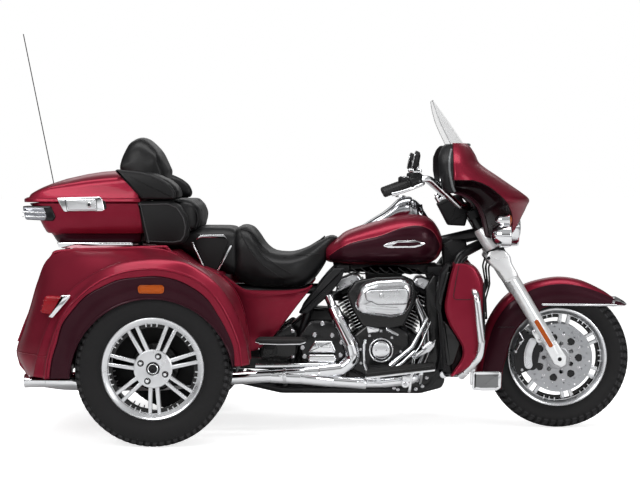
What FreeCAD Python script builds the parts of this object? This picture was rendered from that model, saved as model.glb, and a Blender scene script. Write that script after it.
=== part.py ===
"""Touring trike: one steered front wheel, two rear wheels beside a trunk, a lidded tour box above.

Millimetres. +X is forward, +Y is to the rider's left, +Z is up. Stations (X in the tables below)
count from a datum 12 mm behind the middle of the overall length; every piece is shifted by
STATION_ZERO when it is written, so the part's origin lies on the ground under its middle.
"""
import FreeCAD
import Part
import math
import os

# ---- overall sizes ---------------------------------------------------------------------------
STATION_ZERO = 12.0          # X of station zero in the part's own frame
WHEELBASE = 1670.0
TRACK = 1144.0               # between the middles of the rear wheels
REAR_AXLE_X = -651.0
REAR_TYRE_R = 313.0
REAR_TYRE_W = 205.0
FRONT_TYRE_R = 305.0
FRONT_TYRE_W = 130.0
FRONT_AXLE_X = REAR_AXLE_X + WHEELBASE
RAKE = 26.0                  # steering axis, degrees back from the vertical
TRAIL = 99.0                 # the steering axis meets the ground this far ahead of the front axle
FORK_ANGLE = 31.0            # fork legs, degrees back from the vertical
STEP = 0.3                   # clearance between curved faces that seat on one another
SKIN = 5.0                   # painted moulded panels
REAR_HUB_Y = TRACK / 2

# ---- fork and front wheel --------------------------------------------------------------------
FORK_Y = 115.0               # fork legs each side of the middle
SLIDER_R = 30.0
SLIDER_LENGTH = 430.0
FORK_TUBE_R = 24.5
FORK_COVER_R = 34.0
FRONT_AXLE_R = 12.5
FRONT_HUB_HALF = 45.0
FRONT_LIP_R = 212.0
FRONT_RIM_HALF = 45.0
DISC_R = 150.0
DISC_Y = 68.0
DISC_T = 5.0
YOKE_LOW = 846.0             # along the steering axis from the ground
YOKE_HIGH = 1029.0
YOKE_T = 34.0
STEM_R = 14.0
NECK_R = 32.0
FENDER_R = 350.0
FENDER_HALF = 78.0
FENDER_SKIN = 4.0

# ---- rear wheels and axle --------------------------------------------------------------------
REAR_LIP_R = 207.0
REAR_RIM_HALF = 78.0
REAR_HUB_R = 58.0
SPOKE_PAIRS = 7
SPINDLE_R = 28.0
AXLE_TUBE_R = 35.0
MUFFLER_R = 39.0
MUFFLER_Z = 232.0
MUFFLER_Y = REAR_HUB_Y - 272
TIP_Y = REAR_HUB_Y - 146
HEADER_R = 21.0

# ---- rear body, tour box, engine -------------------------------------------------------------
BODY_HALF = REAR_HUB_Y - 176.0      # half width of the trunk between the rear fenders
FENDER_OUT = REAR_HUB_Y + 136.0     # outer face of a rear fender
ARCH_R = 317.0
ARCH_DROP = 45.0                    # the arch's middle lies this far below the axle
TRUNK_FLOOR = 430.0
BOX_HALF = 330.0                    # half width of the tour box
BOX_FLOOR = 803.0
SEAM = 972.0                        # where the tour box and its lid part
LID_GAP = 5.0
CRANK_X = 275.0
CRANK_Z = 300.0
VEE = 24.0                          # each cylinder leans this many degrees from the vertical
BARREL_HALF = 78.0
BARREL_Y = 72.0
BARREL_FOOT = 158.0                 # along a cylinder's axis from the crankshaft
BARREL_TOP = 335.0
ROCKER_TOP = 388.0
BACKBONE_R = 27.0
BACKBONE_END = (60.0, 690.0)
RAIL_R = 19.0
RAIL_Y = 130.0
RAIL_Z = 176.0
STRUT_R = 16.0
SEAT_RAIL_R = 16.0
SEAT_RAIL_Y = 108.0
PIVOT_X = -145.0                    # cross member that carries the swing frame
PIVOT_Z = 279.0
PRIMARY_Y = 262.0                   # outer face of the primary cover
BOARD_IN = 270.0                    # inner edge of a rider's footboard
CROSS_MEMBERS = [                   # station, height, half length
    (20, 620, RAIL_Y - 20), (-150, RAIL_Z, RAIL_Y), (470, 190, RAIL_Y), (-300, 208, RAIL_Y),
    (PIVOT_X, PIVOT_Z, RAIL_Y + STRUT_R - STEP)]
SEAT_BASE = 611.0                   # underside of the rider's seat

PARTS = {}


# ---- shapes ----------------------------------------------------------------------------------
def vector(x, y, z):
    """Short name for a FreeCAD vector."""
    return FreeCAD.Vector(x, y, z)


def wire(corners, place):
    """Closed wire through corners (a, b, radius), each rounded by its radius; place maps to 3-D."""
    starts, middles, ends = [], [], []
    count = len(corners)
    for index, (a, b, radius) in enumerate(corners):
        before, after = corners[index - 1], corners[(index + 1) % count]
        back = math.hypot(before[0] - a, before[1] - b)
        ahead = math.hypot(after[0] - a, after[1] - b)
        ub = ((before[0] - a) / back, (before[1] - b) / back)
        ua = ((after[0] - a) / ahead, (after[1] - b) / ahead)
        half = math.acos(max(-1.0, min(1.0, ub[0] * ua[0] + ub[1] * ua[1]))) / 2
        if radius <= 0 or half > 1.55:
            starts.append((a, b))
            middles.append(None)
            ends.append((a, b))
            continue
        reach = min(radius / math.tan(half), 0.48 * back, 0.48 * ahead)
        fillet = reach * math.tan(half)
        span = math.hypot(ub[0] + ua[0], ub[1] + ua[1])
        depth = fillet / math.sin(half) - fillet
        starts.append((a + ub[0] * reach, b + ub[1] * reach))
        middles.append((a + (ub[0] + ua[0]) / span * depth, b + (ub[1] + ua[1]) / span * depth))
        ends.append((a + ua[0] * reach, b + ua[1] * reach))
    edges = []
    for index in range(count):
        if middles[index]:
            edges.append(Part.Arc(place(*starts[index]), place(*middles[index]),
                                  place(*ends[index])).toShape())
        start, end = place(*ends[index]), place(*starts[(index + 1) % count])
        if start.distanceToPoint(end) > 1e-6:
            edges.append(Part.makeLine(start, end))
    return Part.Wire(edges)


def sharp(points, radius=0.0):
    """Corner list from (a, b) points that all take one corner radius."""
    return [(a, b, radius) for a, b in points]


PLACES = {
    "x": lambda at: lambda a, b: vector(at, a, b),
    "y": lambda at: lambda a, b: vector(a, at, b),
    "z": lambda at: lambda a, b: vector(a, b, at),
}


def prism(corners, along, start, end):
    """Corners' outline pushed from start to end along one axis."""
    face = Part.Face(wire(corners, PLACES[along](start)))
    push = {"x": vector(end - start, 0, 0), "y": vector(0, end - start, 0),
            "z": vector(0, 0, end - start)}[along]
    return face.extrude(push)


def box(x, y, z):
    """Block between the pairs x, y and z."""
    return Part.makeBox(x[1] - x[0], y[1] - y[0], z[1] - z[0], vector(x[0], y[0], z[0]))


def rod(start, end, radius):
    """Round bar from start to end."""
    start, end = vector(*start), vector(*end)
    return Part.makeCylinder(radius, (end - start).Length, start, end - start)


def turned(profile, centre, middle_y):
    """Solid of revolution about the Y line through centre (x, z); profile holds (y, radius, corner)."""
    face = Part.Face(wire(profile, lambda a, b: vector(centre[0], middle_y + a, centre[1] + b)))
    return face.revolve(vector(centre[0], 0, centre[1]), vector(0, 1, 0), 360)


def pipe(points, radius, bend):
    """Round bar along straight runs, joined by tangent arcs of radius bend."""
    points = [vector(*point) for point in points]
    edges, at = [], points[0]
    for index in range(1, len(points) - 1):
        corner = points[index]
        back = points[index - 1] - corner
        ahead = points[index + 1] - corner
        half = back.getAngle(ahead) / 2
        reach = min(bend / math.tan(half), 0.45 * back.Length, 0.45 * ahead.Length)
        back.normalize()
        ahead.normalize()
        middle = back + ahead
        middle.normalize()
        arc_r = reach * math.tan(half)
        start = corner + back * reach
        end = corner + ahead * reach
        edges.append(Part.makeLine(at, start))
        edges.append(Part.Arc(start, corner + middle * (arc_r / math.sin(half) - arc_r), end).toShape())
        at = end
    edges.append(Part.makeLine(at, points[-1]))
    ring = Part.Wire([Part.makeCircle(radius, points[0], points[1] - points[0])])
    return Part.Wire(edges).makePipeShell([ring], True, False)


def loft(wires):
    """Straight-sided solid through closed wires."""
    return Part.makeLoft(wires, True, True)


def mirrored(shape):
    """The other side's twin."""
    return shape.mirror(vector(0, 0, 0), vector(0, 1, 0))


def both(shape):
    """A left piece and its right twin as two solids."""
    return Part.makeCompound([shape, mirrored(shape)])


def leaned(shape, centre, degrees):
    """Shape turned about the Y line through centre (x, z)."""
    shape = shape.copy()
    shape.rotate(vector(centre[0], 0, centre[1]), vector(0, 1, 0), degrees)
    return shape


def cabin_wire(x, low, high, half, corner):
    """Rounded rectangle in the plane of station x."""
    corner = min(corner, 0.45 * (high - low), 0.45 * half)
    return wire([(-half, low, corner), (half, low, corner), (half, high, corner),
                 (-half, high, corner)], PLACES["x"](x))


def bent_box(rows, corner, grow=0.0):
    """Body through rows (station, low, high, half width); grow swells it all round."""
    first, last = rows[0][0], rows[-1][0]
    lean = 1 if last > first else -1
    wires = []
    for x, low, high, half in rows:
        push = lean * grow if x == last else (-lean * grow if x == first else 0)
        wires.append(cabin_wire(x + push, low - grow, high + grow, half + grow, corner + grow))
    return loft(wires)


def axis_point(distance):
    """Point on the steering axis, that far from the ground."""
    return (FRONT_AXLE_X + TRAIL - distance * math.sin(math.radians(RAKE)),
            distance * math.cos(math.radians(RAKE)))


def fork_point(distance):
    """Point on the fork leg's line, that far above the axle."""
    return (FRONT_AXLE_X - distance * math.sin(math.radians(FORK_ANGLE)),
            FRONT_TYRE_R + distance * math.cos(math.radians(FORK_ANGLE)))


def front(x):
    """Station of a piece that follows the front axle; x is its station at the usual wheelbase."""
    return x + FRONT_AXLE_X - 1019.0


def front_xz(rows):
    """Rows whose first column follows the front axle."""
    return [(front(row[0]),) + tuple(row[1:]) for row in rows]


# ---- wheels ----------------------------------------------------------------------------------
def tyre(centre, middle_y, radius, width, lip_r, rim_half):
    """Hollow tyre seated between the rim's lips."""
    half, bead = width / 2, rim_half - 6
    seat = lip_r - 12 + STEP
    outside = [(-bead, seat, 2), (-bead, lip_r + 2, 4), (-half, radius - 0.5 * (radius - lip_r), 30),
               (-half * 0.82, radius, 26), (half * 0.82, radius, 26),
               (half, radius - 0.5 * (radius - lip_r), 30), (bead, lip_r + 2, 4), (bead, seat, 2)]
    wall = 11
    inside = [(bead - wall, seat, 0), (bead - wall, lip_r + 4, 4),
              (half - wall, radius - 0.5 * (radius - lip_r), 22), (half * 0.78, radius - wall, 16),
              (-half * 0.78, radius - wall, 16), (wall - half, radius - 0.5 * (radius - lip_r), 22),
              (wall - bead, lip_r + 4, 4), (wall - bead, seat, 0)]
    return turned(outside + inside, centre, middle_y)


def rim(centre, middle_y, lip_r, half, hub_r, hub_half, spoke_y, bore_r, bore_end):
    """Cast wheel: barrel with two lips, paired spokes at spoke_y and a bored hub."""
    seat, wall = lip_r - 12, 7
    barrel = turned([(-half, seat - wall, 0), (-half, lip_r, 2), (5 - half, lip_r, 2), (5 - half, seat, 0),
                     (half - 5, seat, 0), (half - 5, lip_r, 2), (half, lip_r, 2), (half, seat - wall, 0)],
                    centre, middle_y)
    x, z = centre
    hub = rod((x, middle_y + hub_half[0], z), (x, middle_y + hub_half[1], z), hub_r)
    spokes = []
    for index in range(SPOKE_PAIRS):
        turn = 360.0 / SPOKE_PAIRS * index + 90
        for offset in (-15, 15):
            spoke = box((x + hub_r - 12, x + seat - wall + 2), (middle_y + spoke_y[0],
                                                                middle_y + spoke_y[1]),
                        (z + offset - 7, z + offset + 7))
            spokes.append(leaned(spoke, centre, turn))
    bore = rod((x, middle_y + hub_half[0] - 1, z), (x, middle_y + bore_end, z), bore_r)
    return barrel.fuse([hub] + spokes).cut(bore).removeSplitter()


def build_wheels():
    """Three tyres on three cast wheels, with the front brake discs."""
    centre = (FRONT_AXLE_X, FRONT_TYRE_R)
    PARTS["front_tyre"] = tyre(centre, 0, FRONT_TYRE_R, FRONT_TYRE_W, FRONT_LIP_R, FRONT_RIM_HALF)
    PARTS["front_rim"] = rim(centre, 0, FRONT_LIP_R, FRONT_RIM_HALF, 46, (-FRONT_HUB_HALF, FRONT_HUB_HALF),
                             (-16, 16), FRONT_AXLE_R + STEP, FRONT_HUB_HALF + 1)
    x, z = centre
    carrier = rod((x, FRONT_HUB_HALF, z), (x, DISC_Y, z), 44)
    plate = rod((x, DISC_Y, z), (x, DISC_Y + DISC_T, z), DISC_R)
    bore = rod((x, FRONT_HUB_HALF - 1, z), (x, DISC_Y + DISC_T + 1, z), FRONT_AXLE_R + 8)
    PARTS["front_brake_discs"] = both(carrier.fuse(plate).cut(bore))
    centre = (REAR_AXLE_X, REAR_TYRE_R)
    left_tyre = tyre(centre, REAR_HUB_Y, REAR_TYRE_R, REAR_TYRE_W, REAR_LIP_R, REAR_RIM_HALF)
    left_rim = rim(centre, REAR_HUB_Y, REAR_LIP_R, REAR_RIM_HALF, REAR_HUB_R, (-20, 64), (36, 62),
                   SPINDLE_R + STEP, 48)
    PARTS["rear_tyre_left"] = left_tyre
    PARTS["rear_tyre_right"] = mirrored(left_tyre)
    PARTS["rear_rim_left"] = left_rim
    PARTS["rear_rim_right"] = mirrored(left_rim)


# ---- fork and front fender -------------------------------------------------------------------
def build_fork():
    """Axle, sliders, tubes in two yokes, calipers and front fender."""
    x, z = FRONT_AXLE_X, FRONT_TYRE_R
    leg_out = FORK_Y + SLIDER_R
    PARTS["front_axle"] = rod((x, -leg_out + 4, z), (x, leg_out - 4, z), FRONT_AXLE_R)
    low, top = fork_point(-40), fork_point(SLIDER_LENGTH)
    slider = rod((low[0], FORK_Y, low[1]), (top[0], FORK_Y, top[1]), SLIDER_R)
    boss = rod((x, FORK_Y - SLIDER_R, z), (x, leg_out, z), 30)
    stay = fork_point(275)
    bracket = box((stay[0] - 25, stay[0] + 25), (FENDER_HALF + STEP, FORK_Y - 10),
                  (stay[1] - 16, stay[1] + 16))
    lug = box((x - 118, x - 40), (FORK_Y - 22, FORK_Y + 2), (z + 62, z + 96))
    bore = rod((x, 0, z), (x, leg_out + 1, z), FRONT_AXLE_R + STEP)
    PARTS["fork_sliders"] = both(slider.fuse([boss, bracket, lug]).cut(bore))

    high = axis_point(YOKE_HIGH)
    tube_end = fork_point((high[1] - z) / math.cos(math.radians(FORK_ANGLE)) + 12)
    cover_end = fork_point((axis_point(YOKE_LOW)[1] - z) / math.cos(math.radians(FORK_ANGLE)))
    pieces = []
    for side in (-FORK_Y, FORK_Y):
        pieces.append(rod((top[0], side, top[1]), (tube_end[0], side, tube_end[1]), FORK_TUBE_R))
        pieces.append(rod((top[0], side, top[1]), (cover_end[0], side, cover_end[1]), FORK_COVER_R))
    for distance in (YOKE_LOW, YOKE_HIGH):
        centre = axis_point(distance)
        yoke = box((centre[0] - 38, centre[0] + 38), (-FORK_Y - 38, FORK_Y + 38),
                   (centre[1] - YOKE_T / 2, centre[1] + YOKE_T / 2))
        pieces.append(leaned(yoke, centre, -RAKE))
    start, end = axis_point(YOKE_LOW), axis_point(YOKE_HIGH)
    stem = rod((start[0], 0, start[1]), (end[0], 0, end[1]), STEM_R)
    PARTS["fork_crown"] = stem.fuse(pieces).removeSplitter()

    caliper = prism([(x - 185, z - 40, 20), (x - 95, z - 55, 20), (x - 80, z + 20, 15),
                     (x - 90, z + 95, 15),
                     (x - 160, z + 110, 20)], "y", 48, FORK_Y - 22)
    slot = box((x - 200, x - 40), (DISC_Y - 3, DISC_Y + DISC_T + 3), (z - 80, z + 130))
    rotor_room = rod((x, DISC_Y - 3, z), (x, DISC_Y + DISC_T + 3, z), DISC_R + 4)
    spoke_room = rod((x, 0, z), (x, 60, z), 100)
    PARTS["front_brake_calipers"] = both(caliper.cut(slot.common(rotor_room)).cut(spoke_room))

    middle = (FRONT_AXLE_X + 5, FRONT_TYRE_R - 5)
    outer = turned([(-FENDER_HALF, 150, 0), (-FENDER_HALF, FENDER_R, 45), (FENDER_HALF, FENDER_R, 45),
                    (FENDER_HALF, 150, 0)], middle, 0)
    inner_half, inner_r = FENDER_HALF - FENDER_SKIN, FENDER_R - FENDER_SKIN
    inner = turned([(-inner_half, 140, 0), (-inner_half, inner_r, 41), (inner_half, inner_r, 41),
                    (inner_half, 140, 0)], middle, 0)
    side = prism(front_xz([(1330, 533, 0), (948, 533, 0), (948, 500, 0), (873, 462, 60), (815, 387, 60),
                           (796, 318, 60), (781, 246, 0), (773, 168, 12), (640, 168, 0), (640, 700, 0),
                           (1330, 700, 0)]), "y", -100, 100)
    PARTS["front_fender"] = outer.cut(inner).common(side)


# ---- handlebar, fairing and lamps ------------------------------------------------------------
BAR_PATH = [(636, 0, 949), (590, 215, 955), (452, 385, 1078), (276, 432, 1012)]
BAR_R = 13.0
GRIP_R = 17.0
GRIP_LENGTH = 105.0


def bar_path(side):
    """The handlebar's points on one side, from the middle outward."""
    return [(front(x), side * y, z) for x, y, z in BAR_PATH]


def along(start, end, share):
    """Point between start and end."""
    return tuple(a + (b - a) * share for a, b in zip(start, end))


def build_controls():
    """Handlebar on its riser, grips, and control housings with levers and mirrors."""
    left = bar_path(1)
    whole = list(reversed(bar_path(-1)))[:-1] + left
    bar = pipe(whole, BAR_R, 60)
    top = axis_point(YOKE_HIGH)
    rest = (top[0] + YOKE_T / 2 * math.sin(math.radians(-RAKE)),
            top[1] + YOKE_T / 2 * math.cos(math.radians(RAKE)))
    riser = leaned(box((rest[0] - 20, rest[0] + 20), (-44, 44), (rest[1], rest[1] + 34)), rest, -RAKE)
    PARTS["handlebar"] = bar.fuse(riser).cut(PARTS["fork_crown"])
    bend, tip = left[2], left[3]
    length = math.dist(bend, tip)
    start = along(bend, tip, 1 - GRIP_LENGTH / length)
    overhang = along(bend, tip, 1 + 8 / length)
    grip = rod(start, overhang, GRIP_R).cut(rod(start, along(bend, tip, 1 + 0.5 / length), BAR_R + STEP))
    PARTS["grips"] = both(grip)
    clamp_a = along(bend, tip, 1 - (GRIP_LENGTH + 58) / length)
    clamp_b = along(bend, tip, 1 - (GRIP_LENGTH + 1) / length)
    housing = rod(clamp_a, clamp_b, 24)
    x, y, z = along(clamp_a, clamp_b, 0.4)
    reservoir = box((x - 20, x + 22), (y - 22, y + 16), (z + 8, z + 56))
    lever = pipe([(x + 5, y + 10, z + 4), (x + 26, y + 58, z - 8), (x - 104, y + 92, z - 52)], 6.5, 25)
    stem = pipe([(x + 6, y, z + 50), (x + 6, y + 6, z + 74), (x - 2, y + 60, z + 88)], 5.5, 14)
    glass = leaned(prism([(y + 8, z + 46, 22), (y + 138, z + 52, 30), (y + 134, z + 124, 30),
                          (y + 14, z + 118, 22)], "x", x - 12, x + 12), (x, z + 84), -12)
    room = rod(along(bend, tip, -0.2), tip, BAR_R + STEP)
    PARTS["hand_controls"] = both(housing.fuse([reservoir, lever, stem, glass]).cut(room))


FAIRING_ROWS = [             # height, middle station, side station, half width
    (812, 828, 740, 130), (891, 862, 715, 225), (940, 880, 690, 300), (980, 897, 655, 368),
    (1034, 828, 622, 398), (1085, 753, 602, 400), (1138, 679, 588, 382), (1168, 668, 582, 355),
    (1198, 649, 577, 320), (1214, 632, 572, 290)]
FAIRING_REAR = 558.0


def fairing_body(shrink, rear):
    """Fairing's plan sections: a rear line, two side lines and a bowed front."""
    wires = []
    rows = FAIRING_ROWS
    if shrink:
        rows = [(rows[0][0] - 12,) + rows[0][1:]] + rows[1:-1] + [(rows[-1][0] + 12,) + rows[-1][1:]]
    for height, middle, side, half in rows:
        middle, side, half = front(middle) - shrink, front(side) - shrink * 0.4, half - shrink
        corners = [vector(front(rear), -half, height), vector(side, -half, height),
                   vector(side, half, height), vector(front(rear), half, height)]
        bow = Part.Arc(corners[1], vector(middle, 0, height), corners[2]).toShape()
        wires.append(Part.Wire([Part.makeLine(corners[0], corners[1]), bow,
                                Part.makeLine(corners[2], corners[3]),
                                Part.makeLine(corners[3], corners[0])]))
    return loft(wires)


LAMP_Z = 862.0
LAMP_R = 82.0
SPOT_Y = 245.0
SPOT_Z = 833.0
SPOT_R = 47.0
GLASS_ROWS = [               # height, middle station, side station, half width
    (1190, 638, 572, 262), (1300, 562, 520, 236), (1362, 517, 490, 190), (1403, 485, 474, 96)]
GLASS_T = 4.0


def bowed(middle, side, half, height, back):
    """Crescent in plan: a bow through the middle and side stations and the same bow set back."""
    corners = [vector(side, -half, height), vector(side, half, height), vector(side - back, half, height),
               vector(side - back, -half, height)]
    ahead = Part.Arc(corners[0], vector(middle, 0, height), corners[1]).toShape()
    behind = Part.Arc(corners[2], vector(middle - back, 0, height), corners[3]).toShape()
    return Part.Wire([ahead, Part.makeLine(corners[1], corners[2]), behind,
                      Part.makeLine(corners[3], corners[0])])


def glass_body(grow=0.0):
    """Bowed windshield, leaned back; grow thickens it both ways."""
    return loft([bowed(front(middle) + grow, front(side) + grow, half + grow, height, GLASS_T + 2 * grow)
                 for height, middle, side, half in GLASS_ROWS])


def build_fairing():
    """Fork-mounted fairing shell, inner fairing and windshield."""
    shell = fairing_body(0, FAIRING_REAR).cut(fairing_body(SKIN, FAIRING_REAR - 60))
    under = prism(front_xz([(540, 1012, 0), (580, 1008, 0), (624, 990, 0), (667, 960, 0), (690, 891, 0),
                            (706, 832, 0), (740, 800, 0), (540, 780, 0)]), "y", -450, 450)
    lamp_hole = rod((front(700), 0, LAMP_Z), (front(930), 0, LAMP_Z), LAMP_R + STEP)
    PARTS["fairing_outer"] = shell.cut(under).cut(lamp_hole)
    dash = prism(front_xz([(533, 1209, 12), (504, 1165, 25), (506, 1104, 25), (526, 1012, 10),
                           (560, 1014, 0),
                           (590, 1130, 0), (600, 1190, 0), (612, 1209, 0)]), "y", -450, 450)
    bar_room = pipe(bar_path(1)[1:], BAR_R + 14, 50)
    dash = dash.common(fairing_body(SKIN + STEP, FAIRING_REAR - 50)).cut(bar_room).cut(mirrored(bar_room))
    PARTS["fairing_inner"] = dash.cut(glass_body(STEP))
    PARTS["windshield"] = glass_body()


def build_lamps():
    """Headlamp in its nacelle and the bar with a spot lamp and a signal lamp on each side."""
    lamp = rod((front(802), 0, LAMP_Z), (front(866), 0, LAMP_Z), LAMP_R)
    lens = Part.makeSphere(190, vector(front(880) - 190, 0, LAMP_Z)).common(
        rod((front(860), 0, LAMP_Z), (front(890), 0, LAMP_Z), LAMP_R - 6))
    PARTS["headlamp"] = lamp.fuse(lens)
    bar_z = SPOT_Z - 36
    pieces = []
    for side in (-1, 1):
        y = side * SPOT_Y
        pieces.append(rod((front(722), y, SPOT_Z), (front(800), y, SPOT_Z), SPOT_R))
        pieces.append(rod((front(738), y, SPOT_Z + SPOT_R + 18), (front(808), y, SPOT_Z + SPOT_R + 18), 24))
        pieces.append(rod((front(765), y, SPOT_Z), (front(765), y, SPOT_Z + SPOT_R + 10), 9))
        pieces.append(box((front(715), front(800)), (side * 84 - 8, side * 84 + 8),
                          (bar_z - 16, bar_z + 14)))
    nacelle = box((front(770), front(812)), (-60, 60), (bar_z - 18, LAMP_Z - LAMP_R + 22))
    bar = pipe([(front(752), -SPOT_Y, bar_z + 6), (front(800), -110, bar_z), (front(800), 110, bar_z),
                (front(752), SPOT_Y, bar_z + 6)], 11, 40)
    rooms = [rod((front(700), 0, LAMP_Z), (front(930), 0, LAMP_Z), LAMP_R + STEP),
             fairing_body(-STEP, FAIRING_REAR)]
    for side in (-FORK_Y, FORK_Y):
        low, high = fork_point(SLIDER_LENGTH - 20), fork_point(SLIDER_LENGTH + 160)
        rooms.append(rod((low[0], side, low[1]), (high[0], side, high[1]), FORK_COVER_R + STEP))
    PARTS["lamp_bar"] = bar.fuse(pieces + [nacelle]).cut(rooms + [PARTS["fork_crown"]])


# ---- frame -----------------------------------------------------------------------------------
def frame_tubes(grow=0.0):
    """Backbone, twin downtubes with their rails, struts, seat rails and cross members."""
    middle = axis_point((YOKE_LOW + YOKE_HIGH) / 2 - 4)
    tail = BACKBONE_END
    tubes = [rod((middle[0], 0, middle[1]), (tail[0], 0, tail[1]), BACKBONE_R + grow)]
    neck_low = axis_point(YOKE_LOW + YOKE_T / 2 + 26)
    seat_z = SEAT_BASE - SEAT_RAIL_R - STEP
    for side in (-1, 1):
        rail = side * RAIL_Y
        tubes.append(pipe([(neck_low[0] - 16, side * 14, neck_low[1]), (front(600), side * 72, 742),
                           (545, side * 112, 640), (520, rail, 270), (455, rail, RAIL_Z),
                           (-160, rail, RAIL_Z), (-330, rail, 214)], RAIL_R + grow, 70))
        tubes.append(pipe([(tail[0] + 20, side * 10, tail[1] - 6), (30, side * 112, 640),
                           (-30, rail, 560), (-150, rail, RAIL_Z)], STRUT_R + grow, 60))
        tubes.append(rod((10, side * SEAT_RAIL_Y, seat_z), (-396, side * SEAT_RAIL_Y, seat_z),
                         SEAT_RAIL_R + grow))
    for x, z, half in CROSS_MEMBERS:
        tubes.append(rod((x, -half, z), (x, half, z), 14 + grow))
    return tubes


def build_frame():
    """Neck and tubes as one welding, bored for the steering stem."""
    low = axis_point(YOKE_LOW + YOKE_T / 2 + 0.5)
    high = axis_point(YOKE_HIGH - YOKE_T / 2 - 0.5)
    neck = rod((low[0], 0, low[1]), (high[0], 0, high[1]), NECK_R)
    start, end = axis_point(YOKE_LOW - 30), axis_point(YOKE_HIGH + 30)
    bore = rod((start[0], 0, start[1]), (end[0], 0, end[1]), STEM_R + STEP)
    PARTS["frame"] = neck.fuse(frame_tubes()).cut(bore)


# ---- engine ----------------------------------------------------------------------------------
def build_engine():
    """Crankcase with gearbox, finned cylinders, rocker covers, covers, air cleaner and exhaust."""
    case_half = RAIL_Y - RAIL_R - 4
    case = prism([(120, 205, 40), (430, 205, 50), (470, 300, 60), (430, 392, 40), (360, 436, 30),
                  (190, 436, 30), (120, 392, 30)], "y", -case_half, case_half)
    gearbox = prism([(-130, 245, 30), (125, 245, 0), (125, 470, 20), (-60, 482, 30), (-130, 430, 30)],
                    "y", -case_half, case_half)
    side_case = prism([(-60, 262, 30), (120, 262, 20), (130, 420, 20), (-50, 440, 30)], "y", -196,
                      -case_half + 1)
    gear_cover = prism([(130, 262, 30), (210, 222, 40), (330, 222, 40), (395, 300, 40), (380, 420, 30),
                        (300, 462, 30), (200, 455, 30), (132, 400, 20)], "y", -188, -case_half + 1)
    posts = [rod((x, -188, z), (x, -196, z), 8) for x, z in ((165, 300), (350, 300), (220, 440),
                                                             (330, 430))]
    oil_pan = box((60, 420), (-case_half + 6, case_half - 6), (196, 212))
    shell = case.fuse([gearbox, side_case, gear_cover, oil_pan] + posts)
    feet, barrels, rockers = [], [], []
    middle = (CRANK_X, CRANK_Z)
    for side in (-1, 1):
        block = box((CRANK_X - BARREL_HALF, CRANK_X + BARREL_HALF), (-BARREL_Y, BARREL_Y),
                    (CRANK_Z + BARREL_FOOT, CRANK_Z + BARREL_TOP))
        foot = box((CRANK_X - 62, CRANK_X + 62), (-66, 66), (CRANK_Z + 80, CRANK_Z + BARREL_FOOT))
        cover = prism([(CRANK_X - 88, CRANK_Z + BARREL_TOP, 8), (CRANK_X + 88, CRANK_Z + BARREL_TOP, 8),
                       (CRANK_X + 80, CRANK_Z + ROCKER_TOP, 18), (CRANK_X - 80, CRANK_Z + ROCKER_TOP, 18)],
                      "y", -80, 80)
        far = sorted((CRANK_X + side * STEP, CRANK_X + side * 500))
        own_side = box(far, (-200, 200), (CRANK_Z, CRANK_Z + 500))
        feet.append(leaned(foot, middle, side * VEE))
        barrels.append(leaned(block, middle, side * VEE).common(own_side))
        rockers.append(leaned(cover, middle, side * VEE))
    PARTS["engine_case"] = shell.fuse(feet).cut(barrels).removeSplitter()
    PARTS["cylinders"] = Part.makeCompound(barrels)
    PARTS["rocker_covers"] = Part.makeCompound(rockers).cut(frame_tubes(STEP))

    drive = prism([(-105, 290, 80), (-60, 225, 60), (330, 203, 80), (420, 300, 100), (330, 410, 80),
                   (-60, 385, 60)], "y", case_half, PRIMARY_Y)
    PARTS["primary_cover"] = drive.cut(frame_tubes(STEP))
    PARTS["cam_cover"] = rod((263, -188 - 24, 348), (263, -188, 348), 52)
    cleaner = prism([(160, 546, 22), (182, 618, 30), (245, 641, 60), (356, 646, 22), (390, 604, 20),
                     (368, 538, 20), (336, 500, 16), (186, 514, 20)], "y", -300, -196)
    back = prism([(170, 540, 30), (200, 640, 40), (360, 650, 30), (392, 600, 20), (340, 492, 30),
                  (190, 500, 30)], "y", -196, -150)
    throat_r = (260 * math.tan(math.radians(VEE)) - BARREL_HALF / math.cos(math.radians(VEE))) \
        * math.cos(math.radians(VEE)) - STEP
    throat = rod((CRANK_X, -151, CRANK_Z + 260), (CRANK_X, -30, CRANK_Z + 260), throat_r)
    PARTS["air_cleaner"] = cleaner.fuse([back, throat])
    build_exhaust()


def build_exhaust():
    """Headers from both cylinders into a pipe and a muffler on each side."""
    face = -BARREL_Y - STEP
    rear_header = pipe([(150, face, 545), (150, -112, 545), (66, -140, 532), (74, -206, 496),
                        (134, -226, 374),
                        (148, -226, 312), (84, -232, 262), (-150, -MUFFLER_Y + 16, 256)], HEADER_R, 45)
    front_header = pipe([(404, face, 560), (404, -112, 560), (446, -128, 470), (450, -150, 330),
                         (400, -224, 228), (280, -228, 214), (60, -236, 222), (-150, -MUFFLER_Y + 16, 244)],
                        HEADER_R, 45)
    run = pipe([(-145, -MUFFLER_Y + 16, 250), (-240, -MUFFLER_Y, 246),
                (-420, -MUFFLER_Y - 20, MUFFLER_Z + 4),
                (-500, -MUFFLER_Y - 40, MUFFLER_Z)], 27, 90)
    can = pipe([(-480, -MUFFLER_Y - 35, MUFFLER_Z), (-820, -MUFFLER_Y - 70, MUFFLER_Z),
                (-1120, -TIP_Y, MUFFLER_Z + 8)], MUFFLER_R, 200)
    tip = rod((-1118, -TIP_Y, MUFFLER_Z + 8), (-1204, -TIP_Y, MUFFLER_Z + 8), 27)
    cross = pipe([(-180, -MUFFLER_Y + 10, 247), (-205, -160, 233), (-205, 160, 233),
                  (-180, MUFFLER_Y - 10, 247)],
                 20, 50)
    left = mirrored(run.fuse([can, tip]))
    PARTS["exhaust"] = rear_header.fuse([front_header, run, can, tip, cross, left]).removeSplitter()


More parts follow.
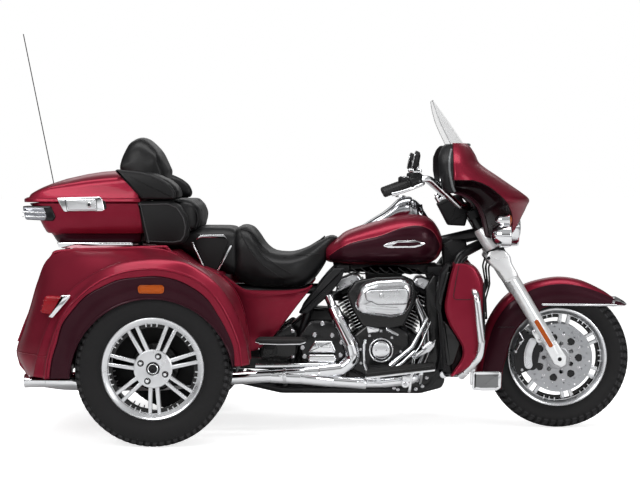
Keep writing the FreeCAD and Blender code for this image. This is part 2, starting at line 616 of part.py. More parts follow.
# ---- tank, seats, rider's area ---------------------------------------------------------------
TANK_ROWS = [                # station, low, high, half width
    (30, 712, 786, 120), (120, 700, 846, 165), (240, 700, 888, 184), (345, 700, 915, 190),
    (440, 702, 914, 180), (500, 722, 880, 150), (534, 752, 830, 105)]


def build_tank():
    """Fuel tank over the backbone, with a console along its top."""
    tail, middle = BACKBONE_END, axis_point((YOKE_LOW + YOKE_HIGH) / 2 - 4)
    tunnel = rod((tail[0] - 60, 0, tail[1] - 14), (middle[0], 0, middle[1]), BACKBONE_R + 2)
    slot = prism(sharp([(-20, 660), (620, 660), (620, 812), (-20, 690)]), "y", -BACKBONE_R - 2,
                 BACKBONE_R + 2)
    PARTS["fuel_tank"] = bent_box(TANK_ROWS, 70).cut([tunnel, slot, frame_tubes(STEP)[0]])
    console = prism([(96, 770, 0), (96, 812, 6), (176, 864, 30), (264, 915, 30), (304, 941, 20),
                     (334, 975, 24),
                     (387, 988, 24), (440, 955, 30), (493, 888, 12), (500, 850, 0)], "y", -46, 46)
    PARTS["tank_console"] = console.cut(bent_box(TANK_ROWS, 70, STEP))


SEAT_ROWS = [                # station, low, high, half width
    (70, 800, 826, 60), (44, 770, 832, 85), (8, 700, 812, 120), (-40, SEAT_BASE + 16, 772, 165),
    (-100, SEAT_BASE, 750, 200), (-185, SEAT_BASE, 750, 215), (-232, SEAT_BASE, 785, 215),
    (-270, SEAT_BASE, 850, 205), (-310, SEAT_BASE + 2, 876, 195), (-345, 640, 868, 180)]
PILLION_ROWS = [             # station, low, high, half width
    (-350, 652, 862, 175), (-400, 686, 862, 196), (-470, 697, 860, 205), (-540, 740, 860, 208),
    (-600, 776, 859, 205), (-690, 776, 859, 196)]


def trunk_outline(grow=0.0):
    """Side view of the trunk body between the fenders, swollen by grow."""
    return [(-396 + grow, 400 - grow, 0), (-396 + grow, 676 + grow, 20), (-470, 690 + grow, 30),
            (-585, 772 + grow, 20), (-1060, 772 + grow, 30), (-1098 - grow, 735, 30),
            (-1142 - grow, 640, 60),
            (-1212 - grow, 475, 80), (-1240 - grow, 400 - grow, 0)]


def build_seats():
    """Rider's seat and pillion seat."""
    under = prism(trunk_outline(STEP), "y", -BODY_HALF, BODY_HALF)
    tank_room = bent_box(TANK_ROWS, 70, STEP)
    PARTS["rider_seat"] = bent_box(SEAT_ROWS, 45).cut(under).cut(tank_room)
    PARTS["pillion_seat"] = bent_box(PILLION_ROWS, 40).cut(under)


COVER_OUTLINE = [(94, 700, 12), (36, 663, 10), (8, 646, 8), (-80, 500, 14), (-20, 512, 10), (70, 640, 10),
                 (112, 690, 10)]
LOWER_REAR = [(559, 256), (600, 330), (588, 384), (538, 466), (517, 524), (521, 566), (555, 721)]
LOWER_FRONT = [(629, 721, 20), (671, 675, 20), (688, 633, 30), (682, 524, 30), (678, 399, 20),
               (668, 344, 30),
               (600, 281, 20)]
GUARD_R = 16.0
GUARD_Y = 412.0
GUARD_PATH = [(548, RAIL_Y - 4, 600), (600, 260, 612), (648, GUARD_Y, 612), (671, GUARD_Y, 400),
              (664, GUARD_Y, 340), (600, 330, 262), (540, 200, 250), (524, RAIL_Y + 6, 262)]


def build_rider_area():
    """Frame covers, side panels, lower fairings, radiators and engine guard."""
    inner = RAIL_Y + STRUT_R + STEP
    PARTS["frame_covers"] = both(prism(COVER_OUTLINE, "y", inner, 192))
    panel = prism([(-396, 400, 0), (-396, 660, 10), (-314, 606, 12), (-133, 602, 20), (-30, 610, 8),
                   (-120, 500, 10), (-185, 417, 10), (-256, 355, 8)], "y", 218, 262)
    web = prism(sharp([(-396, 400), (-396, 590), (-260, 590), (-260, 400)]), "y", SEAT_RAIL_Y + 22, 219)
    PARTS["side_panels"] = both(panel.fuse(web))
    room = pipe(GUARD_PATH, GUARD_R + STEP, 50)
    PARTS["engine_guard"] = both(pipe(GUARD_PATH, GUARD_R, 50).cut(frame_tubes(STEP)))
    lower = prism(sharp(LOWER_REAR) + LOWER_FRONT, "y", 196, 390)
    PARTS["lower_fairings"] = both(lower.cut(room))
    radiator = prism(sharp(LOWER_REAR) + [(540, 719, 8), (507, 678, 10), (482, 543, 10), (499, 505, 10),
                                          (516, 275, 10)], "y", 204, 352)
    PARTS["radiators"] = both(radiator.cut(room))


def build_foot_controls():
    """Footboards with their brackets, the brake pedal and the heel and toe shifter."""
    board = prism([(194, 245, 6), (484, 279, 6), (487, 304, 8), (198, 270, 8)], "y", BOARD_IN, 398)
    arms = [pipe([(x, RAIL_Y, RAIL_Z), (x, BOARD_IN + 12, RAIL_Z), (x, BOARD_IN + 30, z)], 10, 30)
            for x, z in ((250, 262), (430, 282))]
    PARTS["rider_boards"] = both(board.fuse(arms).cut(frame_tubes(STEP)))
    pillion = prism([(-257, 388, 6), (-49, 388, 6), (-49, 410, 8), (-257, 410, 8)], "y", 280, 400)
    hanger = box((-252, -218), (262, 281), (392, 406))
    PARTS["pillion_boards"] = both(pillion.fuse(hanger))
    brake = pipe([(380, -RAIL_Y, RAIL_Z), (380, -259, RAIL_Z), (402, -259, 330), (450, -300, 374)], 6.5, 20)
    pad = leaned(box((425, 478), (-336, -272), (370, 384)), (450, 376), -35)
    pivot = rod((360, PRIMARY_Y, 322), (360, PRIMARY_Y + 30, 322), 11)
    toe = pipe([(360, PRIMARY_Y + 20, 322), (410, PRIMARY_Y + 30, 340), (452, 316, 372)], 7, 20)
    heel = pipe([(360, PRIMARY_Y + 20, 322), (300, PRIMARY_Y + 30, 334), (252, 316, 362)], 7, 20)
    toe_pad = rod((452, 300, 372), (452, 348, 372), 13)
    heel_pad = rod((252, 300, 362), (252, 348, 362), 13)
    PARTS["foot_controls"] = Part.makeCompound([brake.fuse(pad).cut(frame_tubes(STEP)),
                                                pivot.fuse([toe, heel, toe_pad, heel_pad])])


# ---- rear body -------------------------------------------------------------------------------
FENDER_ROWS = [              # offset from the wheel's middle, then (x, z) of seven outline points
    (-176, ((-1215, 262), (-1212, 470), (-1060, 772), (-860, 790), (-585, 772), (-350, 640), (-290, 330))),
    (-60, ((-1190, 265), (-1168, 490), (-1030, 752), (-840, 786), (-560, 765), (-345, 600), (-278, 330))),
    (60, ((-1130, 270), (-1092, 510), (-965, 700), (-790, 762), (-520, 742), (-325, 560), (-268, 330))),
    (126, ((-1085, 279), (-1033, 508), (-905, 665), (-720, 742), (-475, 720), (-312, 540), (-264, 330))),
    (136, ((-1075, 282), (-1024, 505), (-898, 657), (-720, 733), (-480, 711), (-320, 536), (-272, 333)))]


def fender_body(shrink):
    """Rear fender through its side outlines; shrink moves every outline towards the hub."""
    wires = []
    for index, (offset, points) in enumerate(FENDER_ROWS):
        y = REAR_HUB_Y + offset
        if shrink > 0 and index == 0:
            y -= 20
        if index >= len(FENDER_ROWS) - 2:
            y -= shrink
        placed = []
        for x, z in points:
            dx, dz = REAR_AXLE_X - x, REAR_TYRE_R + 120 - z
            far = math.hypot(dx, dz)
            placed.append(vector(x + dx / far * shrink, y, z + dz / far * shrink))
        if shrink > 0:
            placed[0].z -= 60
            placed[-1].z -= 130
        foot, rear, shoulder, crown, top, nose, toe = placed
        wires.append(Part.Wire([Part.Arc(foot, rear, shoulder).toShape(),
                                Part.Arc(shoulder, crown, top).toShape(),
                                Part.Arc(top, nose, toe).toShape(), Part.makeLine(toe, foot)]))
    return loft(wires)


DOOR_HALF = 330.0
DOOR_LOW = 436.0
DOOR_HIGH = 712.0
DOOR_GAP = 5.0
DOOR_T = 14.0
DOOR_HINGE = (-1234.0, 444.0)        # station and height of the trunk door's hinge line


def hinge(point, along_axis, places):
    """Lugs with pins for the fixed side, and bored knuckles beside them for the moving side."""
    lugs, knuckles = [], []
    step = {"x": (1, 0, 0), "y": (0, 1, 0)}[along_axis]
    for place in places:
        def at(offset):
            return tuple(value + unit * (place + offset) for value, unit in zip(point, step))
        lugs.append(rod(at(-10), at(10), 6))
        lugs.append(rod(at(-10), at(31), 4))
        knuckle = rod(at(11.5), at(31), 8)
        knuckles.append(knuckle.cut(rod(at(0), at(40), 4 + STEP)))
    return lugs, knuckles


def build_rear_body():
    """Trunk body with its door, rear fenders, valance, lamps."""
    inner = BODY_HALF - SKIN
    outer = prism(trunk_outline(), "y", -BODY_HALF, BODY_HALF)
    x_front = -396 - SKIN
    hollow = prism([(x_front, TRUNK_FLOOR, 0), (x_front, 670, 16), (-474, 684, 30), (-588, 766, 18),
                    (-1056, 766, 26),
                    (-1092, 733, 28), (-1136, 638, 58), (-1206, 473, 78), (-1221, TRUNK_FLOOR, 0)], "y",
                   -inner, inner)
    below = box((-1200, x_front), (-inner, inner), (380, TRUNK_FLOOR - SKIN))
    tunnel = rod((REAR_AXLE_X, -BODY_HALF - 1, REAR_TYRE_R), (REAR_AXLE_X, BODY_HALF + 1, REAR_TYRE_R), 105)
    mouth = box((-1300, -1060), (-DOOR_HALF, DOOR_HALF), (DOOR_LOW, DOOR_HIGH))
    lugs, knuckles = hinge((DOOR_HINGE[0], 0, DOOR_HINGE[1]), "y", (-200, 200))
    lug_feet = [prism([(-1216, 408, 0), (DOOR_HINGE[0] - 6, 420, 0), (DOOR_HINGE[0] - 6, DOOR_HINGE[1], 0),
                       (DOOR_HINGE[0] + 6, DOOR_HINGE[1], 0), (DOOR_HINGE[0] + 6, DOOR_LOW - 3, 0),
                       (-1216, 426, 0)],
                      "y", y - 10, y + 10) for y in (-200, 200)]
    PARTS["trunk_body"] = outer.cut(hollow).cut(below).cut(mouth).cut(tunnel).fuse(lugs + lug_feet)
    skin = outer.cut(prism(trunk_outline(-DOOR_T), "y", -BODY_HALF - 1, BODY_HALF + 1))
    door = skin.common(box((-1300, -1060), (DOOR_GAP - DOOR_HALF, DOOR_HALF - DOOR_GAP),
                           (DOOR_LOW + DOOR_GAP, DOOR_HIGH - DOOR_GAP)))
    straps = [box((DOOR_HINGE[0], -1206), (y - 10, y + 10), (DOOR_HINGE[1] + 1, DOOR_HINGE[1] + 7))
              for y in (-178.5, 221.5)]
    pins = [rod((DOOR_HINGE[0], y - 40, DOOR_HINGE[1]), (DOOR_HINGE[0], y + 40, DOOR_HINGE[1]), 4 + STEP)
            for y in (-200, 200)]
    PARTS["trunk_door"] = door.fuse(knuckles + straps).cut(pins)
    valance = prism([(-1241, 398, 0), (-1252, 322, 20), (-1239, 289, 12), (-1200, 262, 10), (-1180, 262, 0),
                     (-1180, 398, 0)], "y", -BODY_HALF, BODY_HALF)
    PARTS["valance"] = valance
    fender = fender_body(0).cut(fender_body(SKIN))
    arch = rod((REAR_AXLE_X, REAR_HUB_Y + 60, REAR_TYRE_R - ARCH_DROP), (REAR_AXLE_X, FENDER_OUT + 1,
               REAR_TYRE_R - ARCH_DROP), ARCH_R)
    low = box((-1400, 0), (300, 900), (0, 262))
    fender = fender.cut(arch).cut(low)
    fender = fender.cut(box((-1400, 0), (0, BODY_HALF), (0, 900)))
    PARTS["rear_fender_left"] = fender
    PARTS["rear_fender_right"] = mirrored(fender)
    lamp = prism([(-1108, 524, 14), (-1000, 524, 14), (-984, 605, 20), (-1090, 612, 20)], "y",
                 REAR_HUB_Y - 60,
                 REAR_HUB_Y + 70)
    PARTS["tail_lamps"] = both(lamp.cut(fender_body(-STEP)))


def build_axle():
    """Axle housing with its spindles, and the swing frame that carries it."""
    x, z = REAR_AXLE_X, REAR_TYRE_R
    housing = prism([(x - 95, z - 60, 40), (x + 20, z - 100, 60), (x + 120, z - 40, 30),
                     (x + 120, z + 50, 30),
                     (x + 20, z + 96, 60), (x - 95, z + 60, 40)], "y", -110, 110)
    beam = rod((x, -455, z), (x, 455, z), AXLE_TUBE_R)
    flanges = [rod((x, side * (REAR_HUB_Y - 132), z), (x, side * (REAR_HUB_Y - 117), z),
                   62) for side in (-1, 1)]
    spindle = rod((x, -REAR_HUB_Y - 46, z), (x, REAR_HUB_Y + 46, z), SPINDLE_R)
    PARTS["rear_axle"] = beam.fuse([housing, spindle] + flanges)
    inner = RAIL_Y + STRUT_R
    pieces = []
    for side in (-1, 1):
        span = sorted((side * inner, side * (inner + 40)))
        arm = prism([(PIVOT_X + 22, PIVOT_Z - 20, 18), (PIVOT_X + 22, PIVOT_Z + 20, 18), (-330, 318, 30),
                     (x + 20, z + 20, 0), (x + 20, z - 22, 0), (-330, 268, 30)], "y", *span)
        pieces.append(arm)
        pieces.append(box((x - 48, x + 48), span, (z - 46, z + 46)))
    brace = rod((-420, -inner - 4, 294), (-420, inner + 4, 294), 18)
    PARTS["swing_frame"] = brace.fuse(pieces).cut(rod((x, -400, z), (x, 400, z), AXLE_TUBE_R + STEP)) \
        .cut(rod((x, -REAR_HUB_Y, z), (x, REAR_HUB_Y, z), SPINDLE_R))


# ---- tour box --------------------------------------------------------------------------------
BOX_ROWS = [                 # height, rear station, front station, half width
    (BOX_FLOOR, -1110, -772, 292), (845, -1140, -752, 316), (890, -1158, -744, 328),
            (SEAM - LID_GAP, -1196, -738, BOX_HALF)]
LID_ROWS = [
    (SEAM, -1226, -738, BOX_HALF), (1010, -1212, -738, 326), (1040, -1160, -738, 312),
            (1070, -1072, -738, 285),
    (1090, -985, -738, 250), (1100, -900, -760, 190)]


def plan_body(rows, corner, shrink=0.0, low=0.0, high=0.0):
    """Body through plan outlines (height, rear, front, half width)."""
    wires = []
    for index, (height, rear, ahead, half) in enumerate(rows):
        if index == 0:
            height -= low
        if index == len(rows) - 1:
            height -= high
        rear, ahead, half = rear + shrink, ahead - shrink, half - shrink
        wires.append(wire([(rear, -half, corner), (ahead, -half, 12), (ahead, half, 12),
                           (rear, half, corner)],
                          PLACES["z"](height)))
    return loft(wires)


LID_HINGE = (BOX_HALF + 10.0, SEAM - 3.0)     # left of the box: the hinge line's Y and height
LID_HINGE_X = (-1040.0, -840.0)
AERIAL_Y = BOX_HALF + 42                    # outside the lid, clear of it when it is open


def build_tour_box():
    """Box, lid with backrest, rack, corner lamps, speaker pods, lumbar pad and aerial."""
    outer = plan_body(BOX_ROWS, 70)
    inner = plan_body([(BOX_FLOOR + SKIN,) + BOX_ROWS[0][1:]] + BOX_ROWS[1:], 64, SKIN, 0, -5)
    lugs, knuckles = hinge((0, LID_HINGE[0], LID_HINGE[1]), "x", LID_HINGE_X)
    brackets = [box((x - 10, x + 10), (BOX_HALF - 4, LID_HINGE[0] + 6), (LID_HINGE[1] - 14, LID_HINGE[1]))
                for x in LID_HINGE_X]
    PARTS["tour_box"] = outer.fuse(brackets + lugs).cut(inner)
    lid_inner = plan_body(LID_ROWS, 64, SKIN, 5, SKIN)
    straps = [box((x + 11.5, x + 31), (BOX_HALF - 4, LID_HINGE[0] + 1),
                  (LID_HINGE[1] + 3, LID_HINGE[1] + 12))
              for x in LID_HINGE_X]
    pins = [rod((x, LID_HINGE[0], LID_HINGE[1]), (x + 40, LID_HINGE[0], LID_HINGE[1]),
                4 + STEP) for x in LID_HINGE_X]
    PARTS["tour_lid"] = plan_body(LID_ROWS, 70).fuse(knuckles + straps).cut(lid_inner).cut(pins)
    pod = prism([(-772, 797, 0), (-738, SEAM - 6, 0), (-619, 977, 40), (-545, 913, 50), (-537, 849, 40),
                 (-560, 797, 20)],
                "y", 236, 334)
    PARTS["speaker_pods"] = both(pod.cut(plan_body(BOX_ROWS, 70, -STEP)))
    pad = prism([(-760, 862, 0), (-737, SEAM - 7, 0), (-540, 970, 30), (-478, 930, 30), (-462, 885, 20),
                 (-478, 862, 14)],
                "y", -230, 230)
    PARTS["lumbar_pad"] = pad.cut(plan_body(BOX_ROWS, 70, -STEP))
    arm = prism([(-737.5, 984, 0), (-737.5, 1096, 10), (-643, 1078, 20), (-547, 1057, 30), (-507, 1022, 20),
                 (-504, 984, 10)],
                "y", 205, 325)
    bridge = prism([(-737.5, 984, 0), (-737.5, 1100, 10), (-690, 1096, 10), (-672, 984, 10)], "y", -206,
                   206)
    upper = prism([(-737.5, 1060, 0), (-800, 1118, 0), (-842, 1112, 6), (-815, 1177, 20), (-788, 1231, 24),
                   (-758, 1244, 20), (-729, 1233, 24), (-686, 1183, 30), (-650, 1091, 20), (-672, 1060, 0)],
                  "y", -150, 150)
    upper = upper.cut(plan_body(LID_ROWS, 70, -STEP, 0, -STEP))
    PARTS["backrest"] = bridge.fuse([arm, mirrored(arm), upper])
    rails = []
    for side in (-270, 270):
        rails.append(box((-1085, -773), (side - 14, side + 14), (783, BOX_FLOOR)))
    for x in (-1060, -930, -800):
        rails.append(box((x - 14, x + 14), (-270, 270), (785, BOX_FLOOR)))
        for y in (-200, 200):
            rails.append(box((x - 12, x + 12), (y - 12, y + 12), (772, 786)))
    PARTS["tour_rack"] = rails[0].fuse(rails[1:]).cut(prism(trunk_outline(), "y", -BODY_HALF, BODY_HALF))
    lamp = prism([(-1220, 958, 6), (-1206, 900, 8), (-1091, 897, 8), (-1130, 958, 14)], "y", 236, 338)
    PARTS["corner_lamps"] = both(lamp.cut(plan_body(BOX_ROWS, 70, -STEP)))
    foot = (-1193, AERIAL_Y, 940)
    tip = (-1348, AERIAL_Y, 1718)
    mast = rod(foot, tip, 2.2)
    mount = rod((-1190, AERIAL_Y, 908), along(foot, tip, 0.05), 7)
    stay = box((-1198, -1165), (318, AERIAL_Y + 5), (908, 918))
    PARTS["aerial"] = mast.fuse([mount, stay]).cut(plan_body(BOX_ROWS, 70,
                                                             -STEP)).cut(PARTS["corner_lamps"])


def main():
    """Build every piece and write one STEP file for each."""
    os.makedirs("parts", exist_ok=True)
    build_wheels()
    build_fork()
    build_controls()
    build_fairing()
    build_lamps()
    build_frame()
    build_engine()
    build_tank()
    build_seats()
    build_rider_area()
    build_foot_controls()
    build_rear_body()
    build_axle()
    build_tour_box()
    for name, shape in PARTS.items():
        shape = shape.copy()
        shape.translate(vector(STATION_ZERO, 0, 0))
        shape.exportStep(os.path.join("parts", name + ".step"))
        print(name, len(shape.Solids), round(shape.Volume / 1e6, 3), shape.isValid())


main()
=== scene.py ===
"""Looks of the touring trike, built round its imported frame.

Sizes in the tables are millimetres. Stations (X) count from a datum 12 mm behind the middle of the
overall length, Y is to the rider's left and Z is up; a piece is turned into metres of the part's
frame when its mesh is made.
"""

import logging
import math
from collections.abc import Sequence
from dataclasses import dataclass, field
from enum import Enum

import bmesh
import bpy
import numpy as np
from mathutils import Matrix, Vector


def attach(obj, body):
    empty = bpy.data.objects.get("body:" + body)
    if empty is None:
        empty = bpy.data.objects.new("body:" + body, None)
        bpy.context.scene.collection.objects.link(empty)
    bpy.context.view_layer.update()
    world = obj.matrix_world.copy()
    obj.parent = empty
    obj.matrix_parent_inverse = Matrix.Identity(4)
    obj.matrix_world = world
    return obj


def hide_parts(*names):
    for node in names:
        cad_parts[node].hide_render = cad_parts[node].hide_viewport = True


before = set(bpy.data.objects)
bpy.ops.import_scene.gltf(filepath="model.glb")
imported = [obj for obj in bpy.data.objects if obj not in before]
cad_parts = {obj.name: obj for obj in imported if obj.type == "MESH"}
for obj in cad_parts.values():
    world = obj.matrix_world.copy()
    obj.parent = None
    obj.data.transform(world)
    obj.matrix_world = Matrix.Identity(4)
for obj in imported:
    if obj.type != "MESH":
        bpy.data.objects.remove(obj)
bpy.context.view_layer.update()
LOG = logging.getLogger("trike")
DATUM = np.array([12.0, 0.0, 0.0])
MM_PER_M = 1000.0
COAT_ROUGH = 0.04
CLOUD_SCALE = 9.0
CORNER_SHARE = 0.48
PLATE_TURNS = (0.0, 30.0, 60.0, 90.0)
Array = np.ndarray
Point = tuple[float, float, float]
Points = Sequence[tuple[float, ...]]


class Rides(str, Enum):
    """Bodies of the frame that a piece can move with."""

    CHASSIS = "chassis"
    STEERING = "steering"
    FRONT_WHEEL = "front_wheel"
    REAR_LEFT = "rear_wheel_left"
    REAR_RIGHT = "rear_wheel_right"
    LID = "tour_lid"
    DOOR = "trunk_door"


class Grain(Enum):
    """What breaks up a finish's surface."""

    SMOOTH = 0
    FLAKE = 1
    CAST = 2
    RUBBER = 3
    LEATHER = 4
    WRINKLE = 5
    FLUTED = 6


def add_node(tree: bpy.types.NodeTree, kind: str, sockets: dict[str | int, object],
        **settings: str) -> bpy.types.Node:
    """Add a shader node.

    Args: a socket that is given another node's output is linked to it, and any other value is set;
    settings are the node's own choices.
    Returns: the node.
    """
    node = tree.nodes.new(f"ShaderNode{kind}")
    for key, value in settings.items():
        setattr(node, key, value)
    for name, value in sockets.items():
        if isinstance(value, bpy.types.NodeSocket):
            tree.links.new(value, node.inputs[name])
        else:
            node.inputs[name].default_value = value
    return node


@dataclass(frozen=True)
class Finish:
    """A surface finish.

    Args: colour is linear; grain_mm is the size of the grain and depth_mm how far it stands out;
    mottle is the share by which the colour wanders; wander is the same for the roughness; clear is
    the share let through, shine the strength of a plain surface's reflection and body the share of
    light that a thin screen stops.
    """

    name: str
    slot: str
    colour: Point
    rough: float = 0.4
    metal: float = 0.0
    coat: float = 0.0
    grain: Grain = Grain.SMOOTH
    grain_mm: float = 1.0
    depth_mm: float = 0.0
    mottle: float = 0.05
    wander: float = 0.05
    clear: float = 0.0
    shine: float = 0.5
    body: float = 1.0

    def material(self) -> bpy.types.Material:
        """The finish's node material, made once.

        Returns: the material.
        """
        found = bpy.data.materials.get(self.name)
        if found:
            return found
        paint = bpy.data.materials.new(self.name)
        paint.use_nodes = True
        tree = paint.node_tree
        shader = tree.nodes["Principled BSDF"]
        for socket, value in (("Metallic", self.metal), ("Coat Weight", self.coat),
                ("Coat Roughness", COAT_ROUGH), ("Transmission Weight", self.clear),
                ("Roughness", self.rough), ("Specular IOR Level", self.shine), ("Alpha", self.body),
                ("Base Color", (*self.colour, 1.0))):
            shader.inputs[socket].default_value = value
        place = add_node(tree, "TexCoord", {}).outputs["Object"]
        self._wander(tree, shader, place)
        if self.depth_mm > 0.0:
            self._bump(tree, shader, place)
        return paint

    def _wander(self, tree: bpy.types.NodeTree, shader: bpy.types.Node, place: bpy.types.NodeSocket) -> None:
        """Let the colour and the roughness drift with a soft cloud of noise.

        Args: tree and shader are the material's and place gives the coordinates.
        """
        cloud = add_node(tree, "TexNoise", {"Vector": place, "Scale": CLOUD_SCALE,
            "Detail": 4.0}).outputs["Fac"]
        low, high = 1.0 - self.mottle, 1.0 + self.mottle
        dark = (*(min(1.0, c * low) for c in self.colour), 1.0)
        pale = (*(min(1.0, c * high + 0.1 * self.mottle * self.metal) for c in self.colour), 1.0)
        mix = add_node(tree, "Mix", {0: cloud, 6: dark, 7: pale}, data_type="RGBA")
        tree.links.new(mix.outputs[2], shader.inputs["Base Color"])
        span = add_node(tree, "MapRange", {"Value": cloud, "To Min": max(0.0, self.rough - self.wander),
            "To Max": min(1.0, self.rough + self.wander)})
        tree.links.new(span.outputs["Result"], shader.inputs["Roughness"])

    def _bump(self, tree: bpy.types.NodeTree, shader: bpy.types.Node, place: bpy.types.NodeSocket) -> None:
        """Raise the grain: cells for leather and wrinkles, upright streaks for fluted glass, else noise.

        Args: tree and shader are the material's and place gives the coordinates.
        """
        scale = MM_PER_M / self.grain_mm
        if self.grain in (Grain.LEATHER, Grain.WRINKLE):
            feature = "SMOOTH_F1" if self.grain is Grain.LEATHER else "F1"
            height = add_node(tree, "TexVoronoi", {"Vector": place, "Scale": scale},
                feature=feature).outputs["Distance"]
        else:
            detail = 3.0
            if self.grain is Grain.FLUTED:
                place = add_node(tree, "Mapping", {"Vector": place,
                    "Scale": (1.0, 1.0, 0.04)}).outputs["Vector"]
                detail = 2.0
            height = add_node(tree, "TexNoise", {"Vector": place, "Scale": scale,
                "Detail": detail}).outputs["Fac"]
        bump = add_node(tree, "Bump", {"Strength": 1.0, "Distance": self.depth_mm / MM_PER_M,
            "Height": height})
        tree.links.new(bump.outputs["Normal"], shader.inputs["Normal"])


RED = Finish("candy_red", "body_red", (0.225, 0.0085, 0.027), 0.36, 0.62, 0.12, Grain.FLAKE, 0.5, 0.006, 0.10,
    shine=0.15)
MAROON = Finish("deep_maroon", "body_red", (0.030, 0.003, 0.0085), 0.32, 0.35, 0.10, Grain.FLAKE, 0.5, 0.006,
    0.12, shine=0.12)
# Deep maroon darkened fivefold for the fairing's scoop: painted shade in the recess.
SCOOP_SHADE = Finish("scoop_maroon_painted_shade", "body_red", (0.006, 0.0010, 0.0020), 0.25, 0.0, 0.08, Grain.FLAKE, 0.5, 0.006,
    0.12, shine=0.12)
SILVER_GREY = Finish("trim_grey", "black_matte", (0.13, 0.135, 0.14), 0.38, 0.3, 0.1, Grain.CAST, 1.0, 0.01,
    0.1)
THREAD_RED = Finish("pinstripe_red", "body_red", (0.34, 0.02, 0.04), 0.3, 0.2, 0.6, Grain.CAST, 1.0, 0.005,
    0.1)
GLOSS_BLACK = Finish("gloss_black", "black_paint", (0.006, 0.006, 0.007), 0.16, 0.0, 0.2, Grain.CAST, 6.0,
    0.01, 0.2, shine=0.25)
SATIN_BLACK = Finish("satin_black", "black_matte", (0.009, 0.009, 0.0098), 0.44, 0.0, 0.0, Grain.CAST, 0.9,
    0.03, 0.2, shine=0.22)
FRAME_BLACK = Finish("frame_black", "black_paint", (0.008, 0.008, 0.009), 0.30, 0.0, 0.15, Grain.CAST, 3.0,
    0.03, 0.2, shine=0.3)
CHROME = Finish("bright_chrome", "chrome", (0.88, 0.89, 0.91), 0.07, 1.0, 0.0, Grain.CAST, 60.0, 0.02, 0.03,
    0.03)
SATIN_CHROME = Finish("satin_chrome", "chrome", (0.78, 0.79, 0.81), 0.24, 1.0, 0.0, Grain.CAST, 1.2, 0.012,
    0.05, 0.06)
POLISHED = Finish("polished_alloy", "chrome", (0.88, 0.89, 0.91), 0.16, 1.0, 0.0, Grain.CAST, 30.0, 0.02,
    0.04, 0.04)
SHADED_CHROME = Finish("shaded_chrome", "chrome", (0.42, 0.43, 0.45), 0.15, 1.0, 0.0, Grain.CAST, 40.0, 0.02,
    0.05, 0.04)
SILVER = Finish("machined_silver", "cast_silver", (0.76, 0.77, 0.79), 0.28, 0.95, 0.3, Grain.CAST, 1.0, 0.012,
    0.06, 0.08)
BARREL_BLACK = Finish("barrel_black", "black_paint", (0.006, 0.006, 0.0065), 0.26, 0.0, 0.25, Grain.CAST, 2.0,
    0.02, 0.2, shine=0.3)
DISC_STEEL = Finish("ground_steel", "steel", (0.43, 0.44, 0.46), 0.30, 0.9, 0.0, Grain.CAST, 0.7, 0.02, 0.08,
    0.08)
CARRIER_GREY = Finish("carrier_grey", "cast_silver", (0.42, 0.425, 0.44), 0.34, 0.85, 0.1, Grain.CAST, 1.0,
    0.012, 0.08)
SLIDER_GREY = Finish("slider_alloy", "cast_silver", (0.90, 0.91, 0.92), 0.28, 0.55, 0.2, Grain.CAST, 1.0,
    0.01, 0.05)
BOLT_STEEL = Finish("bolt_zinc", "steel", (0.55, 0.55, 0.57), 0.25, 1.0, 0.0, Grain.CAST, 0.5, 0.01, 0.08,
    0.08)
TYRE = Finish("tyre_rubber", "tyre", (0.0125, 0.0122, 0.0128), 0.6, 0.0, 0.0, Grain.RUBBER, 1.1, 0.05, 0.22,
    0.1, shine=0.18)
# Paler copy of the tyre rubber for the tread block tops: painted highlight, with the grooves left darker.
TREAD_HIGHLIGHT = Finish("tread_rubber", "tyre", (0.026, 0.0255, 0.027), 0.6, 0.0, 0.0, Grain.RUBBER, 1.1, 0.05, 0.15,
    0.1, shine=0.25)
RUBBER = Finish("black_rubber", "rubber", (0.009, 0.009, 0.009), 0.5, 0.0, 0.0, Grain.RUBBER, 0.8, 0.04, 0.2,
    shine=0.3)
LEATHER = Finish("seat_leather", "leather", (0.0068, 0.0068, 0.0073), 0.42, 0.0, 0.0, Grain.LEATHER, 2.2,
    0.10, 0.22, 0.08, shine=0.26)
POD_CLOTH = Finish("pod_vinyl", "black_matte", (0.0085, 0.0085, 0.009), 0.55, 0.0, 0.0, Grain.LEATHER, 1.6,
    0.12, 0.2, shine=0.2)
PIPING = Finish("seat_piping", "leather", (0.030, 0.030, 0.032), 0.42, 0.0, 0.0, Grain.LEATHER, 1.0, 0.03,
    0.2)
THREAD = Finish("grey_thread", "leather", (0.020, 0.020, 0.021), 0.6, 0.0, 0.0, Grain.RUBBER, 0.3, 0.03, 0.2,
    shine=0.15)
SCREEN = Finish("clear_screen", "clear", (0.42, 0.44, 0.45), 0.06, 0.0, 0.0, Grain.SMOOTH, 1.0, 0.0, 0.01,
    0.02, shine=0.4, body=0.13)
LAMP_GLASS = Finish("lamp_glass", "clear", (0.93, 0.95, 0.97), 0.08, 0.0, 0.2, Grain.FLUTED, 6.0, 0.3, 0.02,
    0.03, 0.8)
RED_LENS = Finish("red_lens", "lens_red", (0.30, 0.004, 0.011), 0.14, 0.0, 0.1, Grain.FLUTED, 7.0, 0.5, 0.1,
    0.04, shine=0.25)
AMBER_LENS = Finish("amber_lens", "lens_red", (0.42, 0.075, 0.004), 0.2, 0.0, 0.05, Grain.FLUTED, 3.0, 0.3,
    0.1, 0.04, shine=0.25)
SMOKE_LENS = Finish("smoke_lens", "clear", (0.26, 0.27, 0.30), 0.14, 0.45, 0.5, Grain.FLUTED, 8.0, 0.6, 0.25,
    0.06)
GRILLE_GREY = Finish("grille_grey", "steel", (0.24, 0.245, 0.25), 0.42, 0.6, 0.0, Grain.WRINKLE, 3.0, 0.3,
    0.2)
MIRROR = Finish("mirror_glass", "chrome", (0.85, 0.86, 0.87), 0.02, 1.0, 0.0, Grain.SMOOTH, 1.0, 0.0, 0.01,
    0.01)
DIAL = Finish("dial_face", "black_paint", (0.05, 0.05, 0.055), 0.4, 0.0, 0.4, Grain.CAST, 1.0, 0.01, 0.1)


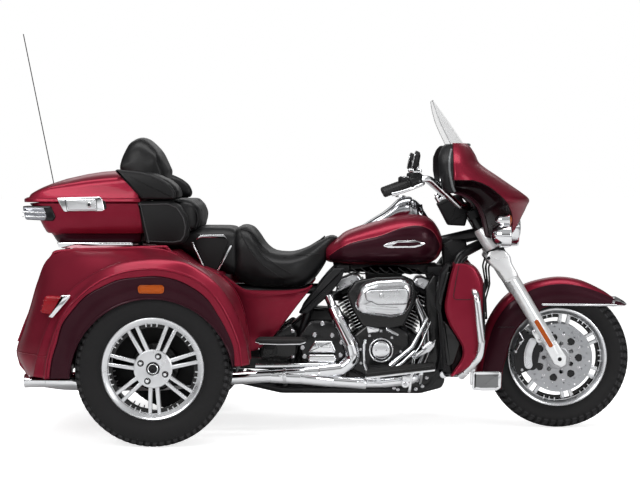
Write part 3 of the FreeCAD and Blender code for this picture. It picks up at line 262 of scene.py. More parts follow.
# ---- shapes --------------------------------------------------------------------------------------
@dataclass
class Shape:
    """Vertices in station millimetres with their faces."""

    verts: Array
    faces: list[list[int]]

    def mirrored(self) -> "Shape":
        """The twin on the other side of the middle plane."""
        return Shape(self.verts * np.array([1.0, -1.0, 1.0]), [face[::-1] for face in self.faces])

    def turned(self, centre: Point, axis: Point, degrees: float) -> "Shape":
        """The shape turned about a line through centre (Rodrigues' formula on whole arrays)."""
        return Shape(turn(self.verts, centre, axis, degrees), self.faces)

    def moved(self, x: float = 0.0, y: float = 0.0, z: float = 0.0) -> "Shape":
        """The shape pushed along."""
        return Shape(self.verts + np.array([x, y, z]), self.faces)

    def outward(self) -> "Shape":
        """The shape with its faces pointing out, judged by its signed volume.

        Returns: the shape, whose faces' fans of triangles sum to a positive volume.
        """
        total = 0.0
        by_size: dict[int, list[list[int]]] = {}
        for face in self.faces:
            by_size.setdefault(len(face), []).append(face)
        middle = self.verts.mean(axis=0)
        for size, faces in by_size.items():
            corners = self.verts[np.array(faces)] - middle
            for k in range(1, size - 1):
                total += float(np.einsum("ij,ij->i", corners[:, 0], np.cross(corners[:, k],
                    corners[:, k + 1])).sum())
        return self if total >= 0.0 else Shape(self.verts, [face[::-1] for face in self.faces])


def turn(points: Array, centre: tuple[float, ...], axis: tuple[float, ...], degrees: float) -> Array:
    """Points turned about a line: p cos a + (k x p) sin a + k (k.p)(1 - cos a), k the line's direction.

    Args: points end in an axis of three; centre is on the line and axis along it.
    Returns: the turned points.
    """
    k = np.array(axis, float) / np.linalg.norm(axis)
    p = np.asarray(points, float) - np.array(centre, float)
    c, s = math.cos(math.radians(degrees)), math.sin(math.radians(degrees))
    return p * c + np.cross(k, p) * s + np.outer(p @ k, k).reshape(p.shape) * (1.0 - c) + np.array(centre,
        float)


def joined(shapes: list[Shape]) -> Shape:
    """Several shapes as one.

    Args: shapes may differ in size.
    Returns: one shape, whose faces are numbered on.
    """
    verts, faces, base = [], [], 0
    for shape in shapes:
        verts.append(shape.verts)
        faces.extend([[i + base for i in face] for face in shape.faces])
        base += len(shape.verts)
    return Shape(np.concatenate(verts), faces)


def both(shape: Shape | list[Shape]) -> Shape:
    """A shape, or several as one, with its twin on the other side."""
    one = joined(shape) if isinstance(shape, list) else shape
    return joined([one, one.mirrored()])


def spline(points: Points | Array | list[Array], count: int) -> Array:
    """Catmull-Rom curve through points along the first axis, sampled evenly by index.

    Args: points has any trailing shape; count samples.
    Returns: with t the place inside a span, ((2b) + (c-a)t + (2a-5b+4c-d)t2 + (3b-a-3c+d)t3) / 2.
    """
    points = np.asarray(points, float)
    n = len(points)
    at = np.linspace(0, n - 1, count)
    i = np.minimum(np.floor(at).astype(int), n - 2)
    padded = np.concatenate([[2 * points[0] - points[1]], points, [2 * points[-1] - points[-2]]])
    a, b, c, d = (padded[i + k] for k in (0, 1, 2, 3))
    t = (at - i).reshape((-1,) + (1,) * (points.ndim - 1))
    return 0.5 * (2 * b + (c - a) * t + (2 * a - 5 * b + 4 * c - d) * t**2 + (3 * b - a - 3 * c + d) * t**3)


def circle(count: int) -> Array:
    """Angles spread evenly round a full turn, in radians."""
    return np.linspace(0, 2 * math.pi, count, endpoint=False)


def arc_points(centre: tuple[float, float], radius: float | Array, angle: Array) -> Array:
    """Points (a, b) on a circle: centre + radius (cos angle, sin angle)."""
    return np.stack([centre[0] + radius * np.cos(angle), centre[1] + radius * np.sin(angle)], 1)


def bowed(value: Array, power: float) -> Array:
    """Signed power: the value's sign times its size to the power."""
    return np.sign(value) * np.abs(value) ** power


def rounded(points: Points | Array, radius: float | list[float], steps: int = 5,
        closed: bool = True) -> Array:
    """Polyline with each corner replaced by a quadratic curve that starts radius / tan(half angle) before it.

    Args: points of any dimension; radius one value or one for each corner; steps spans in a corner.
    Returns: the curve's points.
    """
    points = np.asarray(points, float)
    n = len(points)
    radii = np.full(n, radius, float) if np.isscalar(radius) else np.asarray(radius, float)
    t = np.linspace(0, 1, steps + 1)[:, None]
    out = []
    for i in range(n):
        if (not closed and i in (0, n - 1)) or radii[i] <= 0:
            out.append(points[i][None])
            continue
        back, ahead = points[i - 1] - points[i], points[(i + 1) % n] - points[i]
        lb, la = np.linalg.norm(back), np.linalg.norm(ahead)
        cosine = float(np.clip(back @ ahead / (lb * la), -0.9999, 0.9999))
        half = math.acos(cosine) / 2
        reach = min(radii[i] / math.tan(half), CORNER_SHARE * lb, CORNER_SHARE * la)
        p, q = points[i] + back / lb * reach, points[i] + ahead / la * reach
        out.append((1 - t) ** 2 * p + 2 * t * (1 - t) * points[i] + t**2 * q)
    return np.concatenate(out)


def resampled(points: Array, count: int, closed: bool = False) -> Array:
    """Points spread evenly by length along a polyline.

    Args: count is how many points to give; closed joins the last point to the first.
    Returns: points (count, dimensions).
    """
    points = np.asarray(points, float)
    path = np.concatenate([points, points[:1]]) if closed else points
    length = np.concatenate([[0], np.cumsum(np.linalg.norm(np.diff(path, axis=0), axis=1))])
    at = np.linspace(0, length[-1], count, endpoint=not closed)
    return np.stack([np.interp(at, length, path[:, k]) for k in range(path.shape[1])], axis=1)


def sheet(points: Array | list[Array], wrap_rows: bool = False, wrap_cols: bool = False,
        caps: bool = False) -> Shape:
    """Quads over a grid of points (rows, columns, 3).

    Args: wrap_rows and wrap_cols join the last line to the first; caps closes both end rows with a
    flat face. Returns: the shape, faces outward when it is closed.
    """
    points = np.asarray(points, float)
    rows, cols = points.shape[:2]
    r = np.arange(rows if wrap_rows else rows - 1)
    c = np.arange(cols if wrap_cols else cols - 1)
    r0, c0 = (x.ravel() for x in np.meshgrid(r, c, indexing="ij"))
    r1, c1 = (r0 + 1) % rows, (c0 + 1) % cols
    quads = np.stack([r0 * cols + c0, r0 * cols + c1, r1 * cols + c1, r1 * cols + c0], axis=1).tolist()
    if caps:
        quads.append(list(range(cols))[::-1])
        quads.append(list(range((rows - 1) * cols, rows * cols)))
    shape = Shape(points.reshape(-1, 3), quads)
    return shape.outward() if caps or (wrap_rows and wrap_cols) else shape


def solid(rings: Array | list[Array]) -> Shape:
    """Closed body through rings of points, with a flat face at both ends."""
    return sheet(rings, wrap_cols=True, caps=True)


def spun(profile: Points | Array, centre: Point, axis: str = "y", count: int = 64,
        loop: bool = False) -> Shape:
    """Solid of turning: each profile point (along, radius) goes round the axis through centre.

    Args: axis is x, y or z; count is the number of facets; loop joins the profile's ends to a ring.
    Returns: the closed shape.
    """
    profile = np.asarray(profile, float)
    angle = circle(count)
    along, radius = np.repeat(profile[:, :1], count, 1), profile[:, 1:2]
    a, b = radius * np.cos(angle), radius * np.sin(angle)
    order = {"x": (along, a, b), "y": (a, along, b), "z": (a, b, along)}[axis]
    points = np.stack(order, axis=2) + np.array(centre, float)
    return sheet(points, wrap_rows=loop, wrap_cols=True, caps=not loop)


def frames(path: Array) -> tuple[Array, Array]:
    """Two unit directions across a path at each point, carried along without twist.

    Args: path holds points (count, 3).
    Returns: side and up, an array of directions each.
    """
    ahead = np.gradient(path, axis=0)
    ahead /= np.linalg.norm(ahead, axis=1)[:, None] + 1e-12
    first = np.cross(ahead[0], [0.0, 0.0, 1.0])
    if np.linalg.norm(first) < 0.1:
        first = np.cross(ahead[0], [0.0, 1.0, 0.0])
    side = [first / np.linalg.norm(first)]
    for direction in ahead[1:]:
        step = side[-1] - direction * (side[-1] @ direction)
        side.append(step / np.linalg.norm(step))
    side = np.array(side)
    return side, np.cross(ahead, side)


def tube(points: Points | Array, radius: float | Array, bend: float = 0.0, sides: int = 14, steps: int = 6,
        closed: bool = False) -> Shape:
    """Round bar along a path: centre + r (side cos a + up sin a), with its corners rounded by bend.

    Args: radius is one value or a list spread along the path; sides and steps are the facets round
    the bar and round a corner; closed joins the ends.
    Returns: the bar with flat ends, or a ring.
    """
    path = rounded(points, bend, steps, closed=False) if bend > 0 else np.asarray(points, float)
    side, up = frames(path)
    angle = circle(sides)
    r = np.full(len(path), radius, float) if np.isscalar(radius) else np.interp(np.linspace(0, 1, len(path)),
        np.linspace(0, 1, len(radius)), radius)
    ring = side[:, None] * np.cos(angle)[None, :, None] + up[:, None] * np.sin(angle)[None, :, None]
    return sheet(path[:, None] + ring * r[:, None, None], wrap_rows=closed, wrap_cols=True, caps=not closed)


def rod(start: tuple[float, ...], end: tuple[float, ...], radius: float, edge: float = 1.0,
        sides: int = 24) -> Shape:
    """Straight round bar whose ends have a small chamfer.

    Args: edge is the chamfer's size.
    Returns: the closed bar.
    """
    a, b = np.array(start, float), np.array(end, float)
    u = (b - a) / np.linalg.norm(b - a)
    return tube([a, a + u * edge, b - u * edge, b], [radius - edge, radius, radius, radius - edge],
        sides=sides)


def offset(outline: Array, distance: float) -> Array:
    """Closed flat outline with every point moved along its normal, inward for a positive distance.

    Args: outline holds points (count, 2) in either sense.
    Returns: the moved outline.
    """
    ahead = np.roll(outline, -1, 0) - np.roll(outline, 1, 0)
    normal = np.stack([-ahead[:, 1], ahead[:, 0]], 1)
    normal /= np.linalg.norm(normal, axis=1)[:, None] + 1e-12
    x, y = outline[:, 0], outline[:, 1]
    area = 0.5 * float(np.sum(x * np.roll(y, -1) - np.roll(x, -1) * y))
    return outline + normal * distance * (1.0 if area > 0 else -1.0)


def lift(flat: Array, height: float | Array, axis: str = "y") -> Array:
    """Flat points (a, b) set at a height along an axis; (a, b) are (x, z) for y, (y, z) for x, (x, y) for z.

    Args: height is one value or one for each point.
    Returns: points with three coordinates.
    """
    h = np.broadcast_to(np.asarray(height, float), flat.shape[:-1])
    order = {"x": (h, flat[..., 0], flat[..., 1]), "y": (flat[..., 0], h, flat[..., 1]),
        "z": (flat[..., 0], flat[..., 1], h)}[axis]
    return np.stack(order, axis=-1)


def plate(outline: Points | Array, low: float, high: float, edge: float = 2.0,
        radius: float | list[float] = 0.0, axis: str = "y", steps: int = 5) -> Shape:
    """Plate with rounded edges: the outline's offsets follow a quarter circle at both faces.

    Args: outline in the plane across the axis; low and high are the faces' places, in either order;
    edge is the edges' radius and radius that of the outline's corners, each of steps spans.
    Returns: the closed plate.
    """
    low, high = sorted((low, high))
    flat = rounded(outline, radius,
        steps) if not (np.isscalar(radius) and radius == 0) else np.asarray(outline, float)
    edge = min(edge, 0.49 * abs(high - low))
    rings = []
    for face, way, turns in ((low, 1, PLATE_TURNS[::-1]), (high, -1, PLATE_TURNS)):
        for angle in np.radians(turns):
            rings.append(lift(offset(flat, edge * (1 - math.cos(angle))),
                face + way * edge * (1 - math.sin(angle)), axis))
    return solid(rings)


def block(x: tuple[float, float], y: tuple[float, float], z: tuple[float, float], edge: float = 2.0) -> Shape:
    """Box with rounded edges."""
    flat = [(x[0], z[0]), (x[1], z[0]), (x[1], z[1]), (x[0], z[1])]
    return plate(flat, y[0], y[1], edge, radius=edge * 1.5, steps=3)


def studs(places: Array, direction: tuple[float, ...], radius: float, height: float, sides: int = 6,
        dome: float = 0.25) -> Shape:
    """Many small bolt heads at once: one head's points added to every place by broadcasting.

    Args: places are the middles of the seats; height goes along direction; dome is the share of the
    head that its rounded edge takes.
    Returns: all heads as one shape.
    """
    u = np.array(direction, float) / np.linalg.norm(direction)
    side = np.cross(u, [0.0, 0.0, 1.0] if abs(u[2]) < 0.9 else [1.0, 0.0, 0.0])
    side /= np.linalg.norm(side)
    up = np.cross(u, side)
    angle = circle(sides)
    ring = side * np.cos(angle)[:, None] + up * np.sin(angle)[:, None]
    levels = [(0.0, 1.0), (1.0 - dome, 1.0), (1.0, 1.0 - dome)]
    head = np.concatenate([ring * radius * r + u * height * h for h, r in levels])
    places = np.asarray(places, float).reshape(-1, 3)
    verts = (places[:, None] + head[None]).reshape(-1, 3)
    one = []
    for level in (0, 1):
        one += [[level * sides + i, level * sides + (i + 1) % sides, (level + 1) * sides + (i + 1) % sides,
            (level + 1) * sides + i] for i in range(sides)]
    one.append([2 * sides + i for i in range(sides)])
    one.append(list(range(sides))[::-1])
    test = Shape(head, one).outward().faces
    faces = [[i + k * len(head) for i in face] for k in range(len(places)) for face in test]
    return Shape(verts, faces)


def ring_places(centre: Point, radius: float, angles: Array | list[float]) -> Array:
    """Points on a circle in the plane of X and Z, angles in degrees from +X towards +Z."""
    a = np.radians(np.asarray(angles, float))
    return np.array(centre) + np.stack([radius * np.cos(a), np.zeros_like(a), radius * np.sin(a)], 1)


def made(name: str, shape: Shape | list[Shape], finish: Finish, body: Rides = Rides.CHASSIS,
        stands: tuple[str, ...] = (), sharp: float = 38.0, weld: bool = False) -> bpy.types.Object:
    """Turn a shape into a smooth-shaded piece that rides on a body.

    Args: name of the piece; shape or shapes in station millimetres; finish; body; stands are the
    CAD nodes it stands in for; sharp is the angle in degrees past which an edge stays sharp; weld
    merges doubled points and turns the faces outward.
    Returns: the piece.
    """
    if isinstance(shape, list):
        shape = joined(shape)
    mesh = bpy.data.meshes.new(name)
    mesh.from_pydata(((shape.verts + DATUM) / MM_PER_M).tolist(), [], shape.faces)
    if weld:
        work = bmesh.new()
        work.from_mesh(mesh)
        bmesh.ops.remove_doubles(work, verts=work.verts, dist=1e-5)
        bmesh.ops.recalc_face_normals(work, faces=work.faces)
        work.to_mesh(mesh)
        work.free()
    mesh.update()
    mesh.polygons.foreach_set("use_smooth", np.ones(len(mesh.polygons), bool))
    mesh.set_sharp_from_angle(angle=math.radians(sharp))
    mesh.materials.append(finish.material())
    piece = bpy.data.objects.new(name, mesh)
    bpy.context.scene.collection.objects.link(piece)
    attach(piece, body.value)
    if stands:
        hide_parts(*stands)
    LOG.info("%s: %d faces on %s", name, len(mesh.polygons), body.value)
    return piece


def steered(name: str, shape: Shape | list[Shape], finish: Finish, stands: tuple[str, ...] = (),
        sharp: float = 38.0) -> bpy.types.Object:
    """Make a piece that turns with the handlebar; the arguments are those of made()."""
    return made(name, shape, finish, Rides.STEERING, stands, sharp)


def walled(piece: bpy.types.Object, thick_mm: float, side: float = -1.0) -> bpy.types.Object:
    """Give an open sheet a wall, inward when side is -1.

    Args: thick_mm is the wall's thickness.
    Returns: the piece itself.
    """
    wall = piece.modifiers.new("wall", "SOLIDIFY")
    wall.thickness = thick_mm / MM_PER_M
    wall.offset = side
    return piece


def dress(node: str, finish: Finish) -> None:
    """Give a CAD node that stays in view a finish.

    Args: node is a name in the frame.
    """
    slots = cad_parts[node].data.materials
    slots.clear()
    slots.append(finish.material())


# ---- wheels --------------------------------------------------------------------------------------
@dataclass
class Wheel:
    """A tyre with its tread on a cast wheel with paired spokes.

    Args: wall holds (half width, radius) from the rim to the crown; grooves are the offsets of the
    grooves that run round, sipes is how many cuts cross each shoulder, phase the first spoke pair's
    angle and outer the side to which the spokes bow.
    """

    name: str
    body: Rides
    x: float
    y: float
    z: float
    wall: Points
    lip_r: float
    rim_half: float
    grooves: tuple[float, ...]
    sipes: int
    shoulder: float
    phase: float
    outer: float = 1.0
    spoke_in: float = 46.0
    spoke_face: tuple[float, float] = (-16.0, 16.0)
    tread_in: float = 28.0
    pairs: int = 7
    turns: int = 560
    groove_in: float = 6.0
    sipe_in: float = 8.0
    notch_in: float = 3.0
    flutes: int = 120

    def centre(self) -> Point:
        """The wheel's middle."""
        return self.x, self.y, self.z

    def tyre(self) -> tuple[Shape, Array]:
        """Tyre surface r(angle, v): the section's radius less the depth of grooves and sipes.

        Returns: a closed ring, and for each of its faces whether it tops a tread block, which gets the
        paler tread rubber as a painted highlight; a groove takes groove_in within 3 mm of its line, and a
        sipe takes sipe_in across the shoulder where the wave of angle plus slant is high.
        """
        upper = np.array(self.wall, float)
        section = np.concatenate([upper * [-1, 1], upper[::-1][1:]])
        section = spline(section, 86)
        wall = 9.0
        bead = upper[0]
        closing = np.array([(bead[0] - 4, self.lip_r - 11), (wall - bead[0], self.lip_r - 11)]) * [1, 1]
        closing[1, 0] = -(bead[0] - 4)
        section = np.concatenate([section, closing])
        v, r = section[:, 0], section[:, 1]
        angle = circle(self.turns)
        reach = r.max()
        crown = np.clip((r - (reach - self.tread_in)) / 6, 0, 1)
        depth = np.zeros((self.turns, len(v)))
        for groove in self.grooves:
            depth = np.maximum(depth, (self.groove_in * np.clip(1.4 - np.abs(v - groove) / 2.6, 0, 1))[None])
        slant = np.abs(v) / 26.0
        wave = np.cos(self.sipes * angle[:, None] + slant[None] * 2.2 * np.sign(v)[None])
        cut = np.clip((wave - 0.55) / 0.1, 0, 1) * np.clip((np.abs(v) - self.shoulder) / 3.0, 0, 1)[None]
        inner = np.clip((np.cos(self.sipes * angle[:, None] + 2.4) - 0.93) / 0.05, 0, 1)
        depth = np.maximum(depth, self.sipe_in * cut) * crown[None]
        depth = np.maximum(depth, self.notch_in * inner * crown[None] * (np.abs(v) < self.shoulder - 4)[None])
        mid = (self.lip_r + reach) / 2
        ribs = 0.5 * (np.abs(r - mid - 3) < 11)[None] * (np.cos(self.flutes * angle[:, None]) > 0)
        side = np.sign(v)[None] * (np.abs(v) > self.rim_half - 4)[None]
        radius = r[None] - depth
        y = v[None] + ribs * side * 0.9
        points = np.stack([radius * np.cos(angle)[:, None], np.broadcast_to(y, radius.shape),
            radius * np.sin(angle)[:, None]], 2) + np.array(self.centre())
        raised = ((crown > 0.5)[None] & (depth < 1.0)).ravel()
        shape = sheet(points, wrap_rows=True, wrap_cols=True)
        return shape, raised[np.array(shape.faces)].all(1)

    def bead_rings(self) -> list[Shape]:
        """Raised rings round both sidewalls, at three heights.

        Returns: rings that stand 1 to 1.6 mm proud of the rubber.
        """
        wall = np.array(self.wall, float)
        rings = []
        for share, size in ((0.10, 1.6), (0.52, 1.3), (0.68, 1.0)):
            at = spline(wall, 60)[int(share * 59)]
            for sign in (-1, 1):
                loop = [(sign * at[0] - size, at[1] - size), (sign * at[0] + size, at[1] - size),
                    (sign * at[0] + size, at[1] + size), (sign * at[0] - size, at[1] + size)]
                rings.append(spun(loop, self.centre(), count=120, loop=True))
        return rings

    def barrel(self) -> Shape:
        """Black barrel between the lips, a thin closed ring with a curved web between the spoke pairs.

        Returns: the ring and its webs as one shape.
        """
        h, r = self.rim_half, self.lip_r
        loop = [(-h + 4, r - 15), (-h + 4, r - 12), (h - 4, r - 12), (h - 4, r - 22), (h - 16, r - 25),
            (0, r - 26), (16 - h, r - 25), (-h + 8, r - 21)]
        mid = sum(self.spoke_face) / 2
        turn_of = np.radians(np.linspace(9, 360 / self.pairs - 9, 14))
        arcs = np.concatenate([arc_points((0, 0), k, way) for k, way in ((r - 23, turn_of),
            (r - 44, turn_of[::-1]))])
        web = plate(arcs, mid - 8, mid + 8, 1.5).moved(*self.centre())
        webs = [web.turned(self.centre(), (0, 1, 0), -self.phase - 360 / self.pairs * k)
            for k in range(self.pairs)]
        return joined([spun(loop, self.centre(), count=128, loop=True)] + webs)

    def lips(self) -> list[Shape]:
        """Machined lip on each side: a rolled edge that flares in to the barrel.

        Returns: a lip and a step for each side.
        """
        h, r = self.rim_half, self.lip_r
        loop = rounded([(h - 7, r - 9), (h - 5.5, r + 0.5), (h, r), (h + 1.5, r - 5), (h - 1, r - 11),
            (h - 10, r - 24), (h - 17, r - 25), (h - 13, r - 17)], 2.0, 4)
        step = np.array([(h - 19, r - 25), (h - 19, r - 27.6), (h - 21.5, r - 27.6), (h - 21.5, r - 25)])
        return [spun(line * [sign, 1], self.centre(), count=160, loop=True) for line in (loop, step)
            for sign in (1, -1)]

    def spokes(self) -> list[Shape]:
        """Spoke pairs: rounded-section bars from hub to barrel that draw apart and bow outward.

        Returns: bars whose section at share s of the way out is 17.6 - 2s wide, offset 12 + 7s.
        """
        bars = []
        low, high = self.spoke_face
        s = np.linspace(0, 1, 9)
        radial = self.spoke_in - 6 + s * (self.lip_r - 20 - self.spoke_in + 6)
        square = rounded([(-1, -1), (1, -1), (1, 1), (-1, 1)], 0.45, 3)
        for index in range(self.pairs):
            angle = self.phase + 360.0 / self.pairs * index
            for sign in (-1, 1):
                across = sign * (12 + 7 * s)
                half = (8.8 - 1.0 * s)[:, None] * square[:, 0][None]
                crown = 5 * np.sin(math.pi * s) * self.outer
                depth = ((high - low) / 2 - 3 * s)[:, None] * square[:, 1][None] + (high + low) / 2 + crown[:,
                    None]
                points = np.stack([np.broadcast_to(radial[:, None], half.shape), depth,
                    across[:, None] + half], 2)
                bar = solid(points + np.array(self.centre()))
                bars.append(bar.turned(self.centre(), (0, 1, 0), -angle))
        return bars

    def ticks(self) -> Shape:
        """Small cast ribs inside the lip, between the spokes.

        Returns: all ribs as one shape.
        """
        angles = [self.phase + 360 / self.pairs * (k + share) for k in range(self.pairs)
            for share in (0.36, 0.5, 0.64)]
        bars = []
        for angle in angles:
            for end in (-1, 1):
                bar = block((self.lip_r - 38, self.lip_r - 24), (end * (self.rim_half - 22),
                    end * (self.rim_half - 7)), (-2.4, 2.4), 1)
                bars.append(bar.moved(*self.centre()).turned(self.centre(), (0, 1, 0), -angle))
        return joined(bars)

    def build(self) -> None:
        """Make the tyre, barrel, lips and spokes."""
        tag = self.name
        surface, blocks = self.tyre()
        tyre = made(f"{tag}_tyre_tread", surface, TYRE, self.body, (f"{tag.replace('wheel', 'tyre')}",),
            sharp=30)
        # Faces that top a tread block get the paler rubber: a painted highlight on the block tops.
        tyre.data.materials.append(TREAD_HIGHLIGHT.material())
        tyre.data.polygons.foreach_set("material_index", blocks.astype(np.int32))
        made(f"{tag}_tyre_rings", self.bead_rings(), TYRE, self.body)
        made(f"{tag}_barrel", self.barrel(), BARREL_BLACK, self.body, (f"{tag.replace('wheel', 'rim')}",))
        made(f"{tag}_lips", self.lips(), SILVER, self.body)
        made(f"{tag}_spokes", self.spokes(), SILVER, self.body)
        made(f"{tag}_ribs", self.ticks(), SILVER, self.body)


@dataclass
class Wheels:
    """The three wheels with hubs, nuts, caps and front discs."""

    front_x: float = 1019.0
    front_z: float = 305.0
    rear_x: float = -651.0
    rear_y: float = 572.0
    rear_z: float = 313.0
    disc_r: float = 146.0
    disc_y: float = 70.5

    def build(self) -> None:
        """Build every wheel."""
        front = Wheel("front_wheel", Rides.FRONT_WHEEL, self.front_x, 0.0, self.front_z,
            [(41, 207), (49, 216), (60, 232), (66.5, 250), (67, 268), (62, 284), (50, 295), (32, 301.8),
            (14, 304.5), (0, 305)], 212.0, 45.0, (-18.0, 18.0), 56, 22.0, 79.0, 0.0, 44.0, (-14.0, 14.0),
            42.0)
        front.build()
        self.front_hub()
        for side, body in ((-1, Rides.REAR_RIGHT), (1, Rides.REAR_LEFT)):
            tag = "rear_wheel_right" if side < 0 else "rear_wheel_left"
            wheel = RearWheel(tag, body, self.rear_x, side * self.rear_y, self.rear_z,
                [(73, 203), (87, 212), (99, 230), (104, 252), (105, 274), (103, 293), (96, 305), (82, 310.5),
                (46, 312.8), (0, 313)], 207.0, 78.0, (-44.0, 0.0, 44.0), 66, 62.0, 66.0, float(side), 52.0,
                (36.0, 60.0) if side > 0 else (-60.0, -36.0))
            wheel.build()
            wheel.hub(side)

    def front_hub(self) -> None:
        """Hub drum, floating discs with drilled rows and drive pins, and black rings behind the carriers that
        paint the shade seen through their windows.
        """
        centre = (self.front_x, 0.0, self.front_z)
        hub = spun(rounded([(-45, 20), (-45, 44), (-30, 46), (-18, 38), (18, 38), (30, 46), (45, 44),
            (45, 20)], 3, 3), centre, count=64, loop=True)
        made("front_wheel_hub", hub, SILVER, Rides.FRONT_WHEEL)
        discs, carriers, pins, holes = [], [], [], []
        holes_at = ((110, 14, 0.0, 3.6), (122, 14, 0.17, 3.6), (134, 14, 0.34, 3.6))
        for side in (-1, 1):
            y = side * self.disc_y
            at = (self.front_x, y, self.front_z)
            discs.append(self.drilled(at, (102, self.disc_r), 2.5, holes_at))
            carriers.append(self.carrier(at, side))
            pins.append(studs(ring_places((at[0], y + side * 2.0, at[2]), 99,
                np.arange(0, 360, 51.43) + 25.7), (0, side, 0), 6.5, 3.5, 16, 0.3))
            holes.append(studs(ring_places((at[0], y + side * 1.6, at[2]), 52, np.arange(0, 360, 72)),
                (0, side, 0), 5.5, 6.0, 6))
        made("front_discs", discs, DISC_STEEL, Rides.FRONT_WHEEL, ("front_brake_discs",))
        made("disc_carriers", carriers, CARRIER_GREY, Rides.FRONT_WHEEL)
        made("disc_pins", pins, BOLT_STEEL, Rides.FRONT_WHEEL)
        made("disc_bolts", holes, BOLT_STEEL, Rides.FRONT_WHEEL)
        # Black rings just inboard of the carriers: painted shade, seen through the carriers' windows and the
        # discs' holes.
        shade_rings = [spun([(side * 60, 78), (side * 60, 103), (side * 64, 103), (side * 64, 78)], centre,
            count=72, loop=True) for side in (-1, 1)]
        made("disc_painted_shade_rings", shade_rings, BARREL_BLACK, Rides.FRONT_WHEEL)

    @staticmethod
    def drilled(centre: Point, span: tuple[float, float], half: float, holes: tuple[tuple[float, int, float,
            float], ...]) -> Shape:
        """Flat ring with round holes: a polar grid with the cells of the holes left out.

        Args: span is the inner and outer radius, half the half thickness and holes rows of (ring
        radius, count, phase, radius).
        Returns: both faces and every hole's wall, made by keeping cells whose middle is further
        than the hole's radius from all hole centres.
        """
        turns, rows = 420, 30
        radius = np.linspace(*span, rows)
        angle = circle(turns)
        mid_r = (radius[:-1] + radius[1:]) / 2
        mid_a = angle + math.pi / turns
        keep = np.ones((turns, rows - 1), bool)
        for r0, count, phase, size in holes:
            hole = phase + circle(count)
            gap = np.abs((mid_a[:, None] - hole[None] + math.pi) % (2 * math.pi) - math.pi).min(1)
            keep &= np.hypot(mid_r[None] - r0, gap[:, None] * r0) > size
        grid = np.stack(np.broadcast_arrays(radius[None] * np.cos(angle)[:, None], 0.0,
            radius[None] * np.sin(angle)[:, None]), 2)
        t, r = np.nonzero(keep)
        t1 = (t + 1) % turns
        top = np.stack([t * rows + r, t1 * rows + r, t1 * rows + r + 1, t * rows + r + 1], 1)
        base = turns * rows
        faces = top.tolist() + (top[:, ::-1] + base).tolist()
        around = np.zeros((turns, rows + 1), bool)
        around[:, 1:-1] = keep
        for dt, dr, a, b in ((0, -1, (0, 0), (1, 0)), (0, 1, (1, 1), (0, 1)), (1, 0, (1, 0), (1, 1)),
                (-1, 0, (0, 1), (0, 0))):
            other = around[(t + dt) % turns, r + 1 + dr]
            tt, rr = t[~other], r[~other]
            i = ((tt + a[0]) % turns) * rows + rr + a[1]
            j = ((tt + b[0]) % turns) * rows + rr + b[1]
            faces += np.stack([j, i, i + base, j + base], 1).tolist()
        flat = grid.reshape(-1, 3)
        verts = np.concatenate([flat + [0, half, 0], flat - [0, half, 0]]) + np.array(centre)
        return Shape(verts, faces).outward()

    def carrier(self, centre: Point, side: int) -> Shape:
        """Carrier with seven windows and seven slots between hub and brake ring, on a cup round the hub.

        Args: centre is the disc's middle; side is 1 on the left and -1 on the right.
        Returns: disc, cup and boss as one shape.
        """
        ring = self.drilled(centre, (22, 104), 2.2, ((87, 7, 0.0, 16.5), (61, 7, math.pi / 7, 9.5)))
        inside = (centre[0], side * 57.0, centre[2])
        cup = spun([(-11, 22), (-11, 44), (11, 44), (11, 22)], inside, count=64, loop=True)
        boss = spun([(15, 24), (15, 50), (19, 48), (20, 44), (23, 43), (23, 24)] * np.array([side, 1]),
            inside, count=64, loop=True)
        return joined([ring, cup, boss])


@dataclass
class RearWheel(Wheel):
    """A rear wheel: its hub disc, four nuts and a plain cap."""

    def hub(self, side: int) -> None:
        """Hub with a flat machined face, nuts in recesses and a cap.

        Args: side is 1 for the left wheel and -1 for the right one.
        """
        centre = self.centre()
        face = rounded([(-20, 34), (-20, 56), (20, 60), (44, 66), (58, 77), (66, 78), (68, 74), (68, 27),
            (50, 27), (50, 30), (10, 34)], 1.5, 3)
        made(f"{self.name}_hub", spun(face * [side, 1], centre, count=96, loop=True), SILVER, self.body)
        cap = rounded([(46, 0.5), (60, 26), (70, 26), (73, 22), (74, 13), (71, 12), (70.5, 0.5)], 0.8, 3)
        made(f"{self.name}_cap", spun(cap * [side, 1], centre, count=64), GLOSS_BLACK, self.body)
        ring = rounded([(70, 15), (72.5, 16), (74.5, 19), (72.5, 22), (70, 23)], 1, 3)
        made(f"{self.name}_cap_ring", spun(ring * [side, 1], centre, count=64, loop=True), CHROME, self.body)
        at = (centre[0], centre[1] + side * 67.6, centre[2])
        places = ring_places(at, 54, [66, 156, 246, 336])
        made(f"{self.name}_nut_wells", studs(places, (0, side, 0), 13.5, 1.2, 28, 0.2), FRAME_BLACK,
            self.body)
        made(f"{self.name}_nuts", studs(places, (0, side, 0), 9.5, 8.0, 6, 0.35), CHROME, self.body)
        drum = spun(rounded([(-60, 40), (-60, 97), (-36, 99), (-30, 92), (-30, 40)], 2, 3) * [side, 1],
            centre, count=72, loop=True)
        made(f"{self.name}_brake", drum, BARREL_BLACK)


# ---- rear body -----------------------------------------------------------------------------------
def curves(rows: list[tuple[float, Points]], controls: int, count: int, across: int) -> Array:
    """Grid through side-view curves at given offsets.

    Args: rows hold (y, [(x, z), ...]); each is spread evenly over controls points, splined to count
    and the rows are splined to across lines, so a row given twice makes a crease.
    Returns: points (across, count, 3).
    """
    grid = []
    for y, points in rows:
        line = spline(resampled(points, controls), count)
        grid.append(lift(line, y))
    return spline(grid, across)


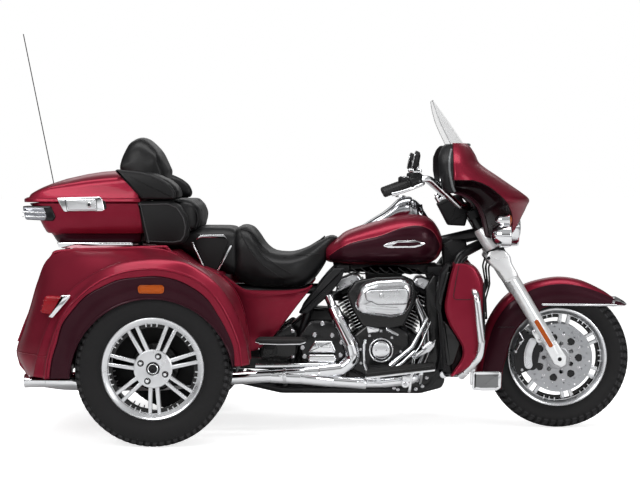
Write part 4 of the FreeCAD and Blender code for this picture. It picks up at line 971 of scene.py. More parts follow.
@dataclass
class RearBody:
    """Rear fenders with their flared arches, trunk, door, bumper and lamps."""

    hub: Point = (-651.0, -572.0, 313.0)
    arch_r: float = 332.0
    arch_z: float = 268.0
    foot_z: float = 278.0
    controls: int = 17
    along: int = 110
    across: int = 56
    deck: Points = ((-1186, 270), (-1214, 300), (-1226, 335), (-1226, 367), (-1206, 430), (-1171, 543),
        (-1142, 640), (-1122, 700), (-1098, 739), (-1062, 770), (-1008, 780), (-868, 786), (-640, 790),
        (-596, 770), (-500, 722), (-420, 690), (-352, 640), (-305, 545), (-284, 440), (-272, 335))
    middle: Points = ((-1162, 268), (-1186, 300), (-1190, 350), (-1180, 410), (-1152, 500), (-1108, 606),
        (-1052, 694), (-985, 744), (-868, 772), (-720, 780), (-600, 764), (-500, 730), (-420, 686),
        (-352, 612), (-302, 520), (-276, 420), (-268, 335))
    valley: Points = ((-1128, 283), (-1108, 380), (-1066, 504), (-996, 612), (-902, 690), (-780, 740),
        (-680, 756), (-600, 756), (-520, 742), (-436, 700), (-360, 622), (-310, 540), (-278, 440),
        (-264, 335))
    flange: Points = ((-1085, 279), (-1081, 347), (-1033, 508), (-944, 628), (-840, 708), (-740, 740),
        (-647, 749), (-519, 737), (-398, 668), (-318, 548), (-278, 427), (-264, 335))
    inset: Points = ((-1058, 278), (-1050, 346), (-1002, 507), (-922, 603), (-801, 672), (-648, 692),
        (-520, 670), (-415, 590), (-351, 475), (-322, 400), (-318, 330))

    def rows(self) -> list[tuple[float, Points]]:
        """Side curves of the fender skin by offset, from the trunk out to the flare's inner edge.

        Returns: (offset, side curve) pairs, a curve given twice where a crease is wanted.
        """
        crown = [((a[0] + b[0]) / 2, (a[1] + b[1]) / 2) for a, b in zip(resampled(self.flange, 16),
            resampled(self.inset, 16))]
        return [(-397, self.deck), (-430, self.deck), (-462, self.deck), (-470, self.deck),
            (-545, self.middle), (-636, self.valley), (-660, self.valley), (-680, self.flange), (-707, crown),
            (-709, crown), (-701, self.inset), (-694, self.inset)]

    def grid(self) -> Array:
        """Points of the fender skin, a spline through the side curves."""
        return curves(self.rows(), self.controls, self.along, self.across)

    def arch(self, radius: float) -> Array:
        """The wheel opening's curve, from the rear foot to the front one.

        Args: radius of the arc round the hub.
        Returns: points (x, z).
        """
        low = math.degrees(math.asin((self.foot_z - self.arch_z) / radius))
        angle = np.radians(np.linspace(180 - low, low + 9, self.along))
        return arc_points((self.hub[0], self.arch_z), radius, angle)

    def panel(self) -> Shape:
        """Dark inset between the flare and the wheel opening, with a lip turned inward.

        Returns: an open sheet, given its wall later.
        """
        outer = spline(resampled(self.inset, self.controls), self.along)
        inner = self.arch(self.arch_r)
        share = np.linspace(0, 1, 9)[:, None, None]
        face = lift(outer * (1 - share) + inner * share, 0.0)
        face[..., 1] = (-695 + 3 * np.sin(math.pi * share[..., 0]))
        lip = np.stack([lift(self.arch(self.arch_r - 4), y) for y in (-694, -680, -640, -600)])
        return sheet(np.concatenate([face, lip]))

    def house(self) -> Shape:
        """Black lining round the top of the wheel, with its inner wall: one closed bent strip.

        Returns: for each angle round the hub the section runs out along the lining and back 3 mm away.
        """
        angle = np.radians(np.linspace(-2, 182, 90))
        section = [(335, -690), (335, -458), (60, -458), (60, -455), (338, -455), (338, -690)]
        rings = [np.stack([self.hub[0] + r * np.cos(angle), np.full(90, y), self.hub[2] + r * np.sin(angle)],
            1) for r, y in section]
        return solid(np.array(rings).transpose(1, 0, 2))

    def build(self) -> None:
        """Make every rear piece."""
        self.fenders()
        self.trunk()
        self.lamps()

    def fenders(self) -> None:
        """Both fenders with their insets, beads, reflectors and wheel houses, a black plate behind each wheel
        that paints the shade over the muffler, and the trunk's ledges.
        """
        grid, inset = self.grid(), self.panel()
        skin = sheet(grid)
        bead = tube(lift(spline(resampled(self.inset, self.controls), self.along), -694.5), 2.2, sides=8)
        edge = tube(lift(self.arch(self.arch_r - 2), -694), 4.0, sides=8)
        reflector = plate([(-697, 623), (-605, 623), (-605, 648), (-697, 648)], -704, -694, 3.0, 12.4)
        rim = plate([(-703, 618), (-599, 618), (-599, 652), (-703, 652)], -700, -693, 2.0, 15)
        deck = spline([(-1118, 700), (-1084, 752), (-1050, 775), (-870, 783), (-640, 792), (-612, 786),
            (-590, 762)], 60)
        made("trunk_ledges", both(tube(lift(deck, -458), 7.0, sides=12)), RED)
        crease = np.array([[np.interp(367, line[:30, 2], line[:30, k]) for k in range(3)]
            for line in grid[:44]])
        made("body_seams", both(tube(crease, 3.2, sides=8)), RED)
        # Black plate behind each rear wheel that hides the muffler: painted shade standing in for the shadow
        # there.
        shade_plate = plate([(-969, 330), (-333, 330), (-362, 226), (-940, 226)], -458, -455, 1)
        made("wheel_houses", both([self.house(), shade_plate]), SATIN_BLACK)
        for tag, twin in (("right", False), ("left", True)):
            def sided(shape: Shape) -> Shape:
                """The shape, or its twin on the left side."""
                return shape.mirrored() if twin else shape
            name = f"rear_fender_{tag}"
            walled(made(f"{name}_skin", sided(skin), RED, stands=(name,), sharp=50), 4.0,
                -1.0 if twin else 1.0)
            walled(made(f"{name}_inset", sided(inset), MAROON, sharp=40), 3.0, -1.0 if twin else 1.0)
            made(f"{name}_beads", [sided(bead), sided(edge)], MAROON)
            made(f"{name}_reflector", sided(reflector), AMBER_LENS)
            made(f"{name}_reflector_rim", sided(rim), AMBER_LENS)

    def trunk(self) -> None:
        """Trunk shell, door with its trim, and the bumper below it."""
        dress("trunk_body", RED)
        dress("trunk_door", RED)
        seam = rounded([(-318, 452), (318, 452), (318, 690), (-318, 690)], 30)
        where = np.interp(seam[:, 1], [400, 475, 640, 735], [-1240, -1212, -1142, -1098]) - 1.5
        line = np.stack([where, seam[:, 0], seam[:, 1]], 1)
        made("trunk_door_bead", tube(line, 2.4, sides=8, closed=True), GLOSS_BLACK, Rides.DOOR)
        lean = math.degrees(math.atan2(70, 165))
        handle = plate([(-62, 655), (62, 655), (62, 676), (-62, 676)], -1146, -1134, 3, 8, axis="x")
        made("trunk_handle", handle.turned((-1140, 0, 664), (0, 1, 0), lean), CHROME, Rides.DOOR)
        frame_ring = plate([(-100, 512), (100, 512), (100, 622), (-100, 622)], -1186, -1179, 2, 8, axis="x")
        made("plate_holder", frame_ring.turned((-1182, 0, 567), (0, 1, 0), lean), GLOSS_BLACK, Rides.DOOR)
        blank = plate([(-88, 522), (88, 522), (88, 612), (-88, 612)], -1189, -1185, 1, 5, axis="x")
        made("blank_plate", blank.turned((-1182, 0, 567), (0, 1, 0), lean), SATIN_CHROME, Rides.DOOR)
        bumper = [(-1228, 398), (-1238, 368), (-1240, 330), (-1232, 300), (-1212, 276), (-1188, 263),
            (-1180, 262), (-1180, 398)]
        made("rear_bumper", plate(bumper, -397, 397, 8, [4, 20, 20, 16, 20, 12, 2, 2]), RED,
            stands=("valance",))
        strip = tube([(-1239, y, 352 - 0.00001 * y * y) for y in np.linspace(-390, 390, 24)], 3.0, sides=10)
        made("bumper_bead", strip, CHROME)

    def lamps(self) -> None:
        """Tail lamps: ribbed red lens in a chrome bezel that slants forward."""
        lens, bezels, shells = [], [], []
        for side in (-1, 1):
            body = plate([(-1100, 536), (-1046, 528), (-1000, 600), (-1082, 604)], side * 515, side * 646, 8,
                12)
            lens.append(body)
            outer = side * 686
            bar = plate([(-1062, 524), (-1044, 519), (-976, 597), (-972, 611), (-1014, 609), (-1006, 597)],
                side * 560, outer, 3, 4)
            bezels.append(bar)
            back = plate([(-1008, 520), (-950, 530), (-940, 590), (-984, 603)], side * 540, side * 640, 8, 12)
            shells.append(back)
            for z, back_x, front_x in ((545, -1101, -1034), (566, -1096, -1021), (587, -1090, -1007)):
                shells.append(block((back_x, front_x), (side * 522, side * 647.5), (z - 1.5, z + 1.5), 1.0))
        made("tail_lenses", lens, RED_LENS, stands=("tail_lamps",))
        made("tail_bezels", bezels, CHROME)
        made("tail_shells", shells, RED_LENS)


# ---- tour box ------------------------------------------------------------------------------------
def plan_ring(rear: float, ahead: float, half: float, corner: float, nose: float = 12.0,
        count: int = 132) -> Array:
    """Rounded rectangle seen from above, as (x, y) points spread evenly.

    Args: corner and nose are the radii of the rear and the front corners.
    Returns: points (count, 2).
    """
    flat = rounded([(rear, -half), (ahead, -half), (ahead, half), (rear, half)], [corner, nose, nose, corner],
        8)
    return resampled(flat, count, closed=True)


def levels(rows: Points, corner: float) -> Array:
    """Rings of points through (height, rear, front, half width)."""
    return np.array([lift(plan_ring(rear, ahead, half, corner), z, "z") for z, rear, ahead, half in rows])


@dataclass
class TourBox:
    """Luggage box with its lid, latches, rack, lamps, pods and pads."""

    box_rows: Points = ((841, -1117, -736, 305), (843, -1134, -728, 313), (848, -1140, -724, 317),
        (870, -1152, -726, 324), (900, -1166, -730, 328), (930, -1181, -734, 329.5), (955, -1196, -737, 330),
        (962, -1203, -738, 332), (967, -1207, -737.5, 333))
    band_rows: Points = ((803, -1094, -748, 286), (806, -1099, -742, 290), (825, -1110, -736, 297),
        (842, -1119, -732, 303))
    crease: Points = ((-1236, 978), (-1204, 998), (-1160, 1016), (-1114, 1031), (-956, 1052), (-798, 1068),
        (-730, 1074))
    crown: Points = ((-1236, 982), (-1222, 1006), (-1196, 1027), (-1129, 1050), (-1064, 1071), (-983, 1089),
        (-919, 1099), (-851, 1104), (-730, 1108))

    def build(self) -> None:
        """Make the box, lid and what they carry."""
        self.box()
        self.lid()
        self.latch()
        self.corner_lamps()
        self.rack()
        self.pads()

    def box(self) -> None:
        """Hollow box: outer rings up to the rim, then inner rings down to the floor."""
        outer = levels(self.box_rows, 70)
        rim = levels([(967, -1203, -741, 329)], 66)
        inner = levels([(960, -1198, -744, 325), (900, -1160, -750, 322), (850, -1128, -760, 308),
            (812, -1098, -784, 285)], 64)
        made("tour_box_shell", solid(np.concatenate([outer, rim, inner])), RED, stands=("tour_box",),
            sharp=32)
        made("tour_box_base", solid(levels(self.band_rows, 66)), MAROON)
        floor = plan_ring(-1092, -790, 280, 58)
        made("tour_box_mat", solid([lift(floor, 812.3, "z"), lift(floor, 815, "z")]), POD_CLOTH)

    def lid(self) -> None:
        """Lid: a lip, a wall up to the crease, and a crown.

        The crown's ring at share k of the plan has height (1 - w) crease(x) + w top(x) with
        w = 1 - 0.9 k^5, so it rises fast from the crease and flattens towards the middle.
        """
        base = plan_ring(-1226, -738, 330, 74, 14, 168)
        middle = np.array([-960.0, 0.0])
        crease, crown = np.array(self.crease, float), np.array(self.crown, float)
        rings = []
        for inset, z in ((7, 975.5), (2, 972.5), (-3, 972), (-5, 974), (-5, 984), (-3, 987), (3, 988.5),
                (4, 991)):
            rings.append(lift(offset(base, inset), z, "z"))
        wall = offset(base, 6)
        top = np.interp(wall[:, 0], crease[:, 0], crease[:, 1])
        for share in (0.35, 0.8, 0.96):
            ring = offset(base, 5 + 9 * share)
            rings.append(lift(ring, 991 + (top - 991) * share, "z"))
        for k in (0.965, 0.95, 0.93, 0.9, 0.86, 0.8, 0.7, 0.58, 0.44, 0.3, 0.15):
            ring = middle + (offset(base, 10) - middle) * k
            w = 1 - k**5 * 0.9
            low = np.interp(ring[:, 0], crease[:, 0], crease[:, 1])
            high = np.interp(ring[:, 0], crown[:, 0], crown[:, 1])
            rings.append(lift(ring, low * (1 - w) + high * w, "z"))
        outer = np.array(rings)
        under = []
        for k, drop in ((0.15, 7), (0.5, 7), (0.8, 7), (0.9, 7), (0.95, 12)):
            ring = middle + (offset(base, 12) - middle) * k
            high = np.interp(ring[:, 0], crown[:, 0], crown[:, 1]) * 0.4 + np.interp(ring[:, 0], crease[:, 0],
                crease[:, 1]) * 0.6
            under.append(lift(ring, np.maximum(high - drop, 976), "z"))
        shell = np.concatenate([np.array(under), outer])
        made("tour_lid_shell", solid(shell), RED, Rides.LID, ("tour_lid",), sharp=34)
        pins, plates = [], []
        for x in (-1040, -840):
            pins.append(rod((x - 10, 340, 969), (x + 31, 340, 969), 5, 1))
            plates.append(block((x + 11.5, x + 31), (318, 348), (965, 979), 2))
        made("lid_hinge_pins", pins, BOLT_STEEL)
        made("lid_hinge_plates", plates, CHROME, Rides.LID)
        brackets = [block((x - 10, x + 10), (328, 349), (955, 976), 2) for x in (-1040, -840)]
        made("lid_hinge_lugs", brackets, CHROME)

    def latch(self) -> None:
        """Long chrome latch plate with a recessed handle and a round lock."""
        y = -337
        plate_shape = plate([(-1086, 991), (-905, 996), (-893, 986), (-884, 940), (-892, 934), (-1046, 932),
            (-1056, 936)], y, y + 16, 4, 6)
        made("latch_plate", plate_shape, CHROME)
        handle = plate([(-1046, 984), (-922, 988), (-918, 942), (-1034, 940)], y - 5, y + 4, 3, 5)
        made("latch_handle", handle, SATIN_CHROME)
        groove = tube(lift(rounded([(-1050, 986), (-920, 991), (-915, 938), (-1040, 936)], 6), y - 0.4), 1.3,
            sides=6, closed=True)
        made("latch_gap", groove, FRAME_BLACK)
        made("latch_lock", rod((-948, y - 8.5, 962), (-948, y, 962), 11, 1.5, 28), CHROME)
        made("latch_keyhole", rod((-948, y - 9.2, 962), (-948, y - 8, 962), 6, 0.4, 20), FRAME_BLACK)
        cover = plate([(-892, 982), (-884, 944), (-876, 946), (-882, 978)], y + 1, y + 14, 2, 3)
        made("latch_end", cover, GLOSS_BLACK)

    def corner_lamps(self) -> None:
        """Lamps that wrap round the box's rear corners: smoked lens in a black frame."""
        outline = rounded([(-1226, 957), (-1214, 900), (-1098, 894), (-1088, 912), (-1108, 957)],
            [6, 10, 14, 14, 10])
        lens = rounded([(-1224, 951), (-1213, 902), (-1128, 897), (-1124, 914), (-1136, 950)],
            [5, 8, 8, 8, 8])
        for side in (-1, 1):
            tag = "right" if side < 0 else "left"
            case = plate(outline, side * 250, side * 337, 6)
            made(f"corner_lamp_case_{tag}", case, GLOSS_BLACK)
            low, high = sorted((side * 246, side * 340))
            made(f"corner_lamp_lens_{tag}", plate(lens - [1.5, 0], low, high, 6), SMOKE_LENS,
                stands=("corner_lamps",) if side < 0 else ())
            bars = [plate(rounded([(-1226, z), (-1130, z - 4), (-1130, z + 1), (-1226, z + 5)], 1), low - 1,
                high + 1, 1) for z in (912, 930)]
            made(f"corner_lamp_ribs_{tag}", bars, SATIN_CHROME)

    def rack(self) -> None:
        """Chrome strips under the box and the rack that carries it."""
        strips = []
        for side in (-1, 1):
            strips.append(plate([(-1090, 804), (-772, 804), (-772, 784), (-1066, 780), (-1080, 785)],
                side * 262, side * 306, 2, [2, 6, 6, 8, 8]))
        made("rack_strips", strips, CHROME, stands=("tour_rack",))
        bars = [rod((x, -262, 795), (x, 262, 795), 8, 1) for x in (-1060, -930, -800)]
        bars += [rod((x, y, 770), (x, y, 797), 11, 1) for x in (-1060, -930, -800) for y in (-200, 200)]
        made("rack_bars", bars, FRAME_BLACK)

    def pads(self) -> None:
        """Speaker pods, lumbar pad, armrests and backrest."""
        pods = []
        outline = rounded([(-714, 797), (-724, 844), (-753, 976), (-619, 979), (-575, 960), (-545, 913),
            (-535, 870), (-541, 830), (-560, 800), (-600, 793)], [4, 4, 8, 50, 40, 40, 30, 30, 20, 10])
        for side in (-1, 1):
            pods.append(plate(outline, side * 238, side * 335, 18))
        made("pod_shells", pods, POD_CLOTH, stands=("speaker_pods",), sharp=40)
        rims = []
        for side in (-1, 1):
            rims.append(tube(lift(offset(outline, 14), side * 333.5), 2.6, sides=8, closed=True))
        made("pod_piping", rims, PIPING)
        grille = []
        for side in (-1, 1):
            centre = (-552, side * 286, 893)
            ring = spun(rounded([(-6, 40), (6, 38), (6, 44), (-6, 46)], 1.5, 2), centre, "x", 40, True)
            grille.append(ring.turned(centre, (0, 1, 0), -20))
            for k in range(-3, 4):
                width = math.sqrt(max(0.0, 38**2 - (k * 10) ** 2))
                bar = rod((centre[0] + 3, centre[1] - width, centre[2] + k * 10),
                    (centre[0] + 3, centre[1] + width, centre[2] + k * 10), 2.0, 0.4, 8)
                grille.append(bar.turned(centre, (0, 1, 0), -20))
        made("speaker_grilles", grille, SATIN_BLACK)
        self.lumbar()
        self.backrest()

    def lumbar(self) -> None:
        """Pad against the passenger's back, on the box."""
        rows = [(-242, -716, -610, 862, 958), (-226, -716, -520, 856, 972), (-150, -716, -494, 854, 975),
            (0, -716, -484, 854, 976), (150, -716, -494, 854, 975), (226, -716, -520, 856, 972),
            (242, -716, -610, 862, 958)]
        shape = lofted_pad(rows, (26, 52))
        Upholstery("lumbar_cushion", shape, Rides.CHASSIS, ("lumbar_pad",), cap_mm=9.0).build()
        edge = spline([(-592, 975), (-548, 966), (-514, 938), (-503, 900), (-512, 866)], 40)
        lines = [tube(lift(edge + [-4, 0], side * 214), 3.2, sides=8) for side in (-1, 1)]
        made("lumbar_piping", lines, THREAD)

    def backrest(self) -> None:
        """Wrap-round armrests and the tall pad, which lift with the lid."""
        upper = []
        for y, rear, ahead, low, high in ((-156, -842, -680, 1085, 1150), (-142, -852, -662, 1072, 1205),
                (-98, -858, -648, 1066, 1240), (0, -860, -641, 1064, 1251), (98, -858, -648, 1066, 1240),
                (142, -852, -662, 1072, 1205), (156, -842, -680, 1085, 1150)):
            share = (high - 1064) / 179
            flat = [(rear, low + 40), (rear + 28 * share, low + 112 * share), (-806, high - 18), (-768, high),
                (-730, high - 16), (-690, low + 122 * share), (ahead, low + 26), (ahead + 2, low - 30),
                (-740, 1040), (-812, low - 4)]
            upper.append(lift(resampled(rounded(flat, 26), 90, closed=True), y))
        Upholstery("backrest_cushion", solid(spline(upper, 30)), Rides.LID, ("backrest",), cap_mm=7.0).build()
        near = [(-736, 984.5), (-738, 1100), (-690, 1094), (-650, 1080), (-614, 1064), (-586, 1042),
            (-570, 1012), (-574, 984.5)]
        far = [(-736, 984.5), (-738, 1094), (-700, 1087), (-677, 1077), (-646, 1062), (-614, 1040),
            (-594, 1010), (-598, 984.5)]
        arms = []
        for side in (-1, 1):
            rings = []
            for y, share, inset in ((203, 0, 10), (209, 0, 2), (225, 0, 0), (290, 0.35, 0), (312, 0.8, 1),
                    (324, 1, 8)):
                flat = np.array(near, float) * (1 - share) + np.array(far, float) * share
                ring = offset(resampled(rounded(flat, [4, 8, 20, 30, 30, 30, 26, 10]), 96, closed=True),
                    inset)
                rings.append(lift(ring, side * y))
            arms.append(solid(rings))
        for tag, arm_shape in zip(("right", "left"), arms):
            Upholstery(f"armrest_{tag}", arm_shape, Rides.LID, (), cap_mm=6.0).build()
        bridge = plate([(-737, 986), (-737, 1098), (-700, 1096), (-672, 1050), (-664, 986)], -206, 206, 10,
            [4, 10, 24, 20, 10])
        Upholstery("backrest_bridge", bridge, Rides.LID, (), cap_mm=6.0).build()
        wing = plate([(-730, 985), (-842, 1104), (-830, 1109), (-735, 1099), (-690, 1087), (-648, 1069),
            (-612, 1045), (-590, 1012), (-594, 985)], -338, -310, 9, [5, 5, 6, 30, 40, 40, 30, 24, 8])
        made("backrest_wings", both(wing), LEATHER, Rides.LID)
        seams = []
        for side in (-1, 1):
            line = lift(spline([(-826, 1100), (-735, 1089), (-694, 1078), (-654, 1061), (-620, 1038),
                (-600, 1010), (-603, 992)], 50), side * 336.5)
            seams.append(tube(line, 2.4, sides=8))
        made("armrest_piping", seams, THREAD, Rides.LID)


# ---- upholstery ----------------------------------------------------------------------------------
def lofted_pad(rows: list[tuple[float, float, float, float, float]], corners: tuple[float, float]) -> Shape:
    """Pad through rounded rectangles (y, rear, front, low, high); corners round the low and high front edges.

    Args: rows run from one side to the other.
    Returns: the closed pad.
    """
    rings = []
    for y, rear, ahead, low, high in rows:
        flat = rounded([(rear, low), (ahead, low), (ahead, high), (rear, high)], [8, *corners, 8], 6)
        rings.append(lift(resampled(flat, 84, closed=True), y))
    return solid(spline(rings, 44))


@dataclass
class Upholstery:
    """A leather pad whose cover is swollen by cloth under pressure.

    Args: voxel_mm is the remesh size, cap_mm the furthest that a point may move.
    """

    name: str
    shape: Shape
    body: Rides
    replaces: tuple[str, ...] = ()
    voxel_mm: float = 7.0
    cap_mm: float = 8.0
    pressure: float = 4.0
    fill: float = 0.75
    finish: Finish = LEATHER
    smooth: int = 6
    steps: int = 20

    def build(self) -> bpy.types.Object:
        """Remesh, swell and smooth the pad.

        Returns: the piece.
        """
        piece = made(self.name, self.shape, self.finish, self.body, self.replaces, sharp=180, weld=True)
        remesh = piece.modifiers.new("remesh", "REMESH")
        remesh.mode = "VOXEL"
        remesh.voxel_size = self.voxel_mm / MM_PER_M
        remesh.use_smooth_shade = True
        relax = piece.modifiers.new("relax", "SMOOTH")
        relax.factor = 0.5
        relax.iterations = self.smooth
        self.apply(piece)
        self.swell(piece)
        finer = piece.modifiers.new("finer", "SUBSURF")
        finer.levels = finer.render_levels = 1
        return piece

    @staticmethod
    def apply(piece: bpy.types.Object) -> None:
        """Replace the mesh by what its modifiers make of it.

        Args: piece keeps its name and material.
        """
        graph = bpy.context.evaluated_depsgraph_get()
        mesh = bpy.data.meshes.new_from_object(piece.evaluated_get(graph))
        mesh.name = piece.name
        piece.modifiers.clear()
        piece.data = mesh
        mesh.polygons.foreach_set("use_smooth", np.ones(len(mesh.polygons), bool))

    def swell(self, piece: bpy.types.Object) -> None:
        """Blow the cover up a little with the cloth solver, without gravity, and cap the movement.

        Args: piece is the smoothed pad; no point moves more than cap_mm.
        """
        scene = bpy.context.scene
        rest = np.empty(len(piece.data.vertices) * 3, np.float32)
        piece.data.vertices.foreach_get("co", rest)
        cloth = piece.modifiers.new("cloth", "CLOTH")
        settings = cloth.settings
        settings.use_pressure = True
        settings.uniform_pressure_force = self.pressure
        settings.quality = 4
        settings.effector_weights.gravity = 0.0
        cloth.point_cache.frame_start, cloth.point_cache.frame_end = 1, self.steps
        for step in range(1, self.steps + 1):
            scene.frame_set(step)
        self.apply(piece)
        scene.frame_set(1)
        now = np.empty(len(piece.data.vertices) * 3, np.float32)
        piece.data.vertices.foreach_get("co", now)
        if len(now) == len(rest):
            push = (now - rest).reshape(-1, 3)
            far = np.linalg.norm(push, axis=1)[:, None] + 1e-9
            now = rest.reshape(-1, 3) + push * np.minimum(1.0, self.cap_mm / MM_PER_M / far)
            piece.data.vertices.foreach_set("co", now.astype(np.float32).ravel())
            piece.data.update()


# ---- front end -----------------------------------------------------------------------------------
FORK_LEAN = math.radians(31.0)
AXLE = (1019.0, 305.0)


def leg(distance: float, ahead: float = 0.0) -> tuple[float, float]:
    """Point (x, z) up the fork's centre line from the axle, moved square to it."""
    s, c = math.sin(FORK_LEAN), math.cos(FORK_LEAN)
    return AXLE[0] - distance * s + ahead * c, AXLE[1] + distance * c + ahead * s


@dataclass
class Fork:
    """Fork legs, reflectors, calipers' trim and front fender."""

    track: float = 115.0
    fender_half: float = 80.0
    along: int = 96
    power: float = 0.7
    grow_from: tuple[float, float] = (1024.0, 300.0)
    grow_over: float = 350.0
    over: Points = ((664, 170), (668, 245), (690, 367), (727, 472), (790, 560), (868, 612), (945, 638),
        (1033, 649), (1120, 635), (1207, 596), (1260, 561), (1308, 533))
    under: Points = ((776, 170), (781, 248), (800, 318), (818, 387), (868, 462), (935, 500), (950, 518),
        (1010, 533), (1110, 533), (1200, 532), (1260, 532), (1300, 532))

    def build(self) -> None:
        """Make the fork and what hangs on it."""
        self.legs()
        self.fender()
        self.brakes()

    def legs(self) -> None:
        """Grey sliders that taper to the axle, covers and ears above, hoses, reflectors and bolts."""
        sliders, covers, reflectors, dark, ears = [], [], [], [], []
        for side in (-1, 1):
            y = side * self.track
            path = [(leg(d)[0], y, leg(d)[1]) for d in (-34, -26, -8, 30, 120, 250, 330, 345, 430)]
            sliders.append(tube(path, [6, 18, 24, 26, 28, 30, 31, 32, 32], sides=26))
            foot = [leg(-34, -12), leg(-34, 12), leg(-6, 30), leg(80, 27), leg(80, -27), leg(-6, -30)]
            sliders.append(plate(foot, y - side * 22, y + side * 25, 5, 14))
            eye = [(side * 24, 8), (side * 28, 9), (side * 28, 14), (side * 24, 15)]
            sliders.append(spun(eye, (AXLE[0], y, AXLE[1]), count=32, loop=True))
            covers.append(tube([(leg(d)[0], y, leg(d)[1]) for d in (418, 424, 520, 640, 648)],
                [30, 34.5, 35, 35, 30], sides=28))
            ear = [(703, 735), (716, 761), (748, 771), (786, 767), (808, 742), leg(452, 34), leg(400, 33),
                leg(392, 24), leg(392, -24), leg(400, -33), leg(452, -34), (724, 704)]
            ears.append(plate(ear, y - side * 30, y + side * 42, 9, [12, 18, 30, 24, 20, 20, 8, 8, 8, 8, 20,
                14]))
            dark.append(rod((716, y + side * 41, 734), (716, y + side * 43.5, 734), 8, 1, 20))
            dark.append(rod((AXLE[0], y + side * 20, AXLE[1]), (AXLE[0], y + side * 26, AXLE[1]), 9, 0.5, 20))
            band = rounded([leg(62, 7), leg(196, 7), leg(196, -12), leg(62, -12)], 9.4)
            reflectors.append(plate(band, y + side * 22, y + side * 31, 3))
            seat = plate(offset(band, -4), y + side * 14, y + side * 28, 3)
            sliders.append(seat)
            lug = plate([leg(88, 0), leg(168, -4), leg(160, -42), leg(104, -44)], y - side * 20, y + side * 6,
                4, 8)
            sliders.append(lug)
        steered("fork_sliders_visual", sliders, SLIDER_GREY, ("fork_sliders", "front_axle"), sharp=50)
        steered("fork_covers", covers, SLIDER_GREY)
        steered("fork_ears", ears, SLIDER_GREY)
        hoses = [tube([(722 + k, side * 88, 746), (706 + k, side * 92, 690), (718 + k / 2, side * 94, 620),
            (694 + k, side * 90, 556), (706 + k / 2, side * 84, 470)], 4, 40, sides=8) for side in (-1, 1)
            for k in (0, 14)]
        steered("brake_hoses", hoses, RUBBER)
        steered("fork_dark_fittings", dark, SATIN_BLACK)
        steered("fork_reflectors", reflectors, AMBER_LENS)
        dress("fork_crown", GLOSS_BLACK)
        bolts = []
        for side in (-1, 1):
            places = [(leg(d, -27)[0], side * 124.0, leg(d, -27)[1]) for d in (112, 152)]
            bolts.append(studs(places, (0, side, 0), 8, 6, 12))
        steered("fork_bolts", bolts, BOLT_STEEL)

    def section(self, low: float, high: float, grow: float, across: int = 30) -> Shape:
        """Part of the fender's shell between two turns of its section, p the power.

        Each section runs from the crown line O to the side line I: w = 1 - |cos a|^p picks the
        point O + w (I - O) and y = half sign(a) |sin a|^p, a from low to high degrees.

        Args: grow moves the section out from grow_from, across is the number of points round it.
        Returns: an open sheet.
        """
        top = spline(self.over, self.along)
        side = spline(self.under, self.along)
        a = np.radians(np.linspace(low, high, across))
        w = (1 - np.abs(np.cos(a)) ** self.power)[:, None, None]
        flat = top[None] * (1 - w) + side[None] * w
        y = (self.fender_half + grow) * np.sign(a) * np.abs(np.sin(a)) ** self.power
        flat = flat + (flat - np.array(self.grow_from)) / self.grow_over * grow
        return sheet(np.stack([flat[..., 0], np.repeat(y[:, None], self.along, 1), flat[..., 1]], -1))

    def fender(self) -> None:
        """Fender skin in two tones with its chrome strips, tip and rear skirts."""
        skin = walled(steered("front_fender_skin", self.section(-90, 90, -1.5, across=48), RED,
            ("front_fender",), sharp=60), 3.0)
        skin.modifiers["wall"].use_rim = True
        for tag, low, high in (("right", -90, -49), ("left", 49, 90)):
            walled(steered(f"front_fender_side_{tag}", self.section(low, high, 0.5), MAROON, sharp=60), 2.0)
        chrome, mesh, seams = [], [], []
        for side in (-1, 1):
            y = side * 80.0
            chrome.append(plate([(944, 537), (1268, 535), (1268, 526), (950, 528)], y - side * 3,
                y + side * 6, 3, 3))
            skirt = [(652, 168), (690, 164), (756, 164), (775, 176), (777, 240), (765, 246), (655, 246)]
            low, high = sorted((y + side * 1, y + side * 7))
            chrome.append(plate(skirt, low, high, 2.5, 8))
            inner = offset(rounded(skirt, 8), 13)
            mesh.append(plate(inner, y + side * 6, y + side * 8, 0.8))
            seams.append(tube([(762, y + side * 0.9, 436), (800, y + side * 1.6, 436),
                (832, y + side * 1.9, 436)], 1.2, sides=6))
        nose = []
        for x, reach, low, high in ((1236, 84, 527, 534), (1250, 84, 525, 552), (1275, 70, 524, 556),
                (1300, 46, 524, 545), (1314, 20, 526, 536), (1318, 6, 528, 533)):
            flat = rounded([(-reach, low), (reach, low), (reach, high - 4),
                (reach * 0.55, high + (1318 - x) * 0.12), (-reach * 0.55, high + (1318 - x) * 0.12),
                (-reach, high - 4)], 4, 3)
            nose.append(lift(resampled(flat, 60, closed=True), x, "x"))
        chrome.append(solid(nose))
        steered("front_fender_chrome", chrome, CHROME)
        steered("front_fender_mesh", mesh, GRILLE_GREY)
        steered("front_fender_seams", seams, FRAME_BLACK)

